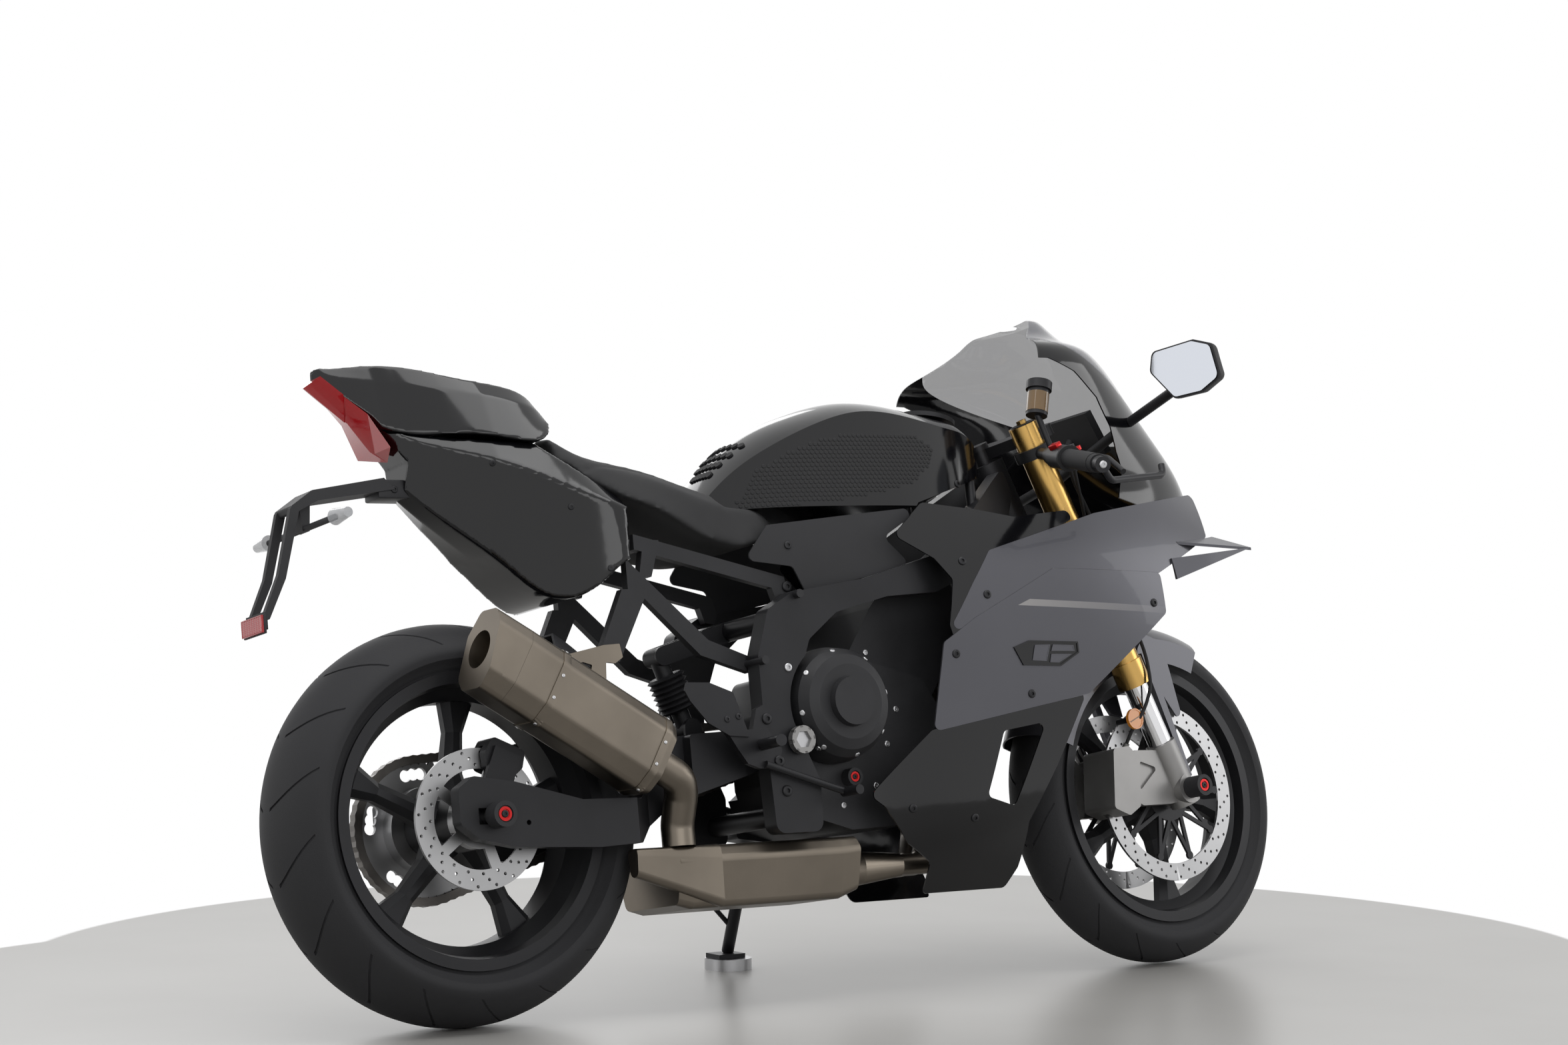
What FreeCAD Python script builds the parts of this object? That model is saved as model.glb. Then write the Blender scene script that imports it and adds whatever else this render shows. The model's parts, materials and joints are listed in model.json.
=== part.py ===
import FreeCAD, Part
import math
import os

# A fully faired sport motorcycle that leans on its side stand, whose foot rests on a round aluminium block.
# It is drawn upright in a bike frame in millimetres: +X forward, +Y to the rider's left, +Z up, with the
# rear axle above x = 0 and the ground at z = 0. The steered parts are drawn in a steering frame and turned
# into the bike frame. At the end everything leans and moves to the middle of its footprint.

V = FreeCAD.Vector

# Driving dimensions
WHEELBASE = 1420.0
RAKE = 22.6
TRAIL = 94.0
LEAN = 9.3
STEER_REST = 4.4
OVERRUN = 20.0
SEAT_GAP = 0.3
FIT = 0.08

# Wheels and tyres
REAR_RADIUS = 315.0
REAR_TYRE_HALF = 90.0
REAR_CROWN_DROP = 50.0
REAR_RIM_HALF = 70.0
FRONT_RADIUS = 300.0
FRONT_TYRE_HALF = 60.0
FRONT_CROWN_DROP = 36.0
FRONT_RIM_HALF = 45.0
BEAD_RADIUS = 218.5
FLANGE_HEIGHT = 13.0
FLANGE_THICK = 6.0
RIM_WALL = 5.0
WELL_RADIUS = 196.0
WELL_HALF_SHARE = 0.42
SPOKE_COUNT = 5
SPOKE_ROOT_WIDTH = 52.0
SPOKE_WAIST_WIDTH = 30.0
SPOKE_TIP_WIDTH = 58.0
SPOKE_DEPTH = 34.0
SPOKE_TURN = 6.0
HUB_RADIUS = 46.0
REAR_HUB_HALF = 72.0
AXLE_RADIUS = 12.5
AXLE_BORE_RADIUS = 8.0

# Brake discs
FRONT_DISC_RADIUS = 160.0
FRONT_DISC_INNER = 129.0
FRONT_DISC_OFFSET = 66.0
REAR_DISC_RADIUS = 110.0
REAR_DISC_INNER = 78.0
REAR_DISC_OFFSET = 88.0
DISC_THICK = 5.0
FRONT_HUB_HALF = FRONT_DISC_OFFSET - DISC_THICK / 2 - SEAT_GAP
CARRIER_ARMS = 10
CARRIER_HUB_RADIUS = 52.0

# Final drive
CHAIN_PITCH = 15.875
REAR_TEETH = 45
FRONT_TEETH = 16
CHAIN_OFFSET = 105.0
CHAIN_WIDTH = 18.0
CHAIN_PLATE_HALF = 7.2
CHAIN_WAIST_HALF = 5.6
SPROCKET_THICK = 7.0
OUTPUT_FORWARD = 80.0
OUTPUT_RISE = 19.0

# Swingarm
PIVOT_X = 560.0
PIVOT_Z = 411.0
PIVOT_TUBE_RADIUS = 27.0
ARM_INNER = 119.0
ARM_THICK = 26.0
ARM_REAR_REACH = 62.0
CROSS_MEMBER_REAR = 378.0

# Steering frame: s runs up the steering axis from the ground, n runs square to it, forward
FORK_OFFSET = 28.5
FORK_HALF = 100.0
TOP_YOKE = 994.0
TOP_YOKE_THICK = 20.0
FORK_ABOVE_YOKE = 16.0
FORK_TOP = TOP_YOKE + TOP_YOKE_THICK + FORK_ABOVE_YOKE
LOWER_YOKE = 766.0
LOWER_YOKE_THICK = 30.0
OUTER_TUBE_RADIUS = 27.0
OUTER_TUBE_BOTTOM = 520.0
INNER_TUBE_RADIUS = 21.5
LUG_RADIUS = 27.5
LUG_HEIGHT = 92.0
STEM_RADIUS = 17.0
STEM_BORE_RADIUS = 8.5
HEAD_TUBE_RADIUS = 34.0
HEAD_CLEARANCE = 6.0

# Bars
BAR_HALF = 350.0
BAR_BELOW_YOKE = 17.0
BAR_S = TOP_YOKE - BAR_BELOW_YOKE
BAR_DROP = 33.0
BAR_SWEEP = 100.0
BAR_RADIUS = 11.0
GRIP_RADIUS = 17.0
GRIP_LENGTH = 118.0

# Side stand and the block below it
STAND_PIVOT_X = 668.0
STAND_PIVOT_Y = 168.0
STAND_PIVOT_Z = 282.0
PUCK_X = 734.0
PUCK_Y = 378.0
PUCK_RADIUS = 42.0
PUCK_HEIGHT = 20.0

# Wall of the moulded panels
WALL = 3.0

REAR_AXLE_Z = REAR_RADIUS
FRONT_AXLE_Z = FRONT_RADIUS
GROUND_X = WHEELBASE + TRAIL


def steering_point(n, y, s):
    """A point given in the steering frame, in the bike frame."""
    rake = math.radians(RAKE)
    return V(
        GROUND_X - s * math.sin(rake) + n * math.cos(rake),
        y,
        s * math.cos(rake) + n * math.sin(rake),
    )


def steering_coordinates(x, z):
    """(n, s) of a bike-frame point in the plane of symmetry."""
    rake = math.radians(RAKE)
    dx = x - GROUND_X
    return (
        dx * math.cos(rake) + z * math.sin(rake),
        z * math.cos(rake) - dx * math.sin(rake),
    )


AXLE_N, AXLE_S = steering_coordinates(WHEELBASE, FRONT_AXLE_Z)


def from_steering(shape):
    """Turns a shape drawn with X forward and Z along the steering axis into the bike frame."""
    moved = shape.copy()
    moved.rotate(V(0, 0, 0), V(0, 1, 0), -RAKE)
    moved.translate(V(GROUND_X, 0, 0))
    return moved


def rounded_wire(points, corner):
    """Closed wire through points of one plane, each corner rounded to the radius that its runs allow."""
    count = len(points)
    joints = []
    for i, point in enumerate(points):
        back = points[i - 1] - point
        ahead = points[(i + 1) % count] - point
        room = min(back.Length, ahead.Length) * 0.48
        back.normalize()
        ahead.normalize()
        half = back.getAngle(ahead) / 2
        if corner <= 0 or half < 0.05 or half > 1.55:
            joints.append((point, None, point))
            continue
        reach = min(corner / math.tan(half), room)
        radius = reach * math.tan(half)
        bisector = back + ahead
        bisector.normalize()
        middle = point + bisector * (math.hypot(reach, radius) - radius)
        joints.append((point + back * reach, middle, point + ahead * reach))
    edges = []
    for i, (first, middle, last) in enumerate(joints):
        if middle is not None:
            edges.append(Part.Arc(first, middle, last).toShape())
        start = joints[(i + 1) % count][0]
        if (start - last).Length > 1e-6:
            edges.append(Part.LineSegment(last, start).toShape())
    return Part.Wire(edges)


def chamfered_wire(points, cut):
    """Closed wire through points of one plane, each corner cut off straight."""
    corners = []
    count = len(points)
    for i, point in enumerate(points):
        for other in (points[i - 1], points[(i + 1) % count]):
            way = other - point
            corners.append(point + way * min(cut / way.Length, 0.45))
    return Part.makePolygon(corners + corners[:1])


def seated(piece, other, way, keep):
    """A piece cut back to a seat gap short of another, keeping the part that holds a given point."""
    near = other.copy()
    near.translate(way * SEAT_GAP)
    left = piece.cut([other, near])
    spot = Part.Vertex(keep)
    return min(left.Solids, key=lambda solid: solid.distToShape(spot)[0])


def between(shape, start, end):
    """A shape drawn up the Z axis, moved to start and turned to point at end."""
    moved = shape.copy()
    moved.Placement = FreeCAD.Placement(start, FreeCAD.Rotation(V(0, 0, 1), end - start))
    return moved


def turned(profile):
    """A solid turned about the Z axis from a profile of (radius, height)."""
    points = [V(r, 0, h) for r, h in profile]
    return Part.Face(Part.makePolygon(points + points[:1])).revolve(V(0, 0, 0), V(0, 0, 1), 360)


def largest(shape):
    """The largest solid of a shape."""
    return max(shape.Solids, key=lambda solid: solid.Volume)


def placed(box, shares):
    """Outline points (x, z) from shares of a box given as (x, z, length, height)."""
    x, z, length, height = box
    return [(x + length * u, z + height * v) for u, v in shares]


def across(points, y_low, y_high, corner=0.0):
    """A prism of a side-view outline, from y_low to y_high."""
    wire = rounded_wire([V(x, y_low, z) for x, z in points], corner)
    return Part.Face(wire).extrude(V(0, y_high - y_low, 0))


def rod(start, end, radius):
    """A round bar between two points."""
    way = end - start
    return Part.makeCylinder(radius, way.Length, start, way)


def ring(centre, outer, inner, y_low, y_high):
    """A flat ring or sleeve on an axis along Y."""
    base = V(centre.x, y_low, centre.z)
    depth = y_high - y_low
    body = Part.makeCylinder(outer, depth, base, V(0, 1, 0))
    if inner <= 0:
        return body
    return body.cut(
        Part.makeCylinder(inner, depth + OVERRUN, base - V(0, OVERRUN / 2, 0), V(0, 1, 0))
    )


def revolved(profile, centre):
    """A ring turned about the axis along Y through centre, from a closed profile of (y, radius)."""
    wire = Part.makePolygon([V(centre.x, y, centre.z + r) for y, r in profile + profile[:1]])
    return Part.Face(wire).revolve(centre, V(0, 1, 0), 360)


def pipe(points, radius, bend):
    """A round bar along straight runs joined by arcs."""
    edges = []
    last = points[0]
    for before, point, after in zip(points, points[1:], points[2:]):
        back = before - point
        ahead = after - point
        room = min(back.Length, ahead.Length) * 0.48
        back.normalize()
        ahead.normalize()
        half = back.getAngle(ahead) / 2
        reach = min(bend / math.tan(half), room)
        arc_radius = reach * math.tan(half)
        bisector = back + ahead
        bisector.normalize()
        first = point + back * reach
        middle = point + bisector * (math.hypot(reach, arc_radius) - arc_radius)
        final = point + ahead * reach
        edges.append(Part.LineSegment(last, first).toShape())
        edges.append(Part.Arc(first, middle, final).toShape())
        last = final
    edges.append(Part.LineSegment(last, points[-1]).toShape())
    path = Part.Wire(edges)
    way = points[1] - points[0]
    circle = Part.Wire([Part.makeCircle(radius, points[0], way)])
    return path.makePipeShell([circle], True, False)


def mirrored(shape):
    """The same shape on the other side of the bike."""
    return shape.mirror(V(0, 0, 0), V(0, 1, 0))


def both(shape):
    """A shape and its mirror image, as separate solids."""
    return Part.Compound(shape.Solids + mirrored(shape).Solids)


def sheet(columns, wall):
    """A curved wall: a surface through columns of points, thickened towards the middle of the bike."""
    surface = Part.BSplineSurface()
    surface.interpolate(columns)
    return surface.toShape().extrude(V(0, wall, 0))


# Wheels
REAR_CENTRE = V(0, 0, REAR_AXLE_Z)
FRONT_CENTRE = V(WHEELBASE, 0, FRONT_AXLE_Z)
TYRE_CROWN_STEPS = 4
TYRE_STEPS = 96
FLANGE_LIFT = 5.0


def tyre_profile(radius, half, drop, rim_half):
    """Half of a tyre's outline as (y, radius): from the crown's middle round the side wall to the bead."""
    crown = (half * half + drop * drop) / (2 * drop)
    edge = math.asin(half / crown)
    foot = BEAD_RADIUS + FLANGE_HEIGHT + FLANGE_LIFT
    bead = rim_half - SEAT_GAP
    points = []
    for i in range(TYRE_CROWN_STEPS // 2 + 1):
        angle = edge * i / (TYRE_CROWN_STEPS / 2)
        points.append((crown * math.sin(angle), radius - crown * (1 - math.cos(angle))))
    return points + [(bead, foot), (bead, BEAD_RADIUS + SEAT_GAP)]


def stepped_ring(profile, centre, steps):
    """A ring about the axis along Y through centre, in flat steps round it, from a closed profile of (y, radius)."""
    rows = []
    for i in range(steps):
        turn = math.tau * (i + 0.5) / steps
        rows.append([centre + V(r * math.cos(turn), y, r * math.sin(turn)) for y, r in profile])
    faces = []
    for here, there in zip(rows, rows[1:] + rows[:1]):
        for j in range(len(profile)):
            corners = [here[j - 1], here[j], there[j], there[j - 1]]
            faces.append(Part.Face(Part.makePolygon(corners + corners[:1])))
    skin = Part.Compound(faces)
    skin.sewShape()
    solid = Part.Solid(skin.Shells[0])
    if solid.Volume < 0:
        solid.reverse()
    return solid


def tyre(centre, radius, half, drop, rim_half):
    """A tyre as a solid ring: round crown, side walls and beads on the rim."""
    right = tyre_profile(radius, half, drop, rim_half)
    left = [(-y, r) for y, r in reversed(right[1:])]
    return stepped_ring(left + right, centre, TYRE_STEPS)


def rim_barrel(centre, rim_half):
    """The wheel's rim: bead seats, flanges and the drop centre, with a thin wall."""
    flange = BEAD_RADIUS + FLANGE_HEIGHT
    outer = rim_half + FLANGE_THICK
    well = rim_half * WELL_HALF_SHARE
    seat_end = rim_half - FLANGE_HEIGHT
    inner_wall = RIM_WALL
    profile = [
        (-outer, flange),
        (-rim_half, flange),
        (-rim_half, BEAD_RADIUS),
        (-seat_end, BEAD_RADIUS),
        (-well, WELL_RADIUS),
        (well, WELL_RADIUS),
        (seat_end, BEAD_RADIUS),
        (rim_half, BEAD_RADIUS),
        (rim_half, flange),
        (outer, flange),
        (outer, BEAD_RADIUS - inner_wall),
        (seat_end, BEAD_RADIUS - inner_wall * 2),
        (well, WELL_RADIUS - inner_wall),
        (-well, WELL_RADIUS - inner_wall),
        (-seat_end, BEAD_RADIUS - inner_wall * 2),
        (-outer, BEAD_RADIUS - inner_wall),
    ]
    return revolved(profile, centre)


def spoke(centre, hub_half, angle):
    """One cast spoke: a waisted, rounded bar from the hub to the rim, leaning a little round the wheel."""
    tip = WELL_RADIUS - RIM_WALL / 2
    stations = [
        (HUB_RADIUS * 0.7, SPOKE_ROOT_WIDTH, hub_half * 1.1, 0.0),
        (HUB_RADIUS * 1.7, SPOKE_WAIST_WIDTH * 1.15, SPOKE_DEPTH * 1.3, 0.3),
        (tip * 0.74, SPOKE_WAIST_WIDTH, SPOKE_DEPTH, 0.8),
        (tip, SPOKE_TIP_WIDTH, SPOKE_DEPTH * 1.1, 1.0),
    ]
    wires = []
    for radius, width, depth, share in stations:
        corner = min(width, depth) * 0.32
        y, x = depth / 2, width / 2
        corners = [V(-x, -y, radius), V(x, -y, radius), V(x, y, radius), V(-x, y, radius)]
        wire = chamfered_wire(corners, corner)
        wire.rotate(V(0, 0, 0), V(0, 1, 0), SPOKE_TURN * share)
        wires.append(wire)
    bar = Part.makeLoft(wires, True, True)
    bar.rotate(V(0, 0, 0), V(0, 1, 0), angle)
    bar.translate(centre)
    return bar


def wheel(centre, rim_half, hub_half, turn):
    """A cast wheel: rim, hub and spokes in one piece, bored for its axle."""
    spacing = 360.0 / SPOKE_COUNT
    bore = AXLE_RADIUS + FIT
    body = rim_barrel(centre, rim_half)
    hub = ring(centre, HUB_RADIUS, bore, -hub_half, hub_half)
    spokes = [spoke(centre, hub_half, turn + spacing * i) for i in range(SPOKE_COUNT)]
    body = body.fuse([hub] + spokes)
    return body.cut(ring(centre, bore, 0, -hub_half - OVERRUN, hub_half + OVERRUN)).removeSplitter()


def front_rotors():
    """The two steel rings of the front brake."""
    half = DISC_THICK / 2
    rings = []
    for side in (-1, 1):
        middle = side * FRONT_DISC_OFFSET
        rings.append(ring(FRONT_CENTRE, FRONT_DISC_RADIUS, FRONT_DISC_INNER, middle - half, middle + half))
    return Part.Compound(rings)


REAR_ROTOR_ARMS = 5
REAR_ROTOR_ARM_WIDTH = 18.0
REAR_ROTOR_BORE = 30.0


def rear_rotor():
    """The rear brake disc: a ring on five arms, with a deep centre that stands on the hub."""
    outer = -REAR_DISC_OFFSET - DISC_THICK / 2
    inner = outer + DISC_THICK
    half = REAR_ROTOR_ARM_WIDTH / 2
    body = ring(REAR_CENTRE, REAR_DISC_RADIUS, REAR_DISC_INNER, outer, inner)
    hub = ring(REAR_CENTRE, HUB_RADIUS, REAR_ROTOR_BORE, outer, -REAR_HUB_HALF - SEAT_GAP)
    reach = (REAR_DISC_INNER + REAR_DISC_RADIUS) / 2
    low = (REAR_ROTOR_BORE + HUB_RADIUS) / 2
    arms = []
    for i in range(REAR_ROTOR_ARMS):
        arm = Part.makeBox(reach - low, DISC_THICK, REAR_ROTOR_ARM_WIDTH, V(low, outer, -half))
        arm.rotate(V(0, 0, 0), V(0, 1, 0), i * 360.0 / REAR_ROTOR_ARMS)
        arm.translate(REAR_CENTRE)
        arms.append(arm)
    return body.fuse([hub] + arms).removeSplitter()


BUTTON_RADIUS = 7.0
CARRIER_ARM_WIDTH = 11.0


def front_carrier(side):
    """The aluminium centre of a floating front disc: a hub ring with slim arms out to round buttons."""
    low = side * FRONT_DISC_OFFSET - DISC_THICK / 2
    hub = ring(FRONT_CENTRE, CARRIER_HUB_RADIUS, AXLE_RADIUS * 2.4, low, low + DISC_THICK)
    pieces = []
    reach = FRONT_DISC_INNER - SEAT_GAP
    for i in range(CARRIER_ARMS):
        for lean in (-1, 1):
            foot = math.radians(i * 360.0 / CARRIER_ARMS + lean * 16.0)
            head = math.radians(i * 360.0 / CARRIER_ARMS)
            a = V(math.cos(foot), 0, math.sin(foot)) * (CARRIER_HUB_RADIUS - CARRIER_ARM_WIDTH / 2)
            b = V(math.cos(head), 0, math.sin(head)) * (reach - BUTTON_RADIUS)
            along = b - a
            along.normalize()
            aside = V(-along.z, 0, along.x) * (CARRIER_ARM_WIDTH / 3)
            corners = [a - aside, b - aside, b + aside, a + aside]
            pieces.append(
                across([(FRONT_CENTRE.x + p.x, FRONT_CENTRE.z + p.z) for p in corners], low, low + DISC_THICK)
            )
        button = V(math.cos(head), 0, math.sin(head)) * (reach - BUTTON_RADIUS)
        pieces.append(ring(FRONT_CENTRE + button, BUTTON_RADIUS, 0, low, low + DISC_THICK))
    return hub.fuse(pieces).removeSplitter()


# Swingarm, drive and rear brake
OUTPUT_X = PIVOT_X + OUTPUT_FORWARD
OUTPUT_Z = PIVOT_Z + OUTPUT_RISE
REAR_PITCH_RADIUS = CHAIN_PITCH / 2 / math.sin(math.pi / REAR_TEETH)
FRONT_PITCH_RADIUS = CHAIN_PITCH / 2 / math.sin(math.pi / FRONT_TEETH)
TOOTH_CLEARANCE = 1.0
SPROCKET_HUB_RADIUS = 60.0
SPROCKET_SLOTS = 5
CUSH_RADIUS = 68.0


def chain_point(distance):
    """Point (x, z) and outward normal at a distance along the chain's pitch line, from the top run's rear end."""
    gap_x, gap_z = OUTPUT_X, OUTPUT_Z - REAR_AXLE_Z
    span = math.hypot(gap_x, gap_z)
    tilt = math.atan2(gap_z, gap_x)
    cone = math.asin((REAR_PITCH_RADIUS - FRONT_PITCH_RADIUS) / span)
    run = span * math.cos(cone)
    up = math.pi / 2 + tilt + cone - 2 * cone
    top = tilt + math.pi / 2 - cone
    bottom = tilt - math.pi / 2 + cone
    front_wrap = FRONT_PITCH_RADIUS * (math.pi - 2 * cone)
    rear_wrap = REAR_PITCH_RADIUS * (math.pi + 2 * cone)
    total = 2 * run + front_wrap + rear_wrap
    d = distance % total
    normal = V(math.cos(top), 0, math.sin(top))
    start = V(0, 0, REAR_AXLE_Z) + normal * REAR_PITCH_RADIUS
    ahead = V(normal.z, 0, -normal.x)
    if d < run:
        return start + ahead * d, normal
    d -= run
    if d < front_wrap:
        angle = top - d / FRONT_PITCH_RADIUS
        out = V(math.cos(angle), 0, math.sin(angle))
        return V(OUTPUT_X, 0, OUTPUT_Z) + out * FRONT_PITCH_RADIUS, out
    d -= front_wrap
    normal = V(math.cos(bottom), 0, math.sin(bottom))
    if d < run:
        back = V(normal.z, 0, -normal.x)
        return V(OUTPUT_X, 0, OUTPUT_Z) + normal * FRONT_PITCH_RADIUS + back * d, normal
    d -= run
    angle = bottom - d / REAR_PITCH_RADIUS
    out = V(math.cos(angle), 0, math.sin(angle))
    return V(0, 0, REAR_AXLE_Z) + out * REAR_PITCH_RADIUS, out


def chain_length():
    """Length of the chain's pitch line."""
    span = math.hypot(OUTPUT_X, OUTPUT_Z - REAR_AXLE_Z)
    cone = math.asin((REAR_PITCH_RADIUS - FRONT_PITCH_RADIUS) / span)
    return (
        2 * span * math.cos(cone)
        + FRONT_PITCH_RADIUS * (math.pi - 2 * cone)
        + REAR_PITCH_RADIUS * (math.pi + 2 * cone)
    )


def chain():
    """The drive chain as one closed band, its edges waved by the links' waists."""
    links = round(chain_length() / CHAIN_PITCH)
    step = chain_length() / links
    outer, inner = [], []
    for i in range(links * 2):
        point, out = chain_point(i * step / 2)
        half = CHAIN_PLATE_HALF if i % 2 == 0 else CHAIN_WAIST_HALF
        outer.append(point + out * half)
        if i % 2 == 0:
            inner.append(point - out * CHAIN_PLATE_HALF)
    low = CHAIN_OFFSET - CHAIN_WIDTH / 2

    def band(points):
        at = [V(p.x, low, p.z) for p in points]
        return Part.Face(Part.makePolygon(at + at[:1])).extrude(V(0, CHAIN_WIDTH, 0))

    loop = band(outer).cut(band(inner))
    groove_low = CHAIN_OFFSET - SPROCKET_THICK / 2 - TOOTH_CLEARANCE
    groove_depth = SPROCKET_THICK + 2 * TOOTH_CLEARANCE
    groove = []
    for i in range(links):
        point, out = chain_point(i * step)
        groove.append(V(point.x, groove_low, point.z) - out * TOOTH_CLEARANCE)
    slot = Part.Face(Part.makePolygon(groove + groove[:1])).extrude(V(0, groove_depth, 0))
    return loop.cut(slot)


def toothed_disc(x, z, teeth, y_low, thick):
    """A sprocket blank whose teeth reach just short of the chain's rollers."""
    pitch = CHAIN_PITCH / 2 / math.sin(math.pi / teeth)
    tip = pitch - TOOTH_CLEARANCE * 2
    root = tip - CHAIN_PLATE_HALF
    points = []
    for i in range(teeth):
        for share, radius in ((0.0, root), (0.3, tip), (0.7, tip)):
            angle = 2 * math.pi * (i + share) / teeth
            points.append((x + radius * math.cos(angle), z + radius * math.sin(angle)))
    return across(points, y_low, y_low + thick)


def rear_sprocket():
    """The rear sprocket with long slots between its bolts, and the cush drive behind it."""
    low = CHAIN_OFFSET - SPROCKET_THICK / 2
    plate = toothed_disc(0, REAR_AXLE_Z, REAR_TEETH, low, SPROCKET_THICK)
    slots = []
    middle = (SPROCKET_HUB_RADIUS + REAR_PITCH_RADIUS) / 2 + CHAIN_PLATE_HALF / 2
    for i in range(SPROCKET_SLOTS):
        for j in range(3):
            angle = 2 * math.pi * (i + 0.2 + j * 0.12) / SPROCKET_SLOTS
            centre = V(middle * math.cos(angle), 0, REAR_AXLE_Z + middle * math.sin(angle))
            slots.append(ring(centre, CHAIN_PITCH * 0.62, 0, low - OVERRUN, low + OVERRUN))
    plate = plate.cut(slots)
    drum = ring(REAR_CENTRE, CUSH_RADIUS, 0, REAR_HUB_HALF + SEAT_GAP, low)
    bore = ring(REAR_CENTRE, AXLE_RADIUS + FIT, 0, 0, CHAIN_OFFSET + OVERRUN)
    return plate.fuse(drum).cut(bore)


ARM_SHARES = [
    (0.000, 0.26), (0.000, 0.56), (0.050, 0.66), (0.180, 0.60), (0.400, 0.42), (0.620, 0.41), (0.780, 0.96),
    (1.000, 1.00), (1.000, 0.58), (0.860, 0.46), (0.720, 0.28), (0.600, 0.02), (0.450, 0.00), (0.180, 0.04),
    (0.060, 0.12),
]
ARM_FRONT = 482.0
ARM_BASE = 258.0
SPOOL_X = 56.0
SPOOL_Z = 302.0
SPOOL_HOLE_RADIUS = 4.0
SPOOL_HOLE_DEPTH = 16.0
CROSS_HEIGHT_SHARES = [(0.0, 0.00), (1.0, 0.46), (1.0, 1.0), (0.0, 0.94)]
LUG_HALF = 112.0
CROSS_DROP = 78.0
PIVOT_HALF_SHARE = 0.93
RIGHT_ARM_PLAN_SHARES = [(0.0, 0.0), (0.58, 0.0), (0.67, 1.0), (1.0, 1.0)]
ARM_STEP = 48.0


def swingarm_arm(side):
    """One arm of the swingarm: straight on the chain side, stepped inward ahead of the tyre on the other."""
    length = ARM_FRONT + ARM_REAR_REACH
    outline = placed((-ARM_REAR_REACH, ARM_BASE, length, PIVOT_Z + PIVOT_TUBE_RADIUS - ARM_BASE), ARM_SHARES)
    if side > 0:
        arm = across(outline, ARM_INNER, ARM_INNER + ARM_THICK, ARM_THICK / 3)
    else:
        outer = ARM_INNER + ARM_THICK
        line = [(-ARM_REAR_REACH + length * u, -outer + ARM_STEP * v) for u, v in RIGHT_ARM_PLAN_SHARES]
        loop = line + [(x, y + ARM_THICK) for x, y in reversed(line)]
        plan = Part.Face(Part.makePolygon([V(x, y, 0) for x, y in loop + loop[:1]])).extrude(V(0, 0, PIVOT_Z * 2))
        arm = across(outline, -outer, 0, ARM_THICK / 3).common(plan)
    slot = [(-2.4, -1), (2.4, -1), (2.4, 1), (-2.4, 1)]
    reach = AXLE_RADIUS + FIT
    corners = [(AXLE_RADIUS * u, REAR_AXLE_Z + reach * v) for u, v in slot]
    return arm.cut(across(corners, -PIVOT_X, PIVOT_X))


def swingarm():
    """The aluminium swingarm: two arms, a cross member ahead of the tyre and the pivot tube."""
    low = PIVOT_Z - CROSS_DROP
    box = (CROSS_MEMBER_REAR, low, PIVOT_X - CROSS_MEMBER_REAR, PIVOT_Z + PIVOT_TUBE_RADIUS - low)
    outline = placed(box, CROSS_HEIGHT_SHARES)
    wide = Part.makeBox(ARM_FRONT - CROSS_MEMBER_REAR, ARM_INNER * 2 + ARM_THICK, PIVOT_Z * 2, V(CROSS_MEMBER_REAR, -ARM_INNER, 0))
    narrow = Part.makeBox(PIVOT_X, LUG_HALF * 2, PIVOT_Z * 2, V(CROSS_MEMBER_REAR, -LUG_HALF, 0))
    cross = across(outline, -ARM_INNER - ARM_THICK, ARM_INNER + ARM_THICK, ARM_THICK / 4).common(wide.fuse(narrow))
    pivot = V(PIVOT_X, 0, PIVOT_Z)
    tube = ring(pivot, PIVOT_TUBE_RADIUS, 0, -LUG_HALF, LUG_HALF)
    clevis = shock_clevis(SHOCK_FOOT, V(SHOCK_FOOT.x, 0, SHOCK_FOOT.z - PIVOT_TUBE_RADIUS), SHOCK_EYE_RADIUS)
    body = swingarm_arm(-1).fuse([swingarm_arm(1), cross, tube] + clevis)
    outer = ARM_INNER + ARM_THICK
    spools = [
        Part.makeCylinder(SPOOL_HOLE_RADIUS, SPOOL_HOLE_DEPTH, V(SPOOL_X, side * (outer - SPOOL_HOLE_DEPTH), SPOOL_Z), V(0, side, 0))
        for side in (-1, 1)
    ]
    return body.cut([ring(pivot, AXLE_RADIUS + FIT, 0, -PIVOT_X, PIVOT_X)] + spools).removeSplitter()


def swingarm_pivot():
    """The pivot shaft through the frame and the swingarm, with its nuts."""
    half = SPAR_HALF * PIVOT_HALF_SHARE
    shaft = ring(V(PIVOT_X, 0, PIVOT_Z), AXLE_RADIUS, 0, -half, half)
    heads = [ring(V(PIVOT_X, 0, PIVOT_Z), AXLE_RADIUS * 1.3, 0, y, y + AXLE_RADIUS) for y in (-half - AXLE_RADIUS, half)]
    return shaft.fuse(heads)


SPROCKET_HUB = 24.0


def front_sprocket():
    """The sprocket on the gearbox shaft, with its hub against the engine."""
    low = CHAIN_OFFSET - SPROCKET_THICK / 2
    plate = toothed_disc(OUTPUT_X, OUTPUT_Z, FRONT_TEETH, low, SPROCKET_THICK)
    hub = ring(V(OUTPUT_X, 0, OUTPUT_Z), SPROCKET_HUB, 0, CHAIN_ROOM_LOW + SEAT_GAP, CHAIN_OFFSET + SPROCKET_THICK)
    return plate.fuse(hub)


CHAIN_ROOM = 9.0
CHAIN_ROOM_SHARES = [(0.0, 1.0), (-2.0, 1.0), (-2.0, -2.0), (-0.7, -1.6), (0.2, -0.95)]
CHAIN_ROOM_LOW = CHAIN_OFFSET - CHAIN_WIDTH / 2 - CHAIN_ROOM


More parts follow.
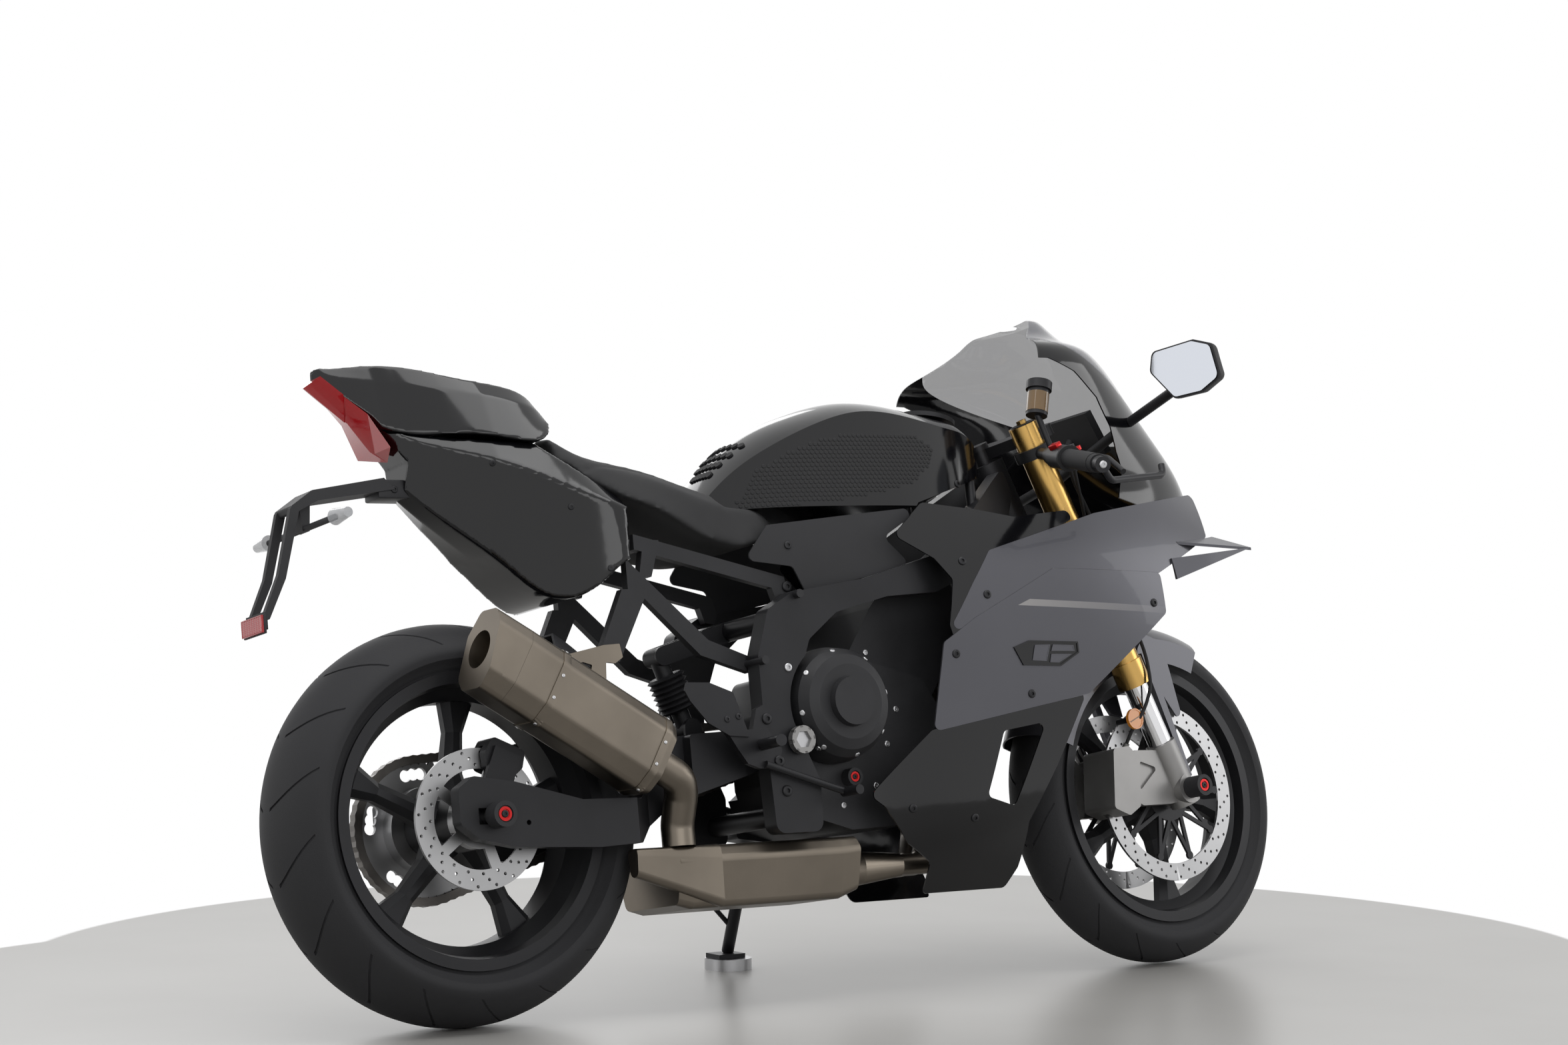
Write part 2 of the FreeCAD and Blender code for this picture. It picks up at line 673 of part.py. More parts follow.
def chain_room():
    """The space kept free in the engine's left side for the chain and its front sprocket."""
    reach = FRONT_PITCH_RADIUS + CHAIN_PLATE_HALF + CHAIN_ROOM
    front = ring(V(OUTPUT_X, 0, OUTPUT_Z), reach, 0, CHAIN_ROOM_LOW, ENGINE_HALF * 2)
    corners = [(OUTPUT_X + reach * u, OUTPUT_Z + reach * v) for u, v in CHAIN_ROOM_SHARES]
    return front.fuse(across(corners, CHAIN_ROOM_LOW, ENGINE_HALF * 2))


# The main frame
SPAR_THICK = 34.0
SPAR_OUTLINE_SHARES = [
    (0.000, 0.00), (0.140, 0.00), (0.145, 0.13), (0.095, 0.25), (0.100, 0.38), (0.150, 0.50), (0.240, 0.57),
    (0.400, 0.61), (0.560, 0.62), (0.760, 0.70), (0.960, 0.84), (1.000, 0.93), (0.960, 1.00), (0.760, 0.86),
    (0.560, 0.72), (0.340, 0.66), (0.110, 0.625), (0.030, 0.58), (-0.010, 0.46), (-0.010, 0.30),
]
SPAR_REAR = 505.0
SPAR_BASE = 262.0
SPAR_LENGTH_SHARE = 0.9624
SPAR_HEIGHT_SHARE = 1.117
HEAD_MIDDLE = steering_point(0, 0, (LOWER_YOKE + LOWER_YOKE_THICK + TOP_YOKE) / 2)
SPAR_LENGTH = (HEAD_MIDDLE.x - SPAR_REAR) * SPAR_LENGTH_SHARE
SPAR_HEIGHT = (HEAD_MIDDLE.z - SPAR_BASE) * SPAR_HEIGHT_SHARE
SPAR_BOX = (SPAR_REAR, SPAR_BASE, SPAR_LENGTH, SPAR_HEIGHT)
LOWER_TUBE_SHARES = (0.105, 0.054)
UPPER_TUBE_SHARES = (0.055, 0.554)
SPAR_X_SHARES = [-0.05, 0.14, 0.34, 0.56, 0.70, 0.82, 0.94, 1.04]
SPAR_HALF_SHARES = [0.90, 0.93, 0.97, 1.00, 0.88, 0.66, 0.42, 0.26]
SPAR_HALF = 172.0


def head_tube():
    """The steering head, bored for the stem."""
    low = LOWER_YOKE + LOWER_YOKE_THICK + HEAD_CLEARANCE
    high = TOP_YOKE - HEAD_CLEARANCE
    tube = Part.makeCylinder(HEAD_TUBE_RADIUS, high - low, V(0, 0, low))
    bore = Part.makeCylinder(STEM_RADIUS + FIT, high - low + OVERRUN, V(0, 0, low - OVERRUN / 2))
    return from_steering(tube.cut(bore))


def frame_spar(side):
    """One side of the twin-spar frame, from the steering head to the swingarm pivot plate."""
    columns = []
    for x_share, half_share in zip(SPAR_X_SHARES, SPAR_HALF_SHARES):
        x = SPAR_REAR + SPAR_LENGTH * x_share
        columns.append([V(x, -SPAR_HALF * half_share, SPAR_BASE - OVERRUN + (SPAR_HEIGHT + 2 * OVERRUN) * k / 2) for k in range(3)])
    wall = sheet(columns, SPAR_THICK)
    outline = placed((SPAR_REAR, SPAR_BASE, SPAR_LENGTH, SPAR_HEIGHT), SPAR_OUTLINE_SHARES)
    spar = wall.common(across(outline, -SPAR_HALF - OVERRUN, OVERRUN, SPAR_THICK / 2))
    spar = spar.cut(ring(V(PIVOT_X, 0, PIVOT_Z), AXLE_RADIUS + FIT, 0, -BAR_HALF, BAR_HALF))
    return spar if side < 0 else mirrored(spar)


def frame_place(shares, y):
    """A point on the frame, from shares of the spar's box."""
    return V(SPAR_REAR + SPAR_LENGTH * shares[0], y, SPAR_BASE + SPAR_HEIGHT * shares[1])


PANEL_MOUNT_SHARES = ((0.617, 0.86, 0.703), (0.773, 0.62, 0.728))
TANK_MOUNT_SHARES = (0.805, 0.878)
MOUNT_RADIUS = 9.0
MOUNT_RISE = 60.0
SHOCK_CHEEK = 6.0
SHOCK_EYE_HALF = 15.0
SHOCK_PIN_RADIUS = 6.0
SHOCK_TOP = V(405.0, 0, 572.0)
SHOCK_FOOT = V(450.0, 0, 452.0)
SHOCK_EYE_RADIUS = 16.0


def panel_mount(place):
    """A round bracket from a spar out to the inner face of the fairing panel beside it."""
    out = rod(place, place - V(0, FAIRING_HALF, 0), MOUNT_RADIUS)
    return out.common(fairing_core(-WALL - SEAT_GAP))


def shock_clevis(eye, foot, radius):
    """Two cheeks either side of a shock eye, from its pin back to a point on what carries them."""
    pieces = [ring(eye, SHOCK_PIN_RADIUS, 0, -SHOCK_EYE_HALF - SHOCK_CHEEK, SHOCK_EYE_HALF + SHOCK_CHEEK)]
    way = foot - eye
    tilt = math.degrees(math.atan2(way.x, way.z))
    for y in (-SHOCK_EYE_HALF - SHOCK_CHEEK, SHOCK_EYE_HALF):
        head = ring(eye, radius, 0, y, y + SHOCK_CHEEK)
        arm = Part.makeBox(radius * 2, SHOCK_CHEEK, way.Length, V(-radius, y, 0))
        arm.rotate(V(0, 0, 0), V(0, 1, 0), tilt)
        arm.translate(eye)
        pieces += [head, arm]
    return pieces


def main_frame():
    """Steering head, two spars, the cross tubes that join them and the brackets for what they carry."""
    right = frame_spar(-1)
    body = head_tube().fuse([right, frame_spar(1)])
    inner = SPAR_HALF * SPAR_HALF_SHARES[1] - SPAR_THICK / 2
    tubes = []
    for shares in (LOWER_TUBE_SHARES, UPPER_TUBE_SHARES):
        tubes.append(rod(frame_place(shares, -inner), frame_place(shares, inner), SPAR_THICK / 2))
    mounts = []
    for along, out, up in PANEL_MOUNT_SHARES:
        mount = panel_mount(frame_place((along, up), -SPAR_HALF * out))
        mounts += [mount, mirrored(mount)]
    foot = frame_place(TANK_MOUNT_SHARES, -TANK_HALF * TANK_MOUNT_HALF_SHARE)
    post = seated(rod(foot, foot + V(0, 0, MOUNT_RISE), MOUNT_RADIUS), fuel_tank(), V(0, 0, -1), foot)
    clevis = shock_clevis(SHOCK_TOP, frame_place(UPPER_TUBE_SHARES, 0), SHOCK_EYE_RADIUS)
    stem_bore = Part.makeCylinder(STEM_RADIUS + FIT, FORK_TOP, V(0, 0, 0))
    relief = CLUTCH_RADIUS * COVER_BASE_SHARE + HEAD_CLEARANCE
    relieved = ring(V(CLUTCH_X, 0, CLUTCH_Z), relief, 0, -SPAR_HALF * 2, -SPAR_HALF / 2)
    body = body.fuse(tubes + mounts + [post, mirrored(post)] + clevis)
    return body.cut([from_steering(stem_bore), relieved]).removeSplitter()


TANK_MOUNT_HALF_SHARE = 0.65


# The engine
ENGINE_HALF = 116.0
CRANKCASE_BOX = (592.0, 264.0, 308.0, 290.0)
ENGINE_FRONT = CRANKCASE_BOX[0] + CRANKCASE_BOX[2]
CRANKCASE_SHARES = [
    (0.00, 0.30), (0.06, 0.08), (0.30, 0.00), (0.82, 0.02), (1.00, 0.25), (1.00, 0.62), (0.86, 0.86),
    (0.40, 1.00), (0.12, 0.94), (0.00, 0.70),
]
CYLINDER_BOX = (680.0, 470.0, 290.0, 230.0)
CYLINDER_SHARES = [(0.00, 0.18), (0.66, 0.00), (1.00, 0.62), (0.90, 0.94), (0.50, 1.00), (0.30, 0.72)]
CYLINDER_HALF = 108.0
CLUTCH_X = 655.0
CLUTCH_Z = 470.0
CLUTCH_RADIUS = 94.0
CLUTCH_OUT = 186.0
CLUTCH_CAP_RADIUS = 42.0
CLUTCH_CAP_OUT = 198.0
COVER_BASE_SHARE = 1.03
GENERATOR_X = 790.0
GENERATOR_Z = 402.0
GENERATOR_RADIUS = 78.0
GENERATOR_OUT = 176.0


SIDE_MOUNT_SHARES = (0.93, 0.565)
LOWER_MOUNT_SHARES = (0.870, 0.228)


def engine():
    """The engine as one block: crankcase and the cylinders that lean forward, with the panels' brackets."""
    case = across(placed(CRANKCASE_BOX, CRANKCASE_SHARES), -ENGINE_HALF, ENGINE_HALF, SPAR_THICK / 2)
    block = across(placed(CYLINDER_BOX, CYLINDER_SHARES), -CYLINDER_HALF, CYLINDER_HALF, SPAR_THICK / 3)
    mounts = []
    for box, shares in ((CYLINDER_BOX, SIDE_MOUNT_SHARES), (CRANKCASE_BOX, LOWER_MOUNT_SHARES)):
        x, z = placed(box, [shares])[0]
        mount = panel_mount(V(x, -CYLINDER_HALF + MOUNT_RADIUS, z))
        mounts += [mount, mirrored(mount)]
    return case.fuse([block] + mounts).cut(chain_room()).removeSplitter()


def clutch_cover():
    """The domed clutch cover on the right, with its raised round cap."""
    inner = -ENGINE_HALF - SEAT_GAP
    steps = [
        (inner, CLUTCH_RADIUS * COVER_BASE_SHARE),
        (inner - 14.0, CLUTCH_RADIUS * COVER_BASE_SHARE),
        (-CLUTCH_OUT + 22.0, CLUTCH_RADIUS * 0.96),
        (-CLUTCH_OUT + 6.0, CLUTCH_RADIUS * 0.84),
        (-CLUTCH_OUT, CLUTCH_RADIUS * 0.66),
        (-CLUTCH_OUT, CLUTCH_CAP_RADIUS),
        (-CLUTCH_CAP_OUT, CLUTCH_CAP_RADIUS - 2.0),
        (-CLUTCH_CAP_OUT, 0),
        (inner, 0),
    ]
    return revolved(steps, V(CLUTCH_X, 0, CLUTCH_Z))


def generator_cover():
    """The generator cover on the left."""
    inner = ENGINE_HALF + SEAT_GAP
    steps = [
        (inner, 0),
        (GENERATOR_OUT, 0),
        (GENERATOR_OUT, GENERATOR_RADIUS * 0.62),
        (GENERATOR_OUT - 8.0, GENERATOR_RADIUS * 0.88),
        (GENERATOR_OUT - 30.0, GENERATOR_RADIUS),
        (inner, GENERATOR_RADIUS * 1.05),
    ]
    return revolved(steps, V(GENERATOR_X, 0, GENERATOR_Z))


# Steered parts, drawn in the steering frame: X forward, Z up the steering axis
def fork_outer_tubes():
    """The gold upper fork tubes, with a wider collar at the bottom and a cap on top."""
    collar = COLLAR_HEIGHT
    tube = Part.makeCylinder(OUTER_TUBE_RADIUS, FORK_TOP - OUTER_TUBE_BOTTOM, V(FORK_OFFSET, -FORK_HALF, OUTER_TUBE_BOTTOM))
    foot = Part.makeCylinder(OUTER_TUBE_RADIUS + COLLAR_THICK, collar, V(FORK_OFFSET, -FORK_HALF, OUTER_TUBE_BOTTOM))
    bore = Part.makeCylinder(INNER_TUBE_RADIUS + FIT, collar, V(FORK_OFFSET, -FORK_HALF, OUTER_TUBE_BOTTOM))
    return both(from_steering(tube.fuse(foot).cut(bore)))


def fork_inner_tubes():
    """The polished lower fork tubes, from inside the outer tubes down to the axle lugs."""
    low = AXLE_S + LUG_HEIGHT
    high = OUTER_TUBE_BOTTOM + COLLAR_HEIGHT - SEAT_GAP
    tube = Part.makeCylinder(INNER_TUBE_RADIUS, high - low, V(FORK_OFFSET, -FORK_HALF, low))
    return both(from_steering(tube))


LUG_WEB_SHARES = [
    (0.00, 0.80), (-0.80, 1.15), (-0.93, 1.02), (-1.32, 0.42), (-1.12, 0.17), (-0.45, -0.10), (0.00, -0.22),
]
LUG_POCKET_SHARES = [(-0.78, 0.92), (-0.42, 0.62), (-1.12, 0.42)]
LUG_WEB_REACH = 96.0
LUG_WEB_THICK = 20.0
LUG_POCKET_DEPTH = 5.0
COLLAR_HEIGHT = 46.0
COLLAR_THICK = 3.0


def lug_web(grow):
    """The web behind the axle lug, grown all round."""
    half = LUG_WEB_THICK / 2 + grow
    points = placed((FORK_OFFSET, AXLE_S, LUG_WEB_REACH, LUG_WEB_REACH), LUG_WEB_SHARES)
    wire = rounded_wire([V(n, -FORK_HALF - half, s) for n, s in points], LUG_WEB_THICK / 3)
    if grow:
        wire = wire.makeOffset2D(grow)
    return Part.Face(wire).extrude(V(0, half * 2, 0))


def fork_lugs():
    """The axle lugs at the bottom of the fork, each with the web that carries its brake caliper."""
    low = AXLE_S - LUG_RADIUS
    body = Part.makeCylinder(LUG_RADIUS, LUG_HEIGHT + LUG_RADIUS - SEAT_GAP, V(FORK_OFFSET, -FORK_HALF, low))
    boss = Part.makeCylinder(LUG_RADIUS, LUG_RADIUS * 2, V(AXLE_N, -FORK_HALF - LUG_RADIUS, AXLE_S), V(0, 1, 0))
    pocket = placed((FORK_OFFSET, AXLE_S, LUG_WEB_REACH, LUG_WEB_REACH), LUG_POCKET_SHARES)
    face = -FORK_HALF - LUG_WEB_THICK / 2
    web = lug_web(0).cut(across(pocket, face - OVERRUN, face + LUG_POCKET_DEPTH, LUG_POCKET_DEPTH))
    body = body.fuse([boss, web])
    bore = Part.makeCylinder(AXLE_RADIUS + FIT, FORK_HALF * 2, V(AXLE_N, -FORK_HALF * 2, AXLE_S), V(0, 1, 0))
    return both(from_steering(body.cut(bore).removeSplitter()))


YOKE_SHARES = [(-1.0, 0.0), (-0.45, 0.62), (0.15, 1.32), (1.1, 1.34), (1.45, 0.9), (0.9, 0.35), (0.75, 0.0)]


def yoke(low, thick):
    """A fork clamp seen from above: a waisted plate that holds both tubes."""
    points = [(FORK_OFFSET + u * 34.0, v * FORK_HALF) for u, v in YOKE_SHARES]
    loop = points + [(n, -y) for n, y in reversed(points[1:-1])]
    wire = rounded_wire([V(n, y, low) for n, y in loop], 16.0)
    plate = Part.Face(wire).extrude(V(0, 0, thick))
    holes = [
        Part.makeCylinder(OUTER_TUBE_RADIUS + FIT, thick + OVERRUN, V(FORK_OFFSET, side * FORK_HALF, low - OVERRUN / 2))
        for side in (-1, 1)
    ]
    return plate.cut(holes)


def fork_yokes():
    """Both fork clamps on their steering stem, which is hollow from below."""
    top = yoke(TOP_YOKE, TOP_YOKE_THICK)
    low = yoke(LOWER_YOKE, LOWER_YOKE_THICK)
    stem = Part.makeCylinder(STEM_RADIUS, TOP_YOKE + TOP_YOKE_THICK - LOWER_YOKE, V(0, 0, LOWER_YOKE))
    nut = Part.makeCylinder(STEM_RADIUS * 1.15, TOP_YOKE_THICK / 2, V(0, 0, TOP_YOKE + TOP_YOKE_THICK))
    bore = Part.makeCylinder(STEM_BORE_RADIUS, TOP_YOKE - LOWER_YOKE, V(0, 0, LOWER_YOKE - OVERRUN))
    return from_steering(top.fuse([low, stem, nut]).cut(bore).removeSplitter())


def bar_points():
    """Inner and outer end of the right handlebar in the steering frame."""
    inner = V(FORK_OFFSET - OUTER_TUBE_RADIUS, -FORK_HALF - OUTER_TUBE_RADIUS, BAR_S)
    outer = V(FORK_OFFSET - OUTER_TUBE_RADIUS - BAR_SWEEP, -BAR_HALF, BAR_S - BAR_DROP)
    return inner, outer


CLAMP_HEIGHT = 20.0
CLAMP_RADIUS = 36.0


def handlebars():
    """Clip-on bars: a split clamp round each fork tube and a tube that sweeps back and down."""
    inner, outer = bar_points()
    start = V(FORK_OFFSET, -FORK_HALF, BAR_S)
    clamp = Part.makeCylinder(CLAMP_RADIUS, CLAMP_HEIGHT, V(FORK_OFFSET, -FORK_HALF, BAR_S - CLAMP_HEIGHT / 2))
    tube = rod(start, outer, BAR_RADIUS)
    bore = Part.makeCylinder(OUTER_TUBE_RADIUS + FIT, FORK_TOP, V(FORK_OFFSET, -FORK_HALF, BAR_S - FORK_TOP / 2))
    return both(from_steering(clamp.fuse(tube).cut(bore)))


def grips():
    """The rubber grips, with a flange at the inner end."""
    inner, outer = bar_points()
    start = V(FORK_OFFSET, -FORK_HALF, BAR_S)
    way = outer - start
    length = way.Length
    way.normalize()
    foot = start + way * (length - GRIP_LENGTH)
    grip = Part.makeCylinder(GRIP_RADIUS, GRIP_LENGTH, foot, way)
    flange = Part.makeCylinder(GRIP_RADIUS * 1.35, GRIP_RADIUS / 3, foot, way)
    bore = Part.makeCylinder(BAR_RADIUS + FIT, GRIP_LENGTH, foot, way)
    end = Part.makeCylinder(GRIP_RADIUS * 0.95, GRIP_RADIUS, outer + way * SEAT_GAP, way)
    return both(from_steering(Part.Compound([grip.fuse(flange).cut(bore), end])))


PERCH_START = 84.0
PERCH_LENGTH = 24.0
PERCH_RADIUS = 17.0
SWITCH_RADIUS = 22.0
LEVER_PIVOT = V(38.0, -5.0, -7.0)
LEVER_KNEE = V(13.0, -105.0, -35.0)
LEVER_TIP = V(-7.0, -145.0, -62.0)
LEVER_RADIUS = 5.5
PIVOT_BOSS_RADIUS = 10.0
PIVOT_BOSS_HEIGHT = 22.0
MASTER_START = V(41.0, 1.0, -12.0)
MASTER_END = V(65.0, 43.0, -20.0)
MASTER_RADIUS = 10.0
RESERVOIR_LOW = V(4.0, 5.0, 76.0)
RESERVOIR_HIGH = V(34.0, 5.0, 114.0)
RESERVOIR_RADIUS = 19.0
RESERVOIR_CAP_RADIUS = 22.0
RESERVOIR_CAP_HEIGHT = 16.0
GUARD_RADIUS = 6.0
GUARD_BOSS_RADIUS = 14.0
GUARD_BOSS_LENGTH = 20.0
GUARD_KNEE = V(11.0, 3.0, -33.5)
GUARD_FAR = V(148.0, 17.0, -72.0)
GUARD_TIP = V(160.0, 23.0, -56.0)
GUARD_BEND = 14.0


def bar_at(distance):
    """A point on the right bar's middle line, at a distance from the fork tube."""
    start = V(FORK_OFFSET, -FORK_HALF, BAR_S)
    way = bar_points()[1] - start
    way.normalize()
    return start + way * distance


def lever_side():
    """One side's switch housing, lever perch and lever."""
    total = (bar_points()[1] - bar_at(0)).Length
    grip = total - GRIP_LENGTH - SEAT_GAP
    bore = rod(bar_at(0), bar_at(total), BAR_RADIUS + FIT)
    perch = bar_at(PERCH_START + PERCH_LENGTH / 2)
    pivot = perch + LEVER_PIVOT
    boss_low = pivot - V(0, 0, PIVOT_BOSS_HEIGHT / 2)
    pieces = [
        rod(bar_at(PERCH_START), bar_at(PERCH_START + PERCH_LENGTH), PERCH_RADIUS),
        rod(perch, pivot, PIVOT_BOSS_RADIUS),
        rod(boss_low, boss_low + V(0, 0, PIVOT_BOSS_HEIGHT), PIVOT_BOSS_RADIUS),
        pipe([pivot, perch + LEVER_KNEE, perch + LEVER_TIP], LEVER_RADIUS, GUARD_BEND * 2),
    ]
    housing = rod(bar_at(PERCH_START + PERCH_LENGTH), bar_at(grip), SWITCH_RADIUS)
    return housing.fuse(pieces), bore


def master_cylinder():
    """The front brake's master cylinder and its reservoir on a short stay."""
    perch = bar_at(PERCH_START + PERCH_LENGTH / 2)
    low = perch + RESERVOIR_LOW
    high = perch + RESERVOIR_HIGH
    way = high - low
    way.normalize()
    body = rod(perch + MASTER_START, perch + MASTER_END, MASTER_RADIUS)
    return body.fuse([
        rod(perch + LEVER_PIVOT, perch + MASTER_START, PIVOT_BOSS_RADIUS),
        rod(low, high, RESERVOIR_RADIUS),
        rod(high, high + way * RESERVOIR_CAP_HEIGHT, RESERVOIR_CAP_RADIUS),
        rod(perch + V(0, 0, PERCH_RADIUS / 2), low + way * LEVER_RADIUS, LEVER_RADIUS),
        fitting(HOSE_PATH[0], HOSE_PATH[1], FITTING_LENGTH),
        fitting(CROSS_HOSE_PATH[0], CROSS_HOSE_PATH[1], FITTING_LENGTH),
    ])


def lever_guard():
    """The guard ahead of the brake lever, on the end of the right bar."""
    total = (bar_points()[1] - bar_at(0)).Length
    root = total + GRIP_RADIUS + SEAT_GAP * 2
    boss = rod(bar_at(root), bar_at(root + GUARD_BOSS_LENGTH), GUARD_BOSS_RADIUS)
    start = bar_at(root + GUARD_BOSS_LENGTH / 2)
    path = [start, start + GUARD_KNEE, start + GUARD_FAR, start + GUARD_TIP]
    return boss.fuse(pipe(path, GUARD_RADIUS, GUARD_BEND))


def bar_controls():
    """Switch housings, levers, the brake's master cylinder with its reservoir, and the lever guard."""
    plain, bore = lever_side()
    left = mirrored(plain.cut(bore))
    right = plain.fuse(master_cylinder()).cut(bore)
    return from_steering(Part.Compound(left.Solids + right.Solids + lever_guard().Solids))


HOSE_RADIUS = 3.2
FITTING_RADIUS = 5.5
FITTING_LENGTH = 14.0
CALIPER_FITTING_LENGTH = 30.0
HOSE_BEND_SHARE = 0.45
HOSE_PATH = [
    V(61.0, -136.0, 934.0), V(72.0, -118.0, 900.0), V(86.0, -108.0, 846.0), V(93.0, -104.0, 776.0),
    V(90.0, -104.0, 700.0), V(76.0, -110.0, 630.0), V(62.0, -124.0, 566.0), V(26.0, -140.0, 512.0),
    V(-12.0, -138.0, 482.0), V(-40.0, -122.0, 462.0), V(-54.0, -106.0, 440.0),
]
CROSS_HOSE_PATH = [
    V(46.0, -160.0, 930.0), V(58.0, -140.0, 900.0), V(76.0, -110.0, 850.0), V(92.0, -78.0, 792.0),
    V(96.0, -40.0, 742.0), V(98.0, 12.0, 718.0), V(94.0, 62.0, 706.0), V(86.0, 98.0, 672.0), V(76.0, 110.0, 622.0),
    V(62.0, 124.0, 566.0), V(26.0, 140.0, 512.0), V(-12.0, 138.0, 482.0), V(-40.0, 122.0, 462.0),
    V(-54.0, 106.0, 440.0),
]


def fitting(end, inside, length):
    """The metal end of a hose, which meets it face to face."""
    way = end - inside
    way.normalize()
    return rod(end, end + way * length, FITTING_RADIUS)


def cord(points, radius):
    """A hose along straight runs joined by arcs as large as the runs allow."""
    bends = []
    for before, point, after in zip(points, points[1:], points[2:]):
        back = before - point
        ahead = after - point
        bends.append(HOSE_BEND_SHARE * min(back.Length, ahead.Length) * math.tan(back.getAngle(ahead) / 2))
    print("hose radii", [round(bend) for bend in bends])
    edges = []
    last = points[0]
    for i, bend in enumerate(bends):
        point = points[i + 1]
        back = points[i] - point
        ahead = points[i + 2] - point
        reach = HOSE_BEND_SHARE * min(back.Length, ahead.Length)
        back.normalize()
        ahead.normalize()
        bisector = back + ahead
        bisector.normalize()
        middle = point + bisector * (math.hypot(reach, bend) - bend)
        first = point + back * reach
        final = point + ahead * reach
        edges.append(Part.LineSegment(last, first).toShape())
        edges.append(Part.Arc(first, middle, final).toShape())
        last = final
    edges.append(Part.LineSegment(last, points[-1]).toShape())
    circle = Part.Wire([Part.makeCircle(radius, points[0], points[1] - points[0])])
    tube = Part.Wire(edges).makePipeShell([circle], True, False)
    length = sum(edge.Length for edge in edges)
    print("hose volume", round(tube.Volume), "section times length", round(math.pi * radius * radius * length))
    return tube


def front_brake_hoses():
    """The two hoses from the master cylinder down to the calipers."""
    return from_steering(Part.Compound([cord(HOSE_PATH, HOSE_RADIUS), cord(CROSS_HOSE_PATH, HOSE_RADIUS)]))


def front_axle():
    """The front axle, right through the fork lugs and the wheel."""
    half = FORK_HALF + LUG_RADIUS
    return from_steering(Part.makeCylinder(AXLE_RADIUS, half * 2, V(AXLE_N, -half, AXLE_S), V(0, 1, 0)))


CALIPER_SHARES = [(0.0, 0.0), (0.0, 1.0), (0.5, 1.08), (1.0, 0.9), (1.0, 0.1), (0.5, -0.08)]
CALIPER_LENGTH = 118.0
CALIPER_DEPTH = 64.0
CALIPER_INSIDE_SHARE = 0.66
CALIPER_OUT = 46.0
CALIPER_IN = 32.0
CALIPER_ANGLE = 149.5
CALIPER_CORNER = 8.0
PAD_CLEARANCE = 5.5


def caliper_outline(centre_x, centre_z, reach, length, depth, angle):
    """Side view of a caliper that straddles a disc's rim at an angle round its axle."""
    points = []
    for u, v in CALIPER_SHARES:
        radius = reach + depth * (u - CALIPER_INSIDE_SHARE)
        turn = math.radians(angle) + (v - 0.5) * length / reach
        points.append((centre_x + radius * math.cos(turn), centre_z + radius * math.sin(turn)))
    return points


def front_calipers():
    """The radial brake calipers: a body each side of the disc, held on the fork lug's web."""
    points = caliper_outline(AXLE_N, AXLE_S, FRONT_DISC_RADIUS, CALIPER_LENGTH, CALIPER_DEPTH, CALIPER_ANGLE)
    body = across(points, -FRONT_DISC_OFFSET - CALIPER_OUT, -FRONT_DISC_OFFSET + CALIPER_IN, CALIPER_CORNER)
    half = DISC_THICK / 2 + PAD_CLEARANCE
    slot = ring(V(AXLE_N, 0, AXLE_S), FRONT_DISC_RADIUS + PAD_CLEARANCE, 0, -FRONT_DISC_OFFSET - half, -FRONT_DISC_OFFSET + half)
    body = largest(body.cut([slot, lug_web(SEAT_GAP)]))
    union = fitting(HOSE_PATH[-1], HOSE_PATH[-2], CALIPER_FITTING_LENGTH)
    return both(from_steering(body.fuse(union)))


FENDER_HALF = 66.0
FENDER_GAP = 12.0
FENDER_WALL = 3.0
FENDER_SKIRT = 62.0
FENDER_FRONT = 25.0
FENDER_REAR = 68.0
BLADE_OUT = 77.0
BLADE_CLEARANCE = 5.0
LEG_OUT = 87.0
FENDER_BOX = (FORK_OFFSET, AXLE_S, FRONT_RADIUS / 3, FRONT_RADIUS)
BLADE_SHARES = [
    (0.60, 0.843), (0.96, 0.907), (1.24, 0.823), (1.24, 0.730), (1.19, 0.633), (1.03, 0.370), (0.90, 0.357),
    (0.79, 0.523), (0.68, 0.723),
]
LEG_SHARES = [(0.60, 0.823), (0.76, 0.773), (0.56, 0.017), (0.20, 0.040), (0.20, 0.107), (0.46, 0.100)]


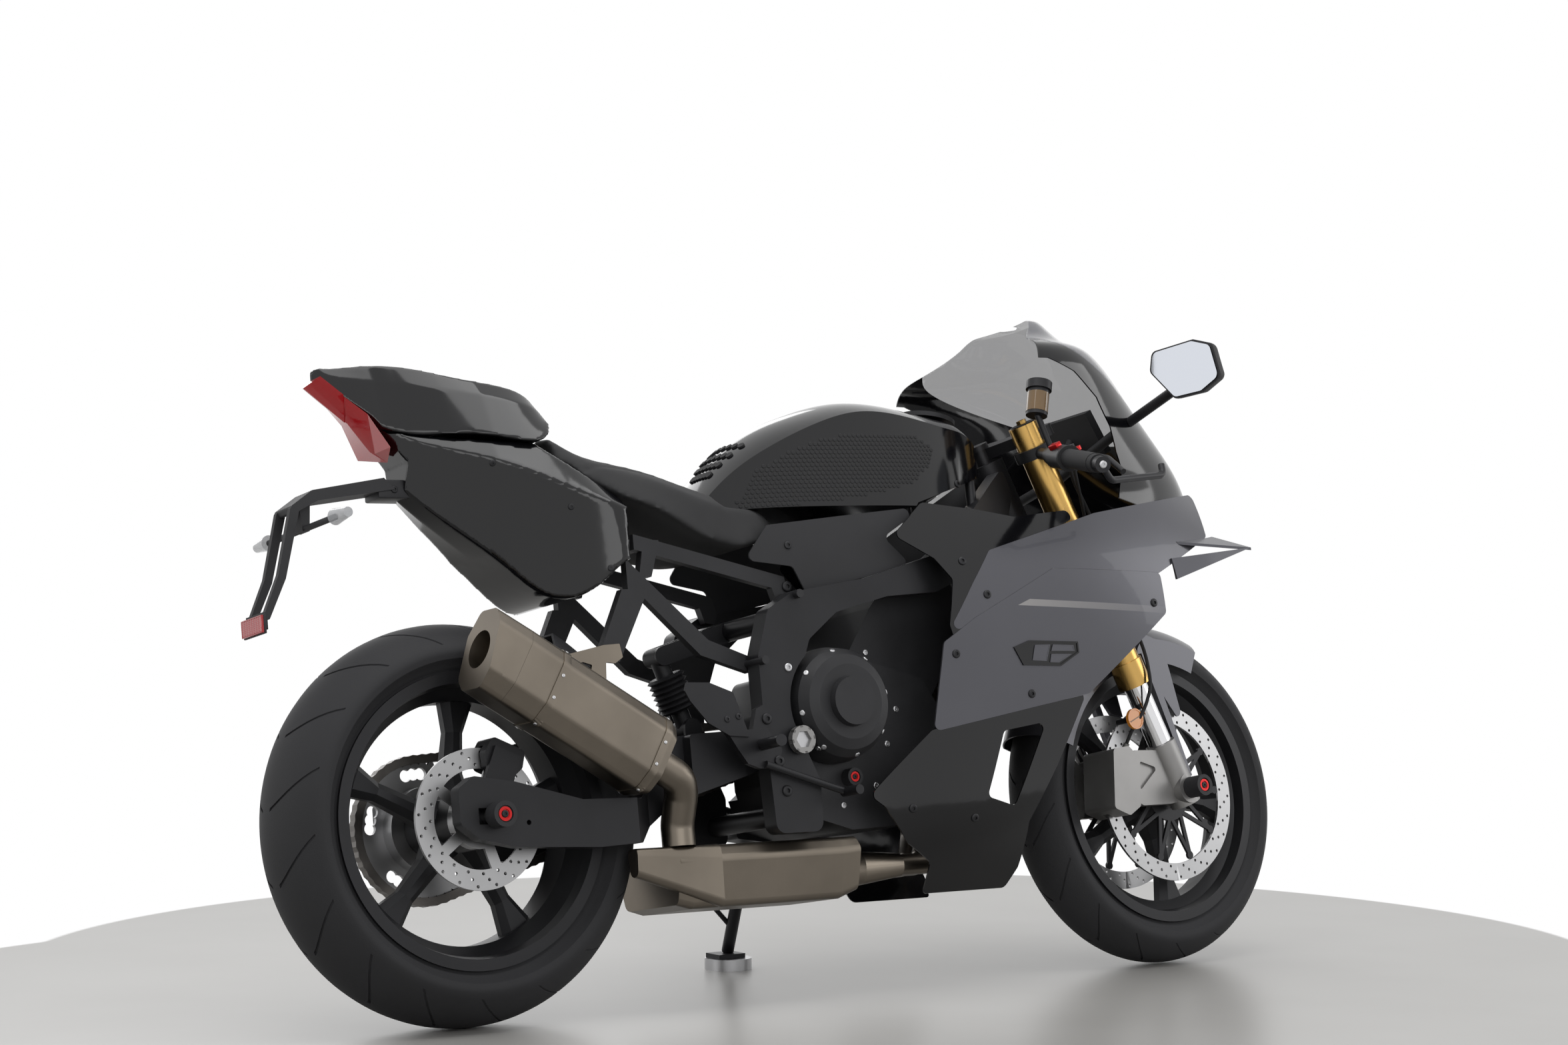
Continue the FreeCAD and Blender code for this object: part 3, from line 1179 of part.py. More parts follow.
def front_fender():
    """The front mudguard: a curved shell over the tyre with side skirts to the fork."""
    drop = FRONT_CROWN_DROP + FENDER_GAP

    def at(y, r):
        return V(0, y, r)

    def profile(grow):
        top = FRONT_RADIUS + FENDER_GAP + grow
        side = FENDER_HALF + grow
        shoulder = FRONT_RADIUS - drop * 0.4
        return top, side, shoulder

    top, side, shoulder = profile(FENDER_WALL)
    top_in, side_in, shoulder_in = profile(0)
    skirt = FRONT_RADIUS - FENDER_SKIRT
    edges = [
        Part.Arc(at(-side, shoulder), at(0, top), at(side, shoulder)).toShape(),
        Part.LineSegment(at(side, shoulder), at(side, skirt)).toShape(),
        Part.LineSegment(at(side, skirt), at(side_in, skirt)).toShape(),
        Part.LineSegment(at(side_in, skirt), at(side_in, shoulder_in)).toShape(),
        Part.Arc(at(side_in, shoulder_in), at(0, top_in), at(-side_in, shoulder_in)).toShape(),
        Part.LineSegment(at(-side_in, shoulder_in), at(-side_in, skirt)).toShape(),
        Part.LineSegment(at(-side_in, skirt), at(-side, skirt)).toShape(),
        Part.LineSegment(at(-side, skirt), at(-side, shoulder)).toShape(),
    ]
    face = Part.Face(Part.Wire(edges))
    face.rotate(V(0, 0, 0), V(0, 1, 0), FENDER_FRONT)
    shell = face.revolve(V(0, 0, 0), V(0, 1, 0), -FENDER_FRONT - FENDER_REAR)
    shell.translate(FRONT_CENTRE)
    axle = V(AXLE_N, 0, AXLE_S)
    disc_side = FRONT_DISC_OFFSET + DISC_THICK / 2 + BLADE_CLEARANCE
    disc_room = ring(axle, FRONT_DISC_RADIUS + BLADE_CLEARANCE, 0, -disc_side, 0)
    tyre_room = ring(axle, skirt, 0, -FENDER_HALF - FENDER_WALL, 0)
    blade = across(placed(FENDER_BOX, BLADE_SHARES), -BLADE_OUT, -FENDER_HALF, FENDER_GAP).cut([disc_room, tyre_room])
    leg = across(placed(FENDER_BOX, LEG_SHARES), -LEG_OUT, -BLADE_OUT + FENDER_WALL / 2)
    lug = Part.makeCylinder(LUG_RADIUS + SEAT_GAP, LUG_HEIGHT + LUG_RADIUS * 2, V(FORK_OFFSET, -FORK_HALF, AXLE_S - LUG_RADIUS))
    side = from_steering(largest(blade).fuse(largest(leg.cut(lug))))
    return shell.fuse([side, mirrored(side)]).removeSplitter()


# Rear shock, hugger, rear caliper and footrests
SPRING_RADIUS = 33.0
SPRING_WIRE = 6.0
SPRING_TURNS = 7


def rear_shock():
    """The rear shock between the frame and the swingarm: two eyes, a damper body and its spring."""
    span = (SHOCK_TOP - SHOCK_FOOT).Length
    low = SPRING_RADIUS
    high = span - SPRING_RADIUS
    pitch = (high - low) / SPRING_TURNS
    profile = [(0, low), (SPRING_RADIUS - SPRING_WIRE, low)]
    for i in range(SPRING_TURNS):
        profile.append((SPRING_RADIUS, low + pitch * (i + 0.5)))
        profile.append((SPRING_RADIUS - SPRING_WIRE, low + pitch * (i + 1)))
    profile.append((0, high))
    body = between(turned(profile), SHOCK_FOOT, SHOCK_TOP)
    half = SHOCK_EYE_HALF - SEAT_GAP
    eyes = [ring(eye, SHOCK_EYE_RADIUS, 0, -half, half) for eye in (SHOCK_TOP, SHOCK_FOOT)]
    neck = rod(SHOCK_FOOT, SHOCK_TOP, half)
    bores = [ring(eye, SHOCK_PIN_RADIUS + FIT, 0, -half * 2, half * 2) for eye in (SHOCK_TOP, SHOCK_FOOT)]
    cheeks = []
    for eye in (SHOCK_TOP, SHOCK_FOOT):
        for y in (-SHOCK_EYE_HALF - SHOCK_CHEEK * 6, SHOCK_EYE_HALF - SEAT_GAP):
            cheeks.append(ring(eye, SHOCK_EYE_RADIUS + SEAT_GAP, 0, y, y + SHOCK_CHEEK * 6 + SEAT_GAP))
    return largest(body.fuse([neck] + eyes).cut(bores + cheeks))


HUGGER_GAP = 21.0
HUGGER_WALL = 4.0
HUGGER_SKIRT = 30.0
HUGGER_HALF = 87.0
HUGGER_START = 22.0
HUGGER_END = 59.0
HUGGER_CORNER_SHARE = 0.68
HUGGER_LEG_BOX = (300.0, 360.0, 50.0, 80.0)
RIGHT_LEG_SHARES = [(-0.24, 0.80), (0.30, 0.95), (0.24, -0.30), (-0.24, -0.30)]
LEFT_LEG_SHARES = [(-0.30, 0.88), (0.30, 1.02), (1.04, 0.44), (1.04, 0.28), (0.60, 0.28)]
LEFT_TAB_SHARES = [(0.70, 0.29), (1.00, 0.29), (1.00, 0.44), (0.70, 0.44)]


def rear_hugger():
    """The mudguard that hugs the rear tyre ahead of its top, on legs to both arms of the swingarm."""
    top = REAR_RADIUS + HUGGER_GAP
    low = REAR_RADIUS - HUGGER_SKIRT
    flat = HUGGER_HALF * HUGGER_CORNER_SHARE
    side = top - HUGGER_GAP
    outer = [(HUGGER_HALF, low), (HUGGER_HALF, side), (flat, top + HUGGER_WALL)]
    inner = [(flat - HUGGER_WALL / 2, top), (HUGGER_HALF - HUGGER_WALL, side - HUGGER_WALL / 2), (HUGGER_HALF - HUGGER_WALL, low)]
    half = outer + [(-y, r) for y, r in reversed(outer)] + [(-y, r) for y, r in reversed(inner)] + inner
    face = Part.Face(Part.makePolygon([V(0, y, r) for y, r in half + half[:1]]))
    face.rotate(V(0, 0, 0), V(0, 1, 0), 90.0 - HUGGER_START)
    shell = face.revolve(V(0, 0, 0), V(0, 1, 0), HUGGER_START - HUGGER_END)
    shell.translate(REAR_CENTRE)
    inside = HUGGER_HALF - HUGGER_WALL
    right = across(placed(HUGGER_LEG_BOX, RIGHT_LEG_SHARES), -HUGGER_HALF, -inside)
    x, z = placed(HUGGER_LEG_BOX, RIGHT_LEG_SHARES)[0]
    right = seated(right, swingarm_arm(-1), V(0, 0, 1), V(x, -inside, z))
    left = across(placed(HUGGER_LEG_BOX, LEFT_LEG_SHARES), inside, HUGGER_HALF)
    tab = across(placed(HUGGER_LEG_BOX, LEFT_TAB_SHARES), inside, ARM_INNER - SEAT_GAP)
    return shell.fuse([right, left, tab]).removeSplitter()


REAR_CALIPER_ANGLE = 66.0
REAR_CALIPER_LENGTH = 66.0
REAR_CALIPER_DEPTH = 50.0
REAR_CALIPER_OUT = 24.0
REAR_CALIPER_IN = 21.0
REAR_PAD_CLEARANCE = 3.5
BRACKET_THICK = 9.0
BRACKET_RADIUS = 24.0


def rear_caliper():
    """The rear brake caliper over the disc's rim, on a bracket plate round the axle."""
    points = caliper_outline(0, REAR_AXLE_Z, REAR_DISC_RADIUS, REAR_CALIPER_LENGTH, REAR_CALIPER_DEPTH, REAR_CALIPER_ANGLE)
    low = -ARM_INNER + SEAT_GAP
    body = across(points, -REAR_DISC_OFFSET - REAR_CALIPER_OUT, -REAR_DISC_OFFSET + REAR_CALIPER_IN, CALIPER_CORNER)
    half = DISC_THICK / 2 + REAR_PAD_CLEARANCE
    slot = ring(REAR_CENTRE, REAR_DISC_RADIUS + REAR_PAD_CLEARANCE, 0, -REAR_DISC_OFFSET - half, -REAR_DISC_OFFSET + half)
    angle = math.radians(REAR_CALIPER_ANGLE)
    out = V(math.cos(angle), 0, math.sin(angle))
    aside = V(-out.z, 0, out.x) * BRACKET_RADIUS
    head = REAR_CENTRE + out * REAR_DISC_RADIUS
    corners = [REAR_CENTRE - aside, head - aside, head + aside, REAR_CENTRE + aside]
    plate = across([(p.x, p.z) for p in corners], low, low + BRACKET_THICK)
    plate = plate.fuse(ring(REAR_CENTRE, BRACKET_RADIUS, 0, low, low + BRACKET_THICK))
    return body.cut(slot).fuse(plate).cut(ring(REAR_CENTRE, AXLE_RADIUS + FIT, 0, low * 2, 0)).removeSplitter()


REARSET_BOX = (PIVOT_X - 165.0, PIVOT_Z - 95.0, 150.0, 160.0)
REARSET_SHARES = [
    (0.160, 0.70), (0.280, 0.52), (0.390, 0.375), (0.547, 0.32), (0.787, 0.32), (0.847, 0.506), (0.740, 0.63),
    (0.673, 0.738), (0.740, 0.838), (0.647, 0.963), (0.553, 0.925), (0.487, 0.72),
]
HEEL_SHARES = [
    (-0.320, 1.206), (-0.040, 1.200), (0.260, 1.094), (0.427, 0.64), (0.170, 0.66), (-0.087, 0.794),
    (-0.293, 1.02), (-0.353, 1.125),
]
PEG_SHARES = [(0.60, 0.56), (0.50, 0.555)]
PEDAL_SHARES = [(0.60, 0.36), (1.62, 0.045)]
REARSET_OUT = 168.0
REARSET_THICK = 12.0
HEEL_THICK = 4.0
PEG_LENGTH = 80.0
PEG_RADIUS = 9.5
PEDAL_RADIUS = 6.0
PEDAL_PAD_RADIUS = 8.0
PEDAL_TIP_LENGTH = 40.0


def footrests():
    """Both rearsets: a plate on the frame with its peg, heel guard and pedal."""
    outline = placed(REARSET_BOX, REARSET_SHARES)
    plate = across(outline, -REARSET_OUT, -REARSET_OUT + REARSET_THICK)
    x, z = outline[0]
    plate = seated(plate, frame_spar(-1), V(0, -1, 0), V(x, -REARSET_OUT, z))
    guard = across(placed(REARSET_BOX, HEEL_SHARES), -REARSET_OUT - HEEL_THICK, -REARSET_OUT)
    (foot_x, foot_z), (tip_x, tip_z) = placed(REARSET_BOX, PEG_SHARES)
    inner = -REARSET_OUT + HEEL_THICK
    peg = rod(V(foot_x, inner, foot_z), V(tip_x, inner - PEG_LENGTH, tip_z), PEG_RADIUS)
    root, tip = [V(px, -REARSET_OUT - PEDAL_RADIUS / 2, pz) for px, pz in placed(REARSET_BOX, PEDAL_SHARES)]
    pedal = rod(root, tip, PEDAL_RADIUS)
    pad = rod(tip + V(0, PEDAL_RADIUS, 0), tip - V(0, PEDAL_TIP_LENGTH, 0), PEDAL_PAD_RADIUS)
    return both(plate.fuse([guard, peg, pedal, pad]).removeSplitter())


# Exhaust
COLLECTOR_X_SHARES = [0.00, 0.08, 0.90, 1.00]
COLLECTOR_REAR = 330.0
COLLECTOR_LENGTH = 352.0
COLLECTOR_BASE = 153.0
COLLECTOR_HEIGHT = 100.0
COLLECTOR_RIGHT = 138.0
COLLECTOR_LEFT = 66.0
COLLECTOR_SIZE_SHARES = [0.92, 1.0, 1.0, 0.88]
COLLECTOR_TAIL = 78.0
COLLECTOR_TAIL_WIDTH = 36.0
PIPE_RADIUS = 27.0
HEADER_RADIUS = 18.0
HEADER_COUNT = 3
HEADER_SPACING = 62.0
MERGE_X = 800.0
SILENCER_LENGTH = 372.0
SILENCER_HEIGHT = 128.0
SILENCER_WIDTH = 94.0
SILENCER_FRONT = V(284.0, -154.0, 386.0)
SILENCER_RISE = 31.0
SILENCER_SHOULDER = 12.0
SILENCER_SPLAY = 2.0
SECTION_SHARES = [(-0.50, 0.30), (-0.30, 0.50), (0.22, 0.50), (0.50, 0.20), (0.50, -0.34), (0.28, -0.50), (-0.30, -0.50), (-0.50, -0.26)]


def collector_section(x, right, left, size):
    """One rounded cross-section of the collector: wide at the top, narrower below."""
    middle = (left - right) / 2
    wide = (left + right) / 2
    top = COLLECTOR_BASE + COLLECTOR_HEIGHT
    low = top - COLLECTOR_HEIGHT * size
    shoulder = top - COLLECTOR_HEIGHT * size * 0.22
    corners = [
        V(x, middle - wide, shoulder),
        V(x, middle - wide * 0.84, top),
        V(x, middle + wide * 0.84, top),
        V(x, middle + wide, shoulder),
        V(x, middle + wide * 0.8, low),
        V(x, middle - wide * 0.8, low),
    ]
    return rounded_wire(corners, COLLECTOR_HEIGHT * 0.14)


def collector_box():
    """The exhaust collector under the engine: a flat box with a slim tail beside the tyre."""
    wires = []
    for x_share, size in zip(COLLECTOR_X_SHARES, COLLECTOR_SIZE_SHARES):
        x = COLLECTOR_REAR + COLLECTOR_LENGTH * x_share
        wires.append(collector_section(x, COLLECTOR_RIGHT, COLLECTOR_LEFT * size, size))
    box = Part.makeLoft(wires, True, True)
    inner = COLLECTOR_TAIL_WIDTH - COLLECTOR_RIGHT
    tail = Part.makeLoft(
        [
            collector_section(COLLECTOR_REAR - COLLECTOR_TAIL, COLLECTOR_RIGHT * 0.98, inner * 1.04, 0.45),
            collector_section(COLLECTOR_REAR + COLLECTOR_TAIL, COLLECTOR_RIGHT, inner, 1.0),
        ],
        True,
        True,
    )
    return box.fuse(tail).removeSplitter()


def merge_section(x, half, height):
    """A flat rounded section of the merge ahead of the collector."""
    z = COLLECTOR_BASE + COLLECTOR_HEIGHT / 2
    y = (COLLECTOR_LEFT - COLLECTOR_RIGHT) / 2
    corners = [V(x, y - half, z - height / 2), V(x, y + half, z - height / 2), V(x, y + half, z + height / 2), V(x, y - half, z + height / 2)]
    return rounded_wire(corners, height * 0.46)


def collector_pipe():
    """The merge ahead of the collector, from the flat bundle of header pipes to the box."""
    start = COLLECTOR_REAR + COLLECTOR_LENGTH + SEAT_GAP
    stations = [
        (start, PIPE_RADIUS * 1.1, PIPE_RADIUS * 2.1),
        (start + (MERGE_X - start) * 0.5, PIPE_RADIUS * 1.1, PIPE_RADIUS * 2.1),
        (MERGE_X, HEADER_RADIUS * HEADER_COUNT * 1.05, HEADER_RADIUS * 2.2),
    ]
    return Part.makeLoft([merge_section(*station) for station in stations], True, True)


def exhaust_headers():
    """The header pipes: down the engine's front from the cylinder head and back to the merge."""
    port_x = CYLINDER_BOX[0] + CYLINDER_BOX[2] * 0.83
    port_z = CYLINDER_BOX[1] + CYLINDER_BOX[3] * 0.31
    rise = CYLINDER_BOX[3] * 0.62
    run = CYLINDER_BOX[2] * 0.34
    normal = V(rise, 0, -run)
    normal.normalize()
    middle = (COLLECTOR_LEFT - COLLECTOR_RIGHT) / 2
    z = COLLECTOR_BASE + COLLECTOR_HEIGHT / 2
    pipes = []
    for i in range(HEADER_COUNT):
        place = i - (HEADER_COUNT - 1) / 2
        top = V(port_x, place * HEADER_SPACING, port_z) + normal * SEAT_GAP
        end = V(MERGE_X + SEAT_GAP, middle + place * HEADER_RADIUS * 2.05, z)
        knee = V(ENGINE_FRONT + HEADER_RADIUS * 2.4, place * HEADER_SPACING, 0)
        points = [
            top,
            top + normal * HEADER_RADIUS * 2.4,
            V(knee.x, knee.y, port_z * 0.72),
            V(knee.x - HEADER_RADIUS, knee.y * 0.8, z + HEADER_RADIUS * 3),
            V(MERGE_X + HEADER_RADIUS * 4, end.y, z),
            end,
        ]
        pipes.append(pipe(points, HEADER_RADIUS, HEADER_RADIUS * 2))
    return Part.Compound(pipes)


def silencer_section(at, grow):
    """A rounded many-sided wire square to the silencer's axis."""
    corners = [V(0, u * SILENCER_WIDTH * grow, v * SILENCER_HEIGHT * grow) for u, v in SECTION_SHARES]
    wire = rounded_wire(corners, 16.0)
    wire.translate(V(at, 0, 0))
    return wire


def place_silencer(shape):
    """Turns a shape drawn along -X from the silencer's inlet into its place on the bike."""
    moved = shape.copy()
    moved.rotate(V(0, 0, 0), V(0, 0, 1), SILENCER_SPLAY)
    moved.rotate(V(0, 0, 0), V(0, 1, 0), SILENCER_RISE)
    moved.translate(SILENCER_FRONT)
    return moved


HANGER_BOX = (211.0, 470.0, 36.0, 95.0)
HANGER_SHARES = [
    (-0.95, -0.20), (-1.97, 0.90), (-1.97, 0.94), (0.47, 1.13), (1.30, 1.15), (1.42, 0.92), (1.0, 0.82), (0.53, 0.84),
    (0.35, -0.20),
]
HANGER_HOLE_SHARES = [(-1.17, 0.82), (-0.64, 0.85), (-0.19, 0.80), (-0.33, 0.61)]
HANGER_THICK = 5.0
RIVET_CORNER = 2.0


def silencer():
    """The silencer's can, with the drilled plate on its inner shoulder that hangs it from the subframe."""
    body = Part.makeLoft([silencer_section(0, 0.92), silencer_section(-SILENCER_SHOULDER, 1.0), silencer_section(-SILENCER_LENGTH * 0.8, 1.0)], True, True)
    low = -RAIL_HALF - SEAT_GAP - HANGER_THICK
    plate = across(placed(HANGER_BOX, HANGER_SHARES), low, low + HANGER_THICK, RIVET_CORNER)
    hole = across(placed(HANGER_BOX, HANGER_HOLE_SHARES), low - OVERRUN, low + OVERRUN, RIVET_CORNER)
    return place_silencer(body).fuse(plate.cut(hole)).removeSplitter()


CAP_REACH = 62.0
OUTLET_RADIUS = 30.0


def silencer_cap():
    """The silencer's end cap, cut upright at the back, with the outlet sunk into it."""
    start = -SILENCER_LENGTH * 0.8 - SEAT_GAP
    body = Part.makeLoft([silencer_section(start, 1.0), silencer_section(start - CAP_REACH - OVERRUN, 0.98)], True, True)
    knife = across(
        [(start - CAP_REACH * 0.45, -SILENCER_HEIGHT), (start - CAP_REACH * 1.35, SILENCER_HEIGHT), (start - CAP_REACH * 4, SILENCER_HEIGHT), (start - CAP_REACH * 4, -SILENCER_HEIGHT)],
        -SILENCER_WIDTH, SILENCER_WIDTH,
    )
    hole = Part.makeCylinder(OUTLET_RADIUS, CAP_REACH * 2, V(start - CAP_REACH * 2.2, 0, 0), V(1, 0, 0))
    return place_silencer(body.cut(knife).cut(hole))


def mid_pipe():
    """The pipe that climbs from the collector to the silencer."""
    top = COLLECTOR_BASE + COLLECTOR_HEIGHT + SEAT_GAP
    inlet = place_silencer(Part.Vertex(V(SEAT_GAP, 0, 0))).Point
    ahead = place_silencer(Part.Vertex(V(PIPE_RADIUS * 2, 0, 0))).Point
    foot = V(COLLECTOR_REAR + PIPE_RADIUS * 0.4, -COLLECTOR_RIGHT + PIPE_RADIUS * 0.75, top)
    rise = V(0, 0, PIPE_RADIUS * 1.3)
    return pipe([foot, foot + rise, V(foot.x, -COLLECTOR_RIGHT, top + PIPE_RADIUS * 3), ahead, inlet], PIPE_RADIUS, PIPE_RADIUS * 1.6)


# Tank, seat and tail: solids lofted through sections across the bike
TANK_X_SHARES = [0.00, 0.07, 0.20, 0.38, 0.52, 0.72, 0.88, 1.00]
TANK_TOP_SHARES = [0.10, 0.36, 0.68, 0.90, 1.00, 0.985, 0.92, 0.80]
TANK_CREASE_SHARES = [0.05, 0.28, 0.52, 0.74, 0.84, 0.80, 0.72, 0.60]
TANK_CREASE_HALF_SHARES = [0.30, 0.50, 0.66, 0.74, 0.78, 0.80, 0.74, 0.60]
TANK_FOOT_HALF_SHARES = [0.34, 0.56, 0.78, 0.92, 0.98, 1.00, 0.90, 0.66]
TANK_NOTCH_SHARES = [(0.64, -0.1), (0.68, 0.03), (0.86, 0.19), (1.1, 0.40), (1.1, -0.1)]
TANK_REAR = 484.0
TANK_LENGTH = 560.0
TANK_BASE = 806.0
TANK_HEIGHT = 200.0
TANK_HALF = 146.0


def fuel_tank():
    """The fuel tank: a crowned top between two shoulder creases, and flanks hollowed for the knees."""
    wires = []
    for i, x_share in enumerate(TANK_X_SHARES):
        x = TANK_REAR + TANK_LENGTH * x_share
        top = TANK_BASE + TANK_HEIGHT * TANK_TOP_SHARES[i]
        crease = TANK_BASE + TANK_HEIGHT * TANK_CREASE_SHARES[i]
        half = TANK_HALF * TANK_CREASE_HALF_SHARES[i]
        foot = TANK_HALF * TANK_FOOT_HALF_SHARES[i]
        crown = Part.Arc(V(x, -half, crease), V(x, 0, top), V(x, half, crease)).toShape()
        sides = [
            Part.LineSegment(V(x, half, crease), V(x, foot, TANK_BASE)).toShape(),
            Part.LineSegment(V(x, foot, TANK_BASE), V(x, -foot, TANK_BASE)).toShape(),
            Part.LineSegment(V(x, -foot, TANK_BASE), V(x, -half, crease)).toShape(),
        ]
        wires.append(Part.Wire([crown] + sides))
    notch = placed((TANK_REAR, TANK_BASE, TANK_LENGTH, TANK_HEIGHT), TANK_NOTCH_SHARES)
    return Part.makeLoft(wires, True, False).cut(across(notch, -TANK_HALF * 2, TANK_HALF * 2))


def section_loft(rear, length, base, height, half, table, grow=0.0):
    """A solid lofted through rounded sections. Each row of the table is (x share, low share, high share, low half share, high half share)."""
    wires = []
    for x_share, low, high, low_half, high_half in table:
        x = rear + length * x_share
        corners = [
            V(x, -half * low_half - grow, base + height * low - grow),
            V(x, half * low_half + grow, base + height * low - grow),
            V(x, half * high_half + grow, base + height * (low + (high - low) * 0.72)),
            V(x, half * high_half * 0.72, base + height * high),
            V(x, -half * high_half * 0.72, base + height * high),
            V(x, -half * high_half - grow, base + height * (low + (high - low) * 0.72)),
        ]
        wires.append(rounded_wire(corners, 0))
    return Part.makeLoft(wires, True, False)


SEAT_TABLE_SHARES = [
    (0.000, 0.720, 0.970, 0.55, 0.50), (0.115, 0.575, 0.815, 0.75, 0.62), (0.263, 0.385, 0.715, 0.95, 0.80),
    (0.370, 0.300, 0.665, 1.00, 0.86), (0.583, 0.085, 0.535, 0.95, 0.90), (0.773, 0.015, 0.450, 0.90, 0.82),
    (0.900, 0.065, 0.400, 0.82, 0.72), (1.000, 0.150, 0.300, 0.66, 0.52),
]
SEAT_LENGTH = 410.0
SEAT_HEIGHT = 200.0
SEAT_HALF = 140.0
HUMP_TABLE_SHARES = [
    (0.00, 0.735, 0.985, 0.42, 0.36), (0.21, 0.190, 0.990, 0.86, 0.62), (0.50, 0.130, 0.930, 0.95, 0.68),
    (0.77, 0.090, 0.820, 1.00, 0.70), (0.90, 0.070, 0.740, 1.00, 0.68), (1.00, 0.300, 0.500, 0.80, 0.55),
]
HUMP_LENGTH = 377.0
HUMP_HEIGHT = 136.0
HUMP_HALF = 108.0
TAIL_TABLE_SHARES = [
    (0.000, 0.952, 1.000, 0.28, 0.34), (0.110, 0.770, 0.940, 0.32, 0.50), (0.207, 0.585, 0.770, 0.38, 0.70),
    (0.413, 0.336, 0.740, 0.38, 0.77), (0.620, 0.120, 0.730, 0.48, 0.86), (0.728, 0.003, 0.700, 0.54, 0.90),
    (0.900, 0.020, 0.560, 0.85, 0.99), (1.000, 0.127, 0.460, 0.98, 1.00),
]
TAIL_REAR = -204.0
TAIL_LENGTH = 489.0
TAIL_BASE = 668.0
TAIL_HEIGHT = 354.0
TAIL_HALF = 140.0
HUMP_INSET = 14.0
HUMP_LIFT = 232.0
SEAT_INSET = 396.0
SEAT_LIFT = 67.0
HUMP_REAR = TAIL_REAR + HUMP_INSET
HUMP_BASE = TAIL_BASE + HUMP_LIFT
SEAT_REAR = TAIL_REAR + SEAT_INSET
SEAT_BASE = TAIL_BASE + SEAT_LIFT
SEAM_SHARES = [(-0.20, 1.04), (0.207, 0.702), (0.720, 0.678), (1.000, 0.425), (1.30, 0.230), (1.46, 0.185), (1.80, 0.26)]


def seam(lift):
    """Everything above the seam between the tail and what sits on it, raised by a gap."""
    line = placed((TAIL_REAR, TAIL_BASE, TAIL_LENGTH, TAIL_HEIGHT), SEAM_SHARES)
    line = [(x, z + lift) for x, z in line]
    top = TAIL_BASE + TAIL_HEIGHT * 2
    return across(line + [(line[-1][0], top), (line[0][0], top)], -TAIL_HALF * 2, TAIL_HALF * 2)


def seat():
    """The rider's saddle: high at the back, dished in the middle, narrow towards the tank."""
    body = section_loft(SEAT_REAR, SEAT_LENGTH, SEAT_BASE, SEAT_HEIGHT, SEAT_HALF, SEAT_TABLE_SHARES)
    body = body.common(seam(SEAT_GAP))
    tank = Part.makeBox(
        TANK_LENGTH, TANK_HALF * 4, TANK_HEIGHT, V(TANK_REAR - SEAT_GAP, -TANK_HALF * 2, TANK_BASE - SEAT_GAP)
    )
    hump = across([(x - SEAT_GAP, z) for x, z in hump_front()], -TAIL_HALF * 2, TAIL_HALF * 2)
    return body.cut([tank, hump])


def hump_front():
    """Side view of all that lies behind the hump's front edge."""
    edge = HUMP_REAR + HUMP_LENGTH
    top = HUMP_BASE + HUMP_HEIGHT
    return [(edge - HUMP_HEIGHT, HUMP_BASE - HUMP_HEIGHT), (edge + SEAT_GAP * 2, HUMP_BASE), (edge + SEAT_GAP * 2, top), (edge - HUMP_HEIGHT, top)]


def seat_hump():
    """The single-seat hump over the tail."""
    return section_loft(HUMP_REAR, HUMP_LENGTH, HUMP_BASE, HUMP_HEIGHT, HUMP_HALF, HUMP_TABLE_SHARES).common(seam(SEAT_GAP))


def tail_solid(grow):
    """The tail's filled form, grown at the sides and below."""
    return section_loft(TAIL_REAR, TAIL_LENGTH, TAIL_BASE, TAIL_HEIGHT, TAIL_HALF, TAIL_TABLE_SHARES, grow)


def tail_body():
    """The tail fairing under the hump, running forward and down to the subframe."""
    return tail_solid(0).cut(seam(0))


# Fairing
FAIRING_REAR = 680.0
FAIRING_LENGTH = 900.0
FAIRING_BASE = 140.0
FAIRING_HEIGHT = 720.0
FAIRING_HALF = 236.0
FAIRING_X_SHARES = [0.00, 0.16, 0.33, 0.50, 0.66, 0.80, 0.92, 1.02]
FAIRING_Z_SHARES = [0.00, 0.12, 0.28, 0.46, 0.62, 0.78, 0.92, 1.02]
FAIRING_HALF_SHARES = [
    [0.34, 0.62, 0.74, 0.80, 0.80, 0.76, 0.66, 0.58],
    [0.40, 0.66, 0.80, 0.86, 0.90, 0.86, 0.74, 0.64],
    [0.42, 0.68, 0.84, 0.92, 0.97, 0.95, 0.82, 0.70],
    [0.40, 0.64, 0.82, 0.94, 1.00, 1.00, 0.88, 0.74],
    [0.36, 0.58, 0.78, 0.92, 1.00, 0.99, 0.88, 0.72],
    [0.30, 0.50, 0.70, 0.84, 0.94, 0.93, 0.80, 0.64],
    [0.24, 0.42, 0.60, 0.74, 0.84, 0.83, 0.66, 0.50],
    [0.18, 0.34, 0.50, 0.62, 0.72, 0.70, 0.52, 0.34],
]
MAIN_PANEL_SHARES = [
    (0.147, 0.380), (0.175, 0.585), (0.245, 0.640), (0.435, 0.755), (0.705, 0.745), (0.710, 0.645),
    (0.505, 0.455),
]
LOWER_PANEL_SHARES = [
    (0.010, 0.243), (0.143, 0.384), (0.500, 0.462), (0.430, 0.290), (0.370, 0.164), (0.366, 0.060), (0.350, 0.015),
    (0.160, 0.015), (0.155, 0.085), (0.100, 0.130), (0.045, 0.216),
]
WINDOW_SHARES = [(0.262, 0.225), (0.300, 0.375), (0.400, 0.392), (0.330, 0.200)]
BAND_SHARES = [
    (0.182, 0.602), (0.250, 0.722), (0.300, 0.802), (0.570, 0.895), (0.900, 0.965), (0.880, 0.845),
    (0.700, 0.742), (0.435, 0.745), (0.245, 0.630),
]
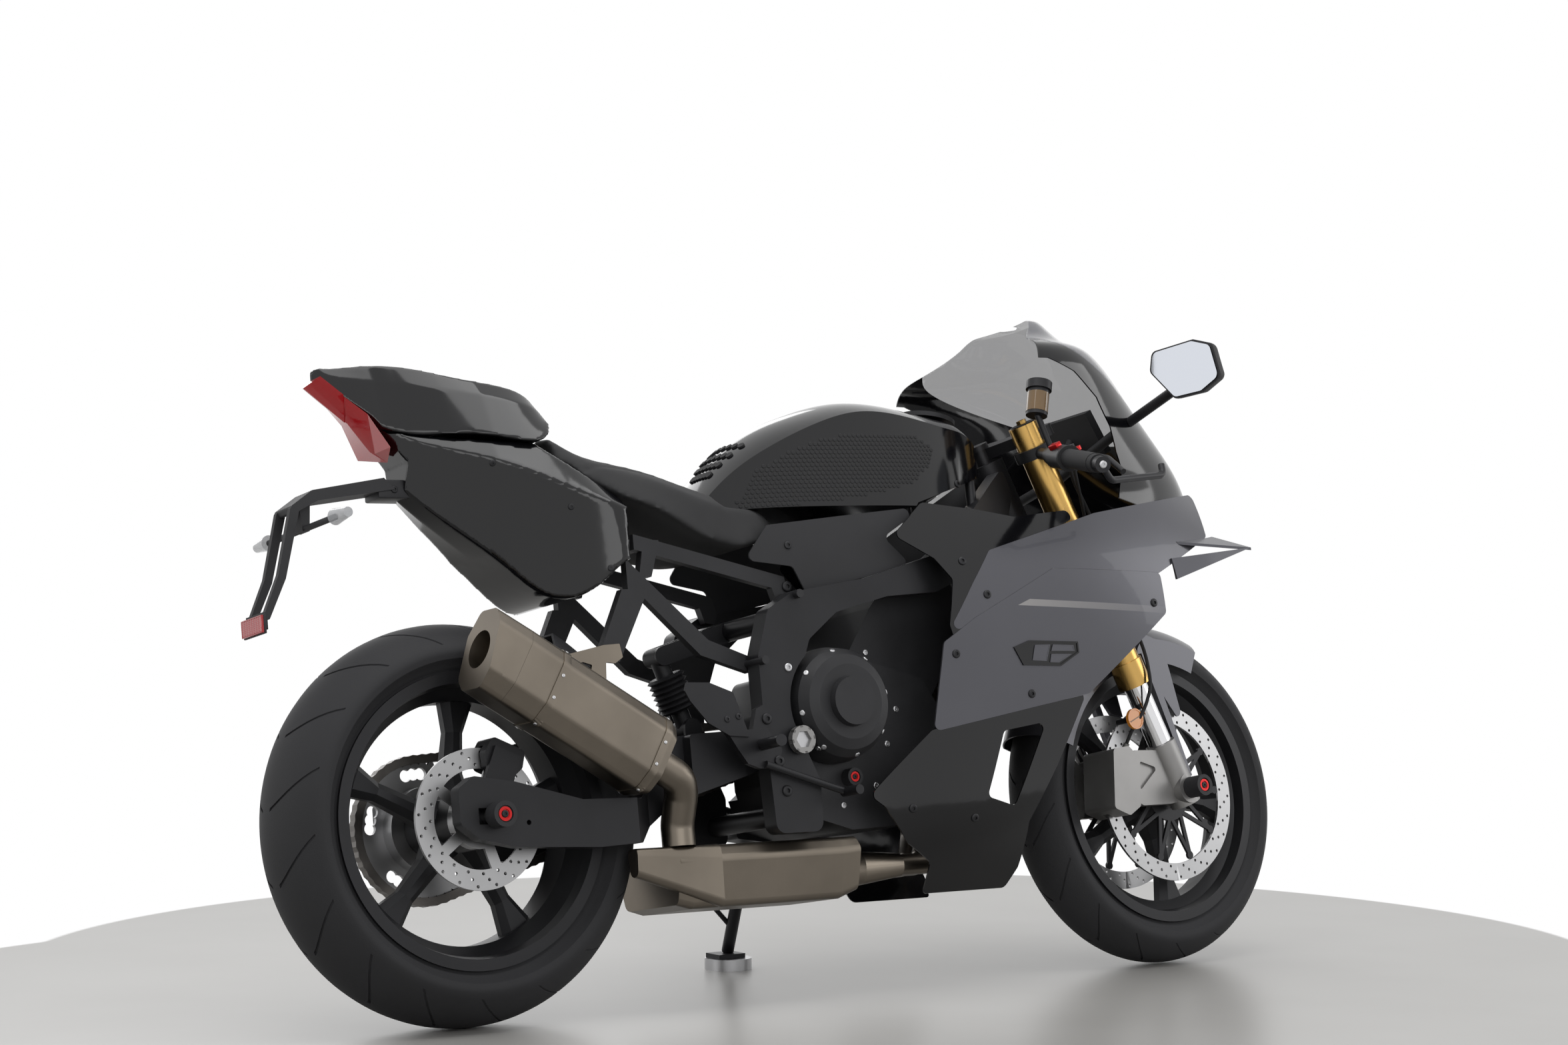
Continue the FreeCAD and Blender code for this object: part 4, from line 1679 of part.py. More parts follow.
INNER_COWL_SHARES = [
    (0.106, 0.844), (0.187, 0.925), (0.300, 0.905), (0.378, 0.885), (0.576, 0.912), (0.416, 0.832), (0.320, 0.792),
    (0.289, 0.761), (0.221, 0.630), (0.224, 0.598), (0.200, 0.580), (0.190, 0.625), (0.209, 0.733), (0.179, 0.785),
]


def fairing_wall():
    """The right-hand skin of the fairing as one curved wall, before it is cut into panels."""
    columns = []
    for x_share, halves in zip(FAIRING_X_SHARES, FAIRING_HALF_SHARES):
        x = FAIRING_REAR + FAIRING_LENGTH * x_share
        columns.append(
            [V(x, -FAIRING_HALF * half, FAIRING_BASE + FAIRING_HEIGHT * z) for z, half in zip(FAIRING_Z_SHARES, halves)]
        )
    return sheet(columns, WALL)


def fairing_core(grow):
    """All that lies inside the fairing's skin on the right, grown outward."""
    columns = []
    for x_share, halves in zip(FAIRING_X_SHARES, FAIRING_HALF_SHARES):
        x = FAIRING_REAR + FAIRING_LENGTH * x_share
        columns.append(
            [V(x, -FAIRING_HALF * half - grow, FAIRING_BASE + FAIRING_HEIGHT * z) for z, half in zip(FAIRING_Z_SHARES, halves)]
        )
    return sheet(columns, FAIRING_HALF)


def panel_prism(shares, corner, grow=0.0):
    """A side-view outline of the fairing as a prism through its right half, grown all round."""
    box = (FAIRING_REAR, FAIRING_BASE, FAIRING_LENGTH, FAIRING_HEIGHT)
    wire = rounded_wire([V(x, -FAIRING_HALF - OVERRUN, z) for x, z in placed(box, shares)], corner)
    if grow:
        wire = wire.makeOffset2D(grow)
    return Part.Face(wire).extrude(V(0, FAIRING_HALF + OVERRUN, 0))


PANEL_CORNER = 10.0


def fairing_panel(shares, beside=(), window=None):
    """One panel cut from the fairing's skin by its outline, a seat gap short of the panels beside it, on both sides."""
    panel = fairing_wall().common(panel_prism(shares, PANEL_CORNER))
    for other in beside:
        panel = panel.cut(panel_prism(other, PANEL_CORNER, SEAT_GAP))
    if window:
        panel = panel.cut(panel_prism(window, PANEL_CORNER))
    return both(largest(panel))


# Nose and screen: thin shells lofted through plan-view sections
NOSE_Z_SHARES = [0.000, 0.127, 0.288, 0.472, 0.599, 0.730, 0.790, 0.836, 0.910, 0.968, 1.000]
NOSE_TIP_SHARES = [1.000, 0.984, 0.922, 0.780, 0.667, 0.539, 0.478, 0.431, 0.353, 0.288, 0.249]
NOSE_REAR_SHARES = [0.000, 0.000, 0.000, 0.000, 0.000, 0.000, 0.016, 0.055, 0.139, 0.194, 0.229]
NOSE_HALF_SHARES = [0.778, 0.811, 0.868, 0.920, 0.958, 1.000, 0.943, 0.740, 0.509, 0.311, 0.113]
NOSE_CURVE_SHARES = [(0.0, 1.0), (0.25, 1.0), (0.55, 0.88), (0.80, 0.64), (0.94, 0.34), (1.0, 0.0)]
NOSE_PARAMETER_SHARES = [0.0, 0.10, 0.23, 0.35, 0.44, 0.50, 0.56, 0.65, 0.77, 0.90, 1.0]
NOSE_REAR = 1110.0
NOSE_LENGTH = 490.0
NOSE_BASE = 745.0
NOSE_HEIGHT = 434.0
NOSE_HALF = 212.0
SCREEN_EDGE_SHARES = [(-0.20, 0.905), (0.055, 0.832), (0.480, 0.611), (0.735, 0.495), (1.20, 0.35)]
COWL_EDGE_SHARES = [
    (0.040, 0.728), (0.160, 0.680), (0.286, 0.585), (0.351, 0.472), (0.371, 0.362), (0.400, 0.290), (0.390, 0.180),
    (0.640, 0.120), (0.700, 0.035), (1.20, 0.035),
]
COWL_REAR_SHARE = -0.05


def nose_curve(i, inset):
    """One plan-view curve of the nose at a given height, pulled in by an inset."""
    z = NOSE_BASE + NOSE_HEIGHT * NOSE_Z_SHARES[i]
    rear = NOSE_REAR + NOSE_LENGTH * NOSE_REAR_SHARES[i]
    tip = NOSE_REAR + NOSE_LENGTH * NOSE_TIP_SHARES[i]
    half = NOSE_HALF * NOSE_HALF_SHARES[i]
    right = [V(rear + (tip - inset * 1.4 - rear) * u, -(half - inset) * v, z) for u, v in NOSE_CURVE_SHARES]
    left = [V(p.x, -p.y, p.z) for p in reversed(right[:-1])]
    spline = Part.BSplineCurve()
    spline.interpolate(Points=right + left, Parameters=NOSE_PARAMETER_SHARES)
    return spline.toShape(), right[0], left[-1]


def nose_solid(inset):
    """The nose bubble as a filled solid, its skin pulled in by an inset."""
    wires = []
    for i in range(len(NOSE_Z_SHARES)):
        curve, right, left = nose_curve(i, inset)
        wires.append(Part.Wire([curve, Part.LineSegment(left, right).toShape()]))
    return Part.makeLoft(wires, True, False)


def nose_shell():
    """The whole nose bubble, screen included, as one thin shell open at the back."""
    wires = []
    for i in range(len(NOSE_Z_SHARES)):
        outer, right_outer, left_outer = nose_curve(i, 0)
        inner, right_inner, left_inner = nose_curve(i, WALL)
        left = Part.LineSegment(left_outer, left_inner).toShape()
        right = Part.LineSegment(right_inner, right_outer).toShape()
        wires.append(Part.Wire([outer, left, inner, right]))
    return Part.makeLoft(wires, True, False)


def nose_outline(shares, lift, close):
    """A side-view cutter above or below a line of the nose, moved by a lift."""
    line = [(x, z + lift) for x, z in placed((NOSE_REAR, NOSE_BASE, NOSE_LENGTH, NOSE_HEIGHT), shares)]
    end = NOSE_BASE + NOSE_HEIGHT * close
    return across(line + [(line[-1][0], end), (line[0][0], end)], -NOSE_HALF - OVERRUN, NOSE_HALF + OVERRUN)


def windscreen():
    """The tinted screen: the upper part of the nose bubble."""
    return nose_shell().common(nose_outline(SCREEN_EDGE_SHARES, SEAT_GAP, 1.5))


LAMP_SHARES = [(0.06, 0.250), (0.27, 0.233), (0.27, 0.178), (0.06, 0.160)]
PANEL_SHARES = (0.48, 0.500)
PANEL_SIZE = V(16.0, 150.0, 84.0)
PANEL_TILT = -28.0
KNEE_SHARES = (0.40, 0.330)
STAY_RADIUS = 9.0


def lamp_prism(grow):
    """A prism along the bike through one headlamp's outline, grown all round."""
    start = NOSE_REAR + NOSE_LENGTH / 2
    points = [V(start, -NOSE_HALF * u, NOSE_BASE + NOSE_HEIGHT * w) for u, w in LAMP_SHARES]
    wire = Part.makePolygon(points + points[:1])
    if grow:
        wire = wire.makeOffset2D(grow)
    return Part.Face(wire).extrude(V(NOSE_LENGTH, 0, 0))


def headlights():
    """The two headlamp lenses, let into the nose."""
    return both(largest(nose_shell().common(lamp_prism(0))))


def upper_cowl():
    """The painted nose below the screen, cut away at the sides for the rider's hands and open for the lamps."""
    room = lamp_prism(SEAT_GAP)
    shell = nose_shell().cut([nose_outline(SCREEN_EDGE_SHARES, 0, 1.5), room, mirrored(room)])
    rear = [(COWL_REAR_SHARE, COWL_EDGE_SHARES[0][1])]
    return largest(shell.common(nose_outline(rear + COWL_EDGE_SHARES, 0, 1.5)))


def nose_place(shares, y):
    """A point in the nose, from shares of its length and height."""
    return V(NOSE_REAR + NOSE_LENGTH * shares[0], y, NOSE_BASE + NOSE_HEIGHT * shares[1])


def instrument_stay():
    """The stay ahead of the steering head that carries the nose and the instrument panel."""
    knee = nose_place(KNEE_SHARES, 0)
    core = nose_solid(WALL + SEAT_GAP)
    pieces = [rod(HEAD_MIDDLE, knee, STAY_RADIUS)]
    for side in (-1, 1):
        end = V(STALK_FOOT.x, STALK_FOOT.y * side, STALK_FOOT.z)
        pieces.append(rod(knee, end + (end - knee) * 0.25, STAY_RADIUS).common(core))
    centre = nose_place(PANEL_SHARES, 0)
    panel = Part.makeBox(PANEL_SIZE.x, PANEL_SIZE.y, PANEL_SIZE.z, PANEL_SIZE * -0.5)
    panel.rotate(V(0, 0, 0), V(0, 1, 0), PANEL_TILT)
    panel.translate(centre)
    body = Part.makeSphere(STAY_RADIUS, knee).fuse(pieces + [panel, rod(knee, centre, STAY_RADIUS)])
    head = from_steering(Part.makeCylinder(HEAD_TUBE_RADIUS + SEAT_GAP, FORK_TOP))
    return largest(body.cut(head)).removeSplitter()


# Mirrors
MIRROR_PLACE = V(1300.0, -372.0, 1012.0)
MIRROR_SHARES = [(-0.50, -0.30), (-0.42, 0.34), (-0.16, 0.50), (0.44, 0.46), (0.50, 0.10), (0.18, -0.50), (-0.22, -0.50)]
MIRROR_WIDTH = 150.0
MIRROR_HEIGHT = 96.0
MIRROR_DEPTH = 34.0
MIRROR_TURN = 12.0
STALK_FOOT = V(1352.0, -150.0, 962.0)
STALK_RADIUS = 9.0


def mirror_plate(depth_low, depth_high, size):
    """A slice of the right mirror's head, as deep as asked, turned towards the rider."""
    points = [V(0, u * MIRROR_WIDTH * size, v * MIRROR_HEIGHT * size) for u, v in MIRROR_SHARES]
    wire = rounded_wire(points, 12.0)
    wire.translate(V(depth_low, 0, 0))
    body = Part.Face(wire).extrude(V(depth_high - depth_low, 0, 0))
    body.rotate(V(0, 0, 0), V(0, 0, 1), MIRROR_TURN)
    body.translate(MIRROR_PLACE)
    return body


def mirror_housings():
    """Both mirrors: a shell that tapers forward, on a stalk that stands on the cowl."""
    wires = []
    for depth, size in ((0.0, 1.0), (MIRROR_DEPTH * 0.6, 0.92), (MIRROR_DEPTH, 0.62)):
        points = [V(depth, u * MIRROR_WIDTH * size, v * MIRROR_HEIGHT * size) for u, v in MIRROR_SHARES]
        wires.append(rounded_wire(points, 12.0 * size))
    head = Part.makeLoft(wires, True, False)
    head.rotate(V(0, 0, 0), V(0, 0, 1), MIRROR_TURN)
    head.translate(MIRROR_PLACE)
    elbow = MIRROR_PLACE + V(MIRROR_DEPTH * 0.6, MIRROR_WIDTH * 0.2, -MIRROR_HEIGHT * 0.2)
    stalk = rod(STALK_FOOT, elbow, STALK_RADIUS)
    body = head.fuse(stalk).cut(nose_solid(-SEAT_GAP))
    return both(max(body.Solids, key=lambda solid: solid.Volume))


def mirror_glass():
    """The mirrors' glass, laid on the housings' backs."""
    return both(mirror_plate(-SEAT_GAP - WALL, -SEAT_GAP, 0.93))


# Winglets, on the fairing's upper band
WINGLET_THICK = 5.0


WINGLET_UPPER_SHARES = [(0.678, 0.873, 0.836), (0.887, 0.729, 0.858), (0.952, 1.000, 0.808)]
WINGLET_OUTER_SHARES = [(0.744, 0.975, 0.781), (0.952, 1.000, 0.808), (0.747, 1.000, 0.728)]


def fairing_place(shares):
    """A point beside the fairing, from shares of its length, half-width and height."""
    u, v, w = shares
    return V(FAIRING_REAR + FAIRING_LENGTH * u, -FAIRING_HALF * v, FAIRING_BASE + FAIRING_HEIGHT * w)


def blade(shares, offset):
    """A flat three-cornered blade."""
    points = [fairing_place(share) for share in shares]
    return Part.Face(Part.makePolygon(points + points[:1])).extrude(offset)


def winglets():
    """The winglets: an upper blade that runs out from the nose to a tip, and an outer blade back under it."""
    upper = blade(WINGLET_UPPER_SHARES, V(0, 0, -WINGLET_THICK))
    outer = blade(WINGLET_OUTER_SHARES, V(0, WINGLET_THICK, 0))
    return both(upper.fuse(outer).cut(fairing_core(SEAT_GAP)))


# Tail light, plate holder and signals
LIGHT_SHARES = [(-0.01, 0.995), (0.215, 0.60), (0.250, 0.64), (0.04, 1.00)]


def tail_light():
    """The red lenses: the lamp down each side of the tail's tip, and the reflector at the plate bracket's foot."""
    box = (TAIL_REAR, TAIL_BASE, TAIL_LENGTH, TAIL_HEIGHT)
    band = across(placed(box, LIGHT_SHARES), -TAIL_HALF, TAIL_HALF)
    lamp = tail_solid(WALL).common(band).cut([seam(0), tail_solid(SEAT_GAP)])
    return Part.Compound(lamp.Solids + rear_reflector().Solids)


PLATE_ARM_WIDTH = 60.0
PLATE_ARM_THICK = 16.0
SIGNAL_RADIUS = 13.0


def plate_holder():
    """The skeleton plate bracket: an arm back from under the tail and two prongs that bend down."""
    arm = across(
        [(-40.0, 846.0), (-205.0, 822.0), (-248.0, 800.0), (-252.0, 812.0), (-214.0, 838.0), (-40.0, 868.0)],
        -PLATE_ARM_WIDTH / 2, PLATE_ARM_WIDTH / 2, 4.0,
    )
    prong = across(
        [(-238.0, 806.0), (-268.0, 700.0), (-300.0, 636.0), (-310.0, 640.0), (-280.0, 706.0), (-252.0, 812.0)],
        -PLATE_ARM_WIDTH / 2, -PLATE_ARM_WIDTH / 2 + 10.0, 3.0,
    )
    crossbar = rod(V(-222.0, -118.0, 780.0), V(-222.0, 118.0, 780.0), 5.0)
    post = across([(-216.0, 776.0), (-228.0, 776.0), (-232.0, 822.0), (-212.0, 826.0)], -PLATE_ARM_THICK, PLATE_ARM_THICK)
    foot = Part.makeBox(PLATE_ARM_THICK / 2, PLATE_ARM_WIDTH, 26.0, V(-311.0, -PLATE_ARM_WIDTH / 2, 622.0))
    body = arm.fuse([prong, mirrored(prong), crossbar, post, foot]).removeSplitter()
    return max(body.cut(tail_solid(SEAT_GAP)).Solids, key=lambda solid: solid.Volume)


def turn_signals():
    """The rear turn signals: short stalked lamps on the plate bracket's crossbar."""
    centre = V(-222.0, -118.0 - SEAT_GAP, 780.0)
    lamp = Part.makeCone(SIGNAL_RADIUS, SIGNAL_RADIUS * 0.6, 44.0, centre, V(0, -1, 0))
    return both(lamp)


def rear_reflector():
    """The red reflector at the bracket's foot."""
    return Part.makeBox(6.0, 76.0, 30.0, V(-317.3, -38.0, 615.0))


# Subframe, tank side covers and radiator
RAIL_THICK = 16.0
RAIL_HALF = 119.0
UPPER_RAIL_SHARES = [
    (0.00, 0.90), (0.99, 0.62), (1.02, 0.50), (0.99, 0.43), (0.93, 0.44), (0.90, 0.545), (0.00, 0.80),
]
LOWER_RAIL_SHARES = [(-0.10, 0.78), (0.44, 0.20), (0.72, 0.08), (0.70, -0.02), (0.38, 0.10), (-0.14, 0.68)]
STRUT_SHARES = [(0.02, 0.62), (0.10, 0.62), (0.16, 0.82), (0.06, 0.84)]
HANGER_STRUT_SHARES = [(-0.05, 0.66), (0.08, 0.56), (-0.15, 0.07), (-0.25, 0.07), (-0.25, 0.18)]
RAIL_BOSS_SHARES = [(0.966, 0.475), (0.690, 0.036)]
RAIL_BOSS_RADIUS = 7.0
BRIDGE_SHARE = 0.83
SUBFRAME_BOX = (303.0, 534.0, 290.0, 248.0)


def subframe():
    """The light rear frame: two rails on each side from the spars back to the tail, and the silencer's strut."""
    x, z, length, height = SUBFRAME_BOX
    pieces = []
    for shares in (UPPER_RAIL_SHARES, LOWER_RAIL_SHARES, STRUT_SHARES, HANGER_STRUT_SHARES):
        pieces.append(across(placed(SUBFRAME_BOX, shares), -RAIL_HALF, -RAIL_HALF + RAIL_THICK))
    spar = frame_spar(-1)
    for boss_x, boss_z in placed(SUBFRAME_BOX, RAIL_BOSS_SHARES):
        start = V(boss_x, -RAIL_HALF + RAIL_THICK / 2, boss_z)
        boss = rod(start, V(boss_x, -SPAR_HALF, boss_z), RAIL_BOSS_RADIUS)
        pieces.append(seated(boss, spar, V(0, 1, 0), start))
    half = pieces[0].fuse(pieces[1:])
    bridge = Part.makeBox(RAIL_THICK * 3, RAIL_HALF * 2, RAIL_THICK / 2, V(x, -RAIL_HALF, z + height * BRIDGE_SHARE))
    body = half.fuse([mirrored(half), bridge])
    tail = Part.makeBox(TAIL_LENGTH, TAIL_HALF * 4, TAIL_HEIGHT * 2, V(TAIL_REAR + SEAT_GAP, -TAIL_HALF * 2, TAIL_BASE - SEAT_GAP))
    return largest(body.cut(tail)).removeSplitter()


COVER_SHARES = [(0.13, 0.79), (0.99, 1.00), (0.73, 0.61), (0.87, 0.26), (0.30, -0.04), (0.24, 0.28), (0.00, 0.37)]
COVER_REAR = 513.0
COVER_LENGTH = 354.0
COVER_BASE = 664.0
COVER_HEIGHT = 138.0
COVER_HALF_SHARES = [0.72, 0.84, 0.95, 1.00]
COVER_HALF = 168.0


def cover_wall():
    """The curved wall of the tank's right side cover, before it is cut to its outline."""
    columns = []
    for i, half in enumerate(COVER_HALF_SHARES):
        x = COVER_REAR + COVER_LENGTH * (i / 2.9 - 0.02)
        columns.append([V(x, -COVER_HALF * half * v, COVER_BASE - OVERRUN + (COVER_HEIGHT + 2 * OVERRUN) * k / 2) for k, v in enumerate((0.97, 1.0, 0.95))])
    return sheet(columns, WALL)


def tank_side_covers():
    """The matt covers below the tank on both sides."""
    outline = placed((COVER_REAR, COVER_BASE, COVER_LENGTH, COVER_HEIGHT), COVER_SHARES)
    cover = cover_wall().common(across(outline, -COVER_HALF * 1.2, 0, PANEL_CORNER))
    spar = frame_spar(-1)
    raised = spar.copy()
    raised.translate(V(0, 0, SEAT_GAP))
    return both(largest(cover.cut([spar, raised])))


RADIATOR_THICK = 30.0
RADIATOR_HALF = 150.0
RADIATOR_LOW = V(1022.0, 0, 425.0)
RADIATOR_HIGH = V(1092.0, 0, 700.0)
RADIATOR_LUG_HALF = 68.0
RADIATOR_LUG_RISE = 130.0
RADIATOR_LUG_RADIUS = 8.0
RADIATOR_LUG_SHARE = 0.06


def radiator():
    """The radiator ahead of the engine, leaning forward at the top."""
    up = RADIATOR_HIGH - RADIATOR_LOW
    length = up.Length
    body = Part.makeBox(RADIATOR_THICK, RADIATOR_HALF * 2, length, V(-RADIATOR_THICK / 2, -RADIATOR_HALF, 0))
    body.rotate(V(0, 0, 0), V(0, 1, 0), math.degrees(math.atan2(up.x, up.z)))
    body.translate(RADIATOR_LOW)
    foot = RADIATOR_HIGH - up * RADIATOR_LUG_SHARE + V(0, -RADIATOR_LUG_HALF, 0)
    lug = rod(foot, foot + V(0, 0, RADIATOR_LUG_RISE), RADIATOR_LUG_RADIUS)
    lug = seated(lug, frame_spar(-1), V(0, 0, -1), foot)
    return body.fuse([lug, mirrored(lug)]).removeSplitter()


# Side stand and its block
def lean_point(point):
    """A point after the whole bike leans to its left about the ground line."""
    lean = math.radians(LEAN)
    return V(point.x, point.y * math.cos(lean) + point.z * math.sin(lean), point.z * math.cos(lean) - point.y * math.sin(lean))


def upright_point(point):
    """The bike-frame place of a point given on the leaning bike."""
    lean = math.radians(LEAN)
    return V(point.x, point.y * math.cos(lean) - point.z * math.sin(lean), point.z * math.cos(lean) + point.y * math.sin(lean))


def sink(radius, half, drop):
    """How far a round-crowned tyre sinks below the ground line when it leans about that line."""
    crown = (half * half + drop * drop) / (2 * drop)
    return crown * (1 - math.cos(math.radians(LEAN)))


GROUND_DROP = sink(REAR_RADIUS, REAR_TYRE_HALF, REAR_CROWN_DROP)
FOOT_THICK = 8.0
LEG_RADIUS = 11.0
EYE_RADIUS = 20.0


def stand_foot():
    """Centre of the side stand's foot pad, in the bike frame, resting on the block."""
    return upright_point(V(PUCK_X, PUCK_Y, PUCK_HEIGHT + FOOT_THICK / 2 + SEAT_GAP - GROUND_DROP))


STAND_PIVOT = V(STAND_PIVOT_X, STAND_PIVOT_Y, STAND_PIVOT_Z)
STAND_FOLDED = V(-0.95, 0.20, 0.10)
TANG_LOW_SHARE = 0.80
TANG_REACH = 46.0


def stand_axis():
    """Unit vector of the side stand's hinge: it carries the leg from down and out to level and back."""
    leg = stand_foot() - STAND_PIVOT
    axis = leg.cross(STAND_FOLDED)
    axis.normalize()
    return axis


def side_stand():
    """The side stand: a leg with an eye at the top, a foot that lies on the block and a tang for the boot."""
    foot = stand_foot()
    axis = stand_axis()
    eye = Part.makeCylinder(EYE_RADIUS, LEG_RADIUS * 2, STAND_PIVOT - axis * LEG_RADIUS, axis)
    ankle = foot + V(0, 0, LEG_RADIUS * 0.75)
    leg = rod(STAND_PIVOT, ankle, LEG_RADIUS)
    pad = Part.makeBox(LEG_RADIUS * 5, LEG_RADIUS * 4, FOOT_THICK, V(-LEG_RADIUS * 3, -LEG_RADIUS * 2, -FOOT_THICK / 2))
    pad.rotate(V(0, 0, 0), V(1, 0, 0), LEAN)
    pad.translate(foot)
    low = STAND_PIVOT + (ankle - STAND_PIVOT) * TANG_LOW_SHARE
    tang = rod(low, low + V(-TANG_REACH, -TANG_REACH * 0.3, TANG_REACH * 0.9), LEG_RADIUS * 0.4)
    return eye.fuse([leg, pad, tang]).removeSplitter()


def stand_bracket():
    """The plate on the engine's left side that the side stand turns on."""
    inner = ENGINE_HALF + SEAT_GAP
    outer = STAND_PIVOT_Y
    x = STAND_PIVOT_X
    reach = EYE_RADIUS
    plate = across([(x - reach * 3, STAND_PIVOT_Z - reach * 0.4), (x + reach, STAND_PIVOT_Z - reach), (x + reach, STAND_PIVOT_Z + reach), (x - reach * 3, STAND_PIVOT_Z + reach)], inner, outer, LEG_RADIUS / 2)
    axis = stand_axis()
    if axis.y < 0:
        axis = axis * -1
    face = STAND_PIVOT - axis * (LEG_RADIUS + SEAT_GAP)
    return plate.cut(Part.makeCylinder(EYE_RADIUS * 4, EYE_RADIUS * 4, face, axis))


def stand_puck():
    """The round aluminium block under the stand's foot, drawn where it stands on the ground."""
    return Part.makeCylinder(PUCK_RADIUS, PUCK_HEIGHT, V(PUCK_X, PUCK_Y, -GROUND_DROP))


def rear_axle():
    """The rear axle through the swingarm, with its adjuster blocks."""
    half = ARM_INNER + ARM_THICK + 6.0
    return Part.makeCylinder(AXLE_RADIUS, half * 2, V(0, -half, REAR_AXLE_Z), V(0, 1, 0))


ON_ROOT = "chassis"
ON_STEERING = "steering"
ON_REAR = "rear_wheel"
ON_FRONT = "front_wheel"
ON_STAND = "side_stand"


def nodes():
    """Every node: its name, the body that it belongs to and its shape in the bike frame."""
    return [
        ("rear_tyre", ON_REAR, tyre(REAR_CENTRE, REAR_RADIUS, REAR_TYRE_HALF, REAR_CROWN_DROP, REAR_RIM_HALF)),
        ("rear_rim", ON_REAR, wheel(REAR_CENTRE, REAR_RIM_HALF, REAR_HUB_HALF, 0.0)),
        ("rear_disc", ON_REAR, rear_rotor()),
        ("rear_sprocket", ON_REAR, rear_sprocket()),
        ("front_tyre", ON_FRONT, tyre(FRONT_CENTRE, FRONT_RADIUS, FRONT_TYRE_HALF, FRONT_CROWN_DROP, FRONT_RIM_HALF)),
        ("front_rim", ON_FRONT, wheel(FRONT_CENTRE, FRONT_RIM_HALF, FRONT_HUB_HALF, 20.0)),
        ("front_discs", ON_FRONT, front_rotors()),
        ("front_disc_carriers", ON_FRONT, Part.Compound([front_carrier(-1), front_carrier(1)])),
        ("fork_outer_tubes", ON_STEERING, fork_outer_tubes()),
        ("fork_inner_tubes", ON_STEERING, fork_inner_tubes()),
        ("fork_lugs", ON_STEERING, fork_lugs()),
        ("fork_yokes", ON_STEERING, fork_yokes()),
        ("handlebars", ON_STEERING, handlebars()),
        ("grips", ON_STEERING, grips()),
        ("bar_controls", ON_STEERING, bar_controls()),
        ("front_brake_hoses", ON_STEERING, front_brake_hoses()),
        ("front_axle", ON_STEERING, front_axle()),
        ("front_calipers", ON_STEERING, front_calipers()),
        ("front_fender", ON_STEERING, front_fender()),
        ("main_frame", ON_ROOT, main_frame()),
        ("engine", ON_ROOT, engine()),
        ("clutch_cover", ON_ROOT, clutch_cover()),
        ("generator_cover", ON_ROOT, generator_cover()),
        ("swingarm", ON_ROOT, swingarm()),
        ("swingarm_pivot", ON_ROOT, swingarm_pivot()),
        ("front_sprocket", ON_ROOT, front_sprocket()),
        ("rear_axle", ON_ROOT, rear_axle()),
        ("rear_shock", ON_ROOT, rear_shock()),
        ("rear_hugger", ON_ROOT, rear_hugger()),
        ("rear_caliper", ON_ROOT, rear_caliper()),
        ("footrests", ON_ROOT, footrests()),
        ("chain", ON_ROOT, chain()),
        ("collector_box", ON_ROOT, Part.Compound([collector_box(), mid_pipe()])),
        ("exhaust_headers", ON_ROOT, Part.Compound([collector_pipe()] + exhaust_headers().Solids)),
        ("silencer", ON_ROOT, silencer()),
        ("silencer_cap", ON_ROOT, silencer_cap()),
        ("fuel_tank", ON_ROOT, fuel_tank()),
        ("seat", ON_ROOT, seat()),
        ("seat_hump", ON_ROOT, seat_hump()),
        ("tail_body", ON_ROOT, tail_body()),
        ("side_fairings", ON_ROOT, fairing_panel(MAIN_PANEL_SHARES)),
        ("lower_fairings", ON_ROOT, fairing_panel(LOWER_PANEL_SHARES, [MAIN_PANEL_SHARES], WINDOW_SHARES)),
        ("upper_fairings", ON_ROOT, fairing_panel(BAND_SHARES, [MAIN_PANEL_SHARES])),
        ("inner_cowls", ON_ROOT, fairing_panel(INNER_COWL_SHARES, [BAND_SHARES, MAIN_PANEL_SHARES])),
        ("windscreen", ON_ROOT, windscreen()),
        ("upper_cowl", ON_ROOT, upper_cowl()),
        ("headlights", ON_ROOT, headlights()),
        ("instrument_stay", ON_ROOT, instrument_stay()),
        ("mirror_housings", ON_ROOT, mirror_housings()),
        ("mirror_glass", ON_ROOT, mirror_glass()),
        ("winglets", ON_ROOT, winglets()),
        ("tail_light", ON_ROOT, tail_light()),
        ("plate_holder", ON_ROOT, plate_holder()),
        ("turn_signals", ON_ROOT, turn_signals()),
        ("subframe", ON_ROOT, subframe()),
        ("tank_side_covers", ON_ROOT, tank_side_covers()),
        ("radiator", ON_ROOT, radiator()),
        ("side_stand", ON_STAND, side_stand()),
        ("stand_bracket", ON_ROOT, stand_bracket()),
        ("stand_puck", ON_ROOT, stand_puck()),
    ]


def posed(name, body, shape):
    """A node as the bike stands: steered parts turned to their rest angle, then everything leaned."""
    moved = shape.copy()
    if body in (ON_STEERING, ON_FRONT):
        moved.rotate(steering_point(0, 0, 0), steering_point(0, 0, 1) - steering_point(0, 0, 0), STEER_REST)
    if name != "stand_puck":
        moved.rotate(V(0, 0, 0), V(1, 0, 0), -LEAN)
    return moved


def footprint(shapes):
    """The shift that puts the middle of the footprint at the origin and the ground at z = 0."""
    low, high = [1e9] * 3, [-1e9] * 3
    for shape in shapes:
        for point in shape.tessellate(0.3)[0]:
            low = [min(a, b) for a, b in zip(low, point)]
            high = [max(a, b) for a, b in zip(high, point)]
    return V(-(low[0] + high[0]) / 2, -(low[1] + high[1]) / 2, -low[2])


def main():
    os.makedirs("parts", exist_ok=True)
    built = [(name, posed(name, body, shape)) for name, body, shape in nodes()]
    shift = footprint([shape for name, shape in built])
    print("shift", shift)
    for name, shape in built:
        shape.translate(shift)
        shape.exportStep("parts/" + name + ".step")


if __name__ == "__main__":
    main()
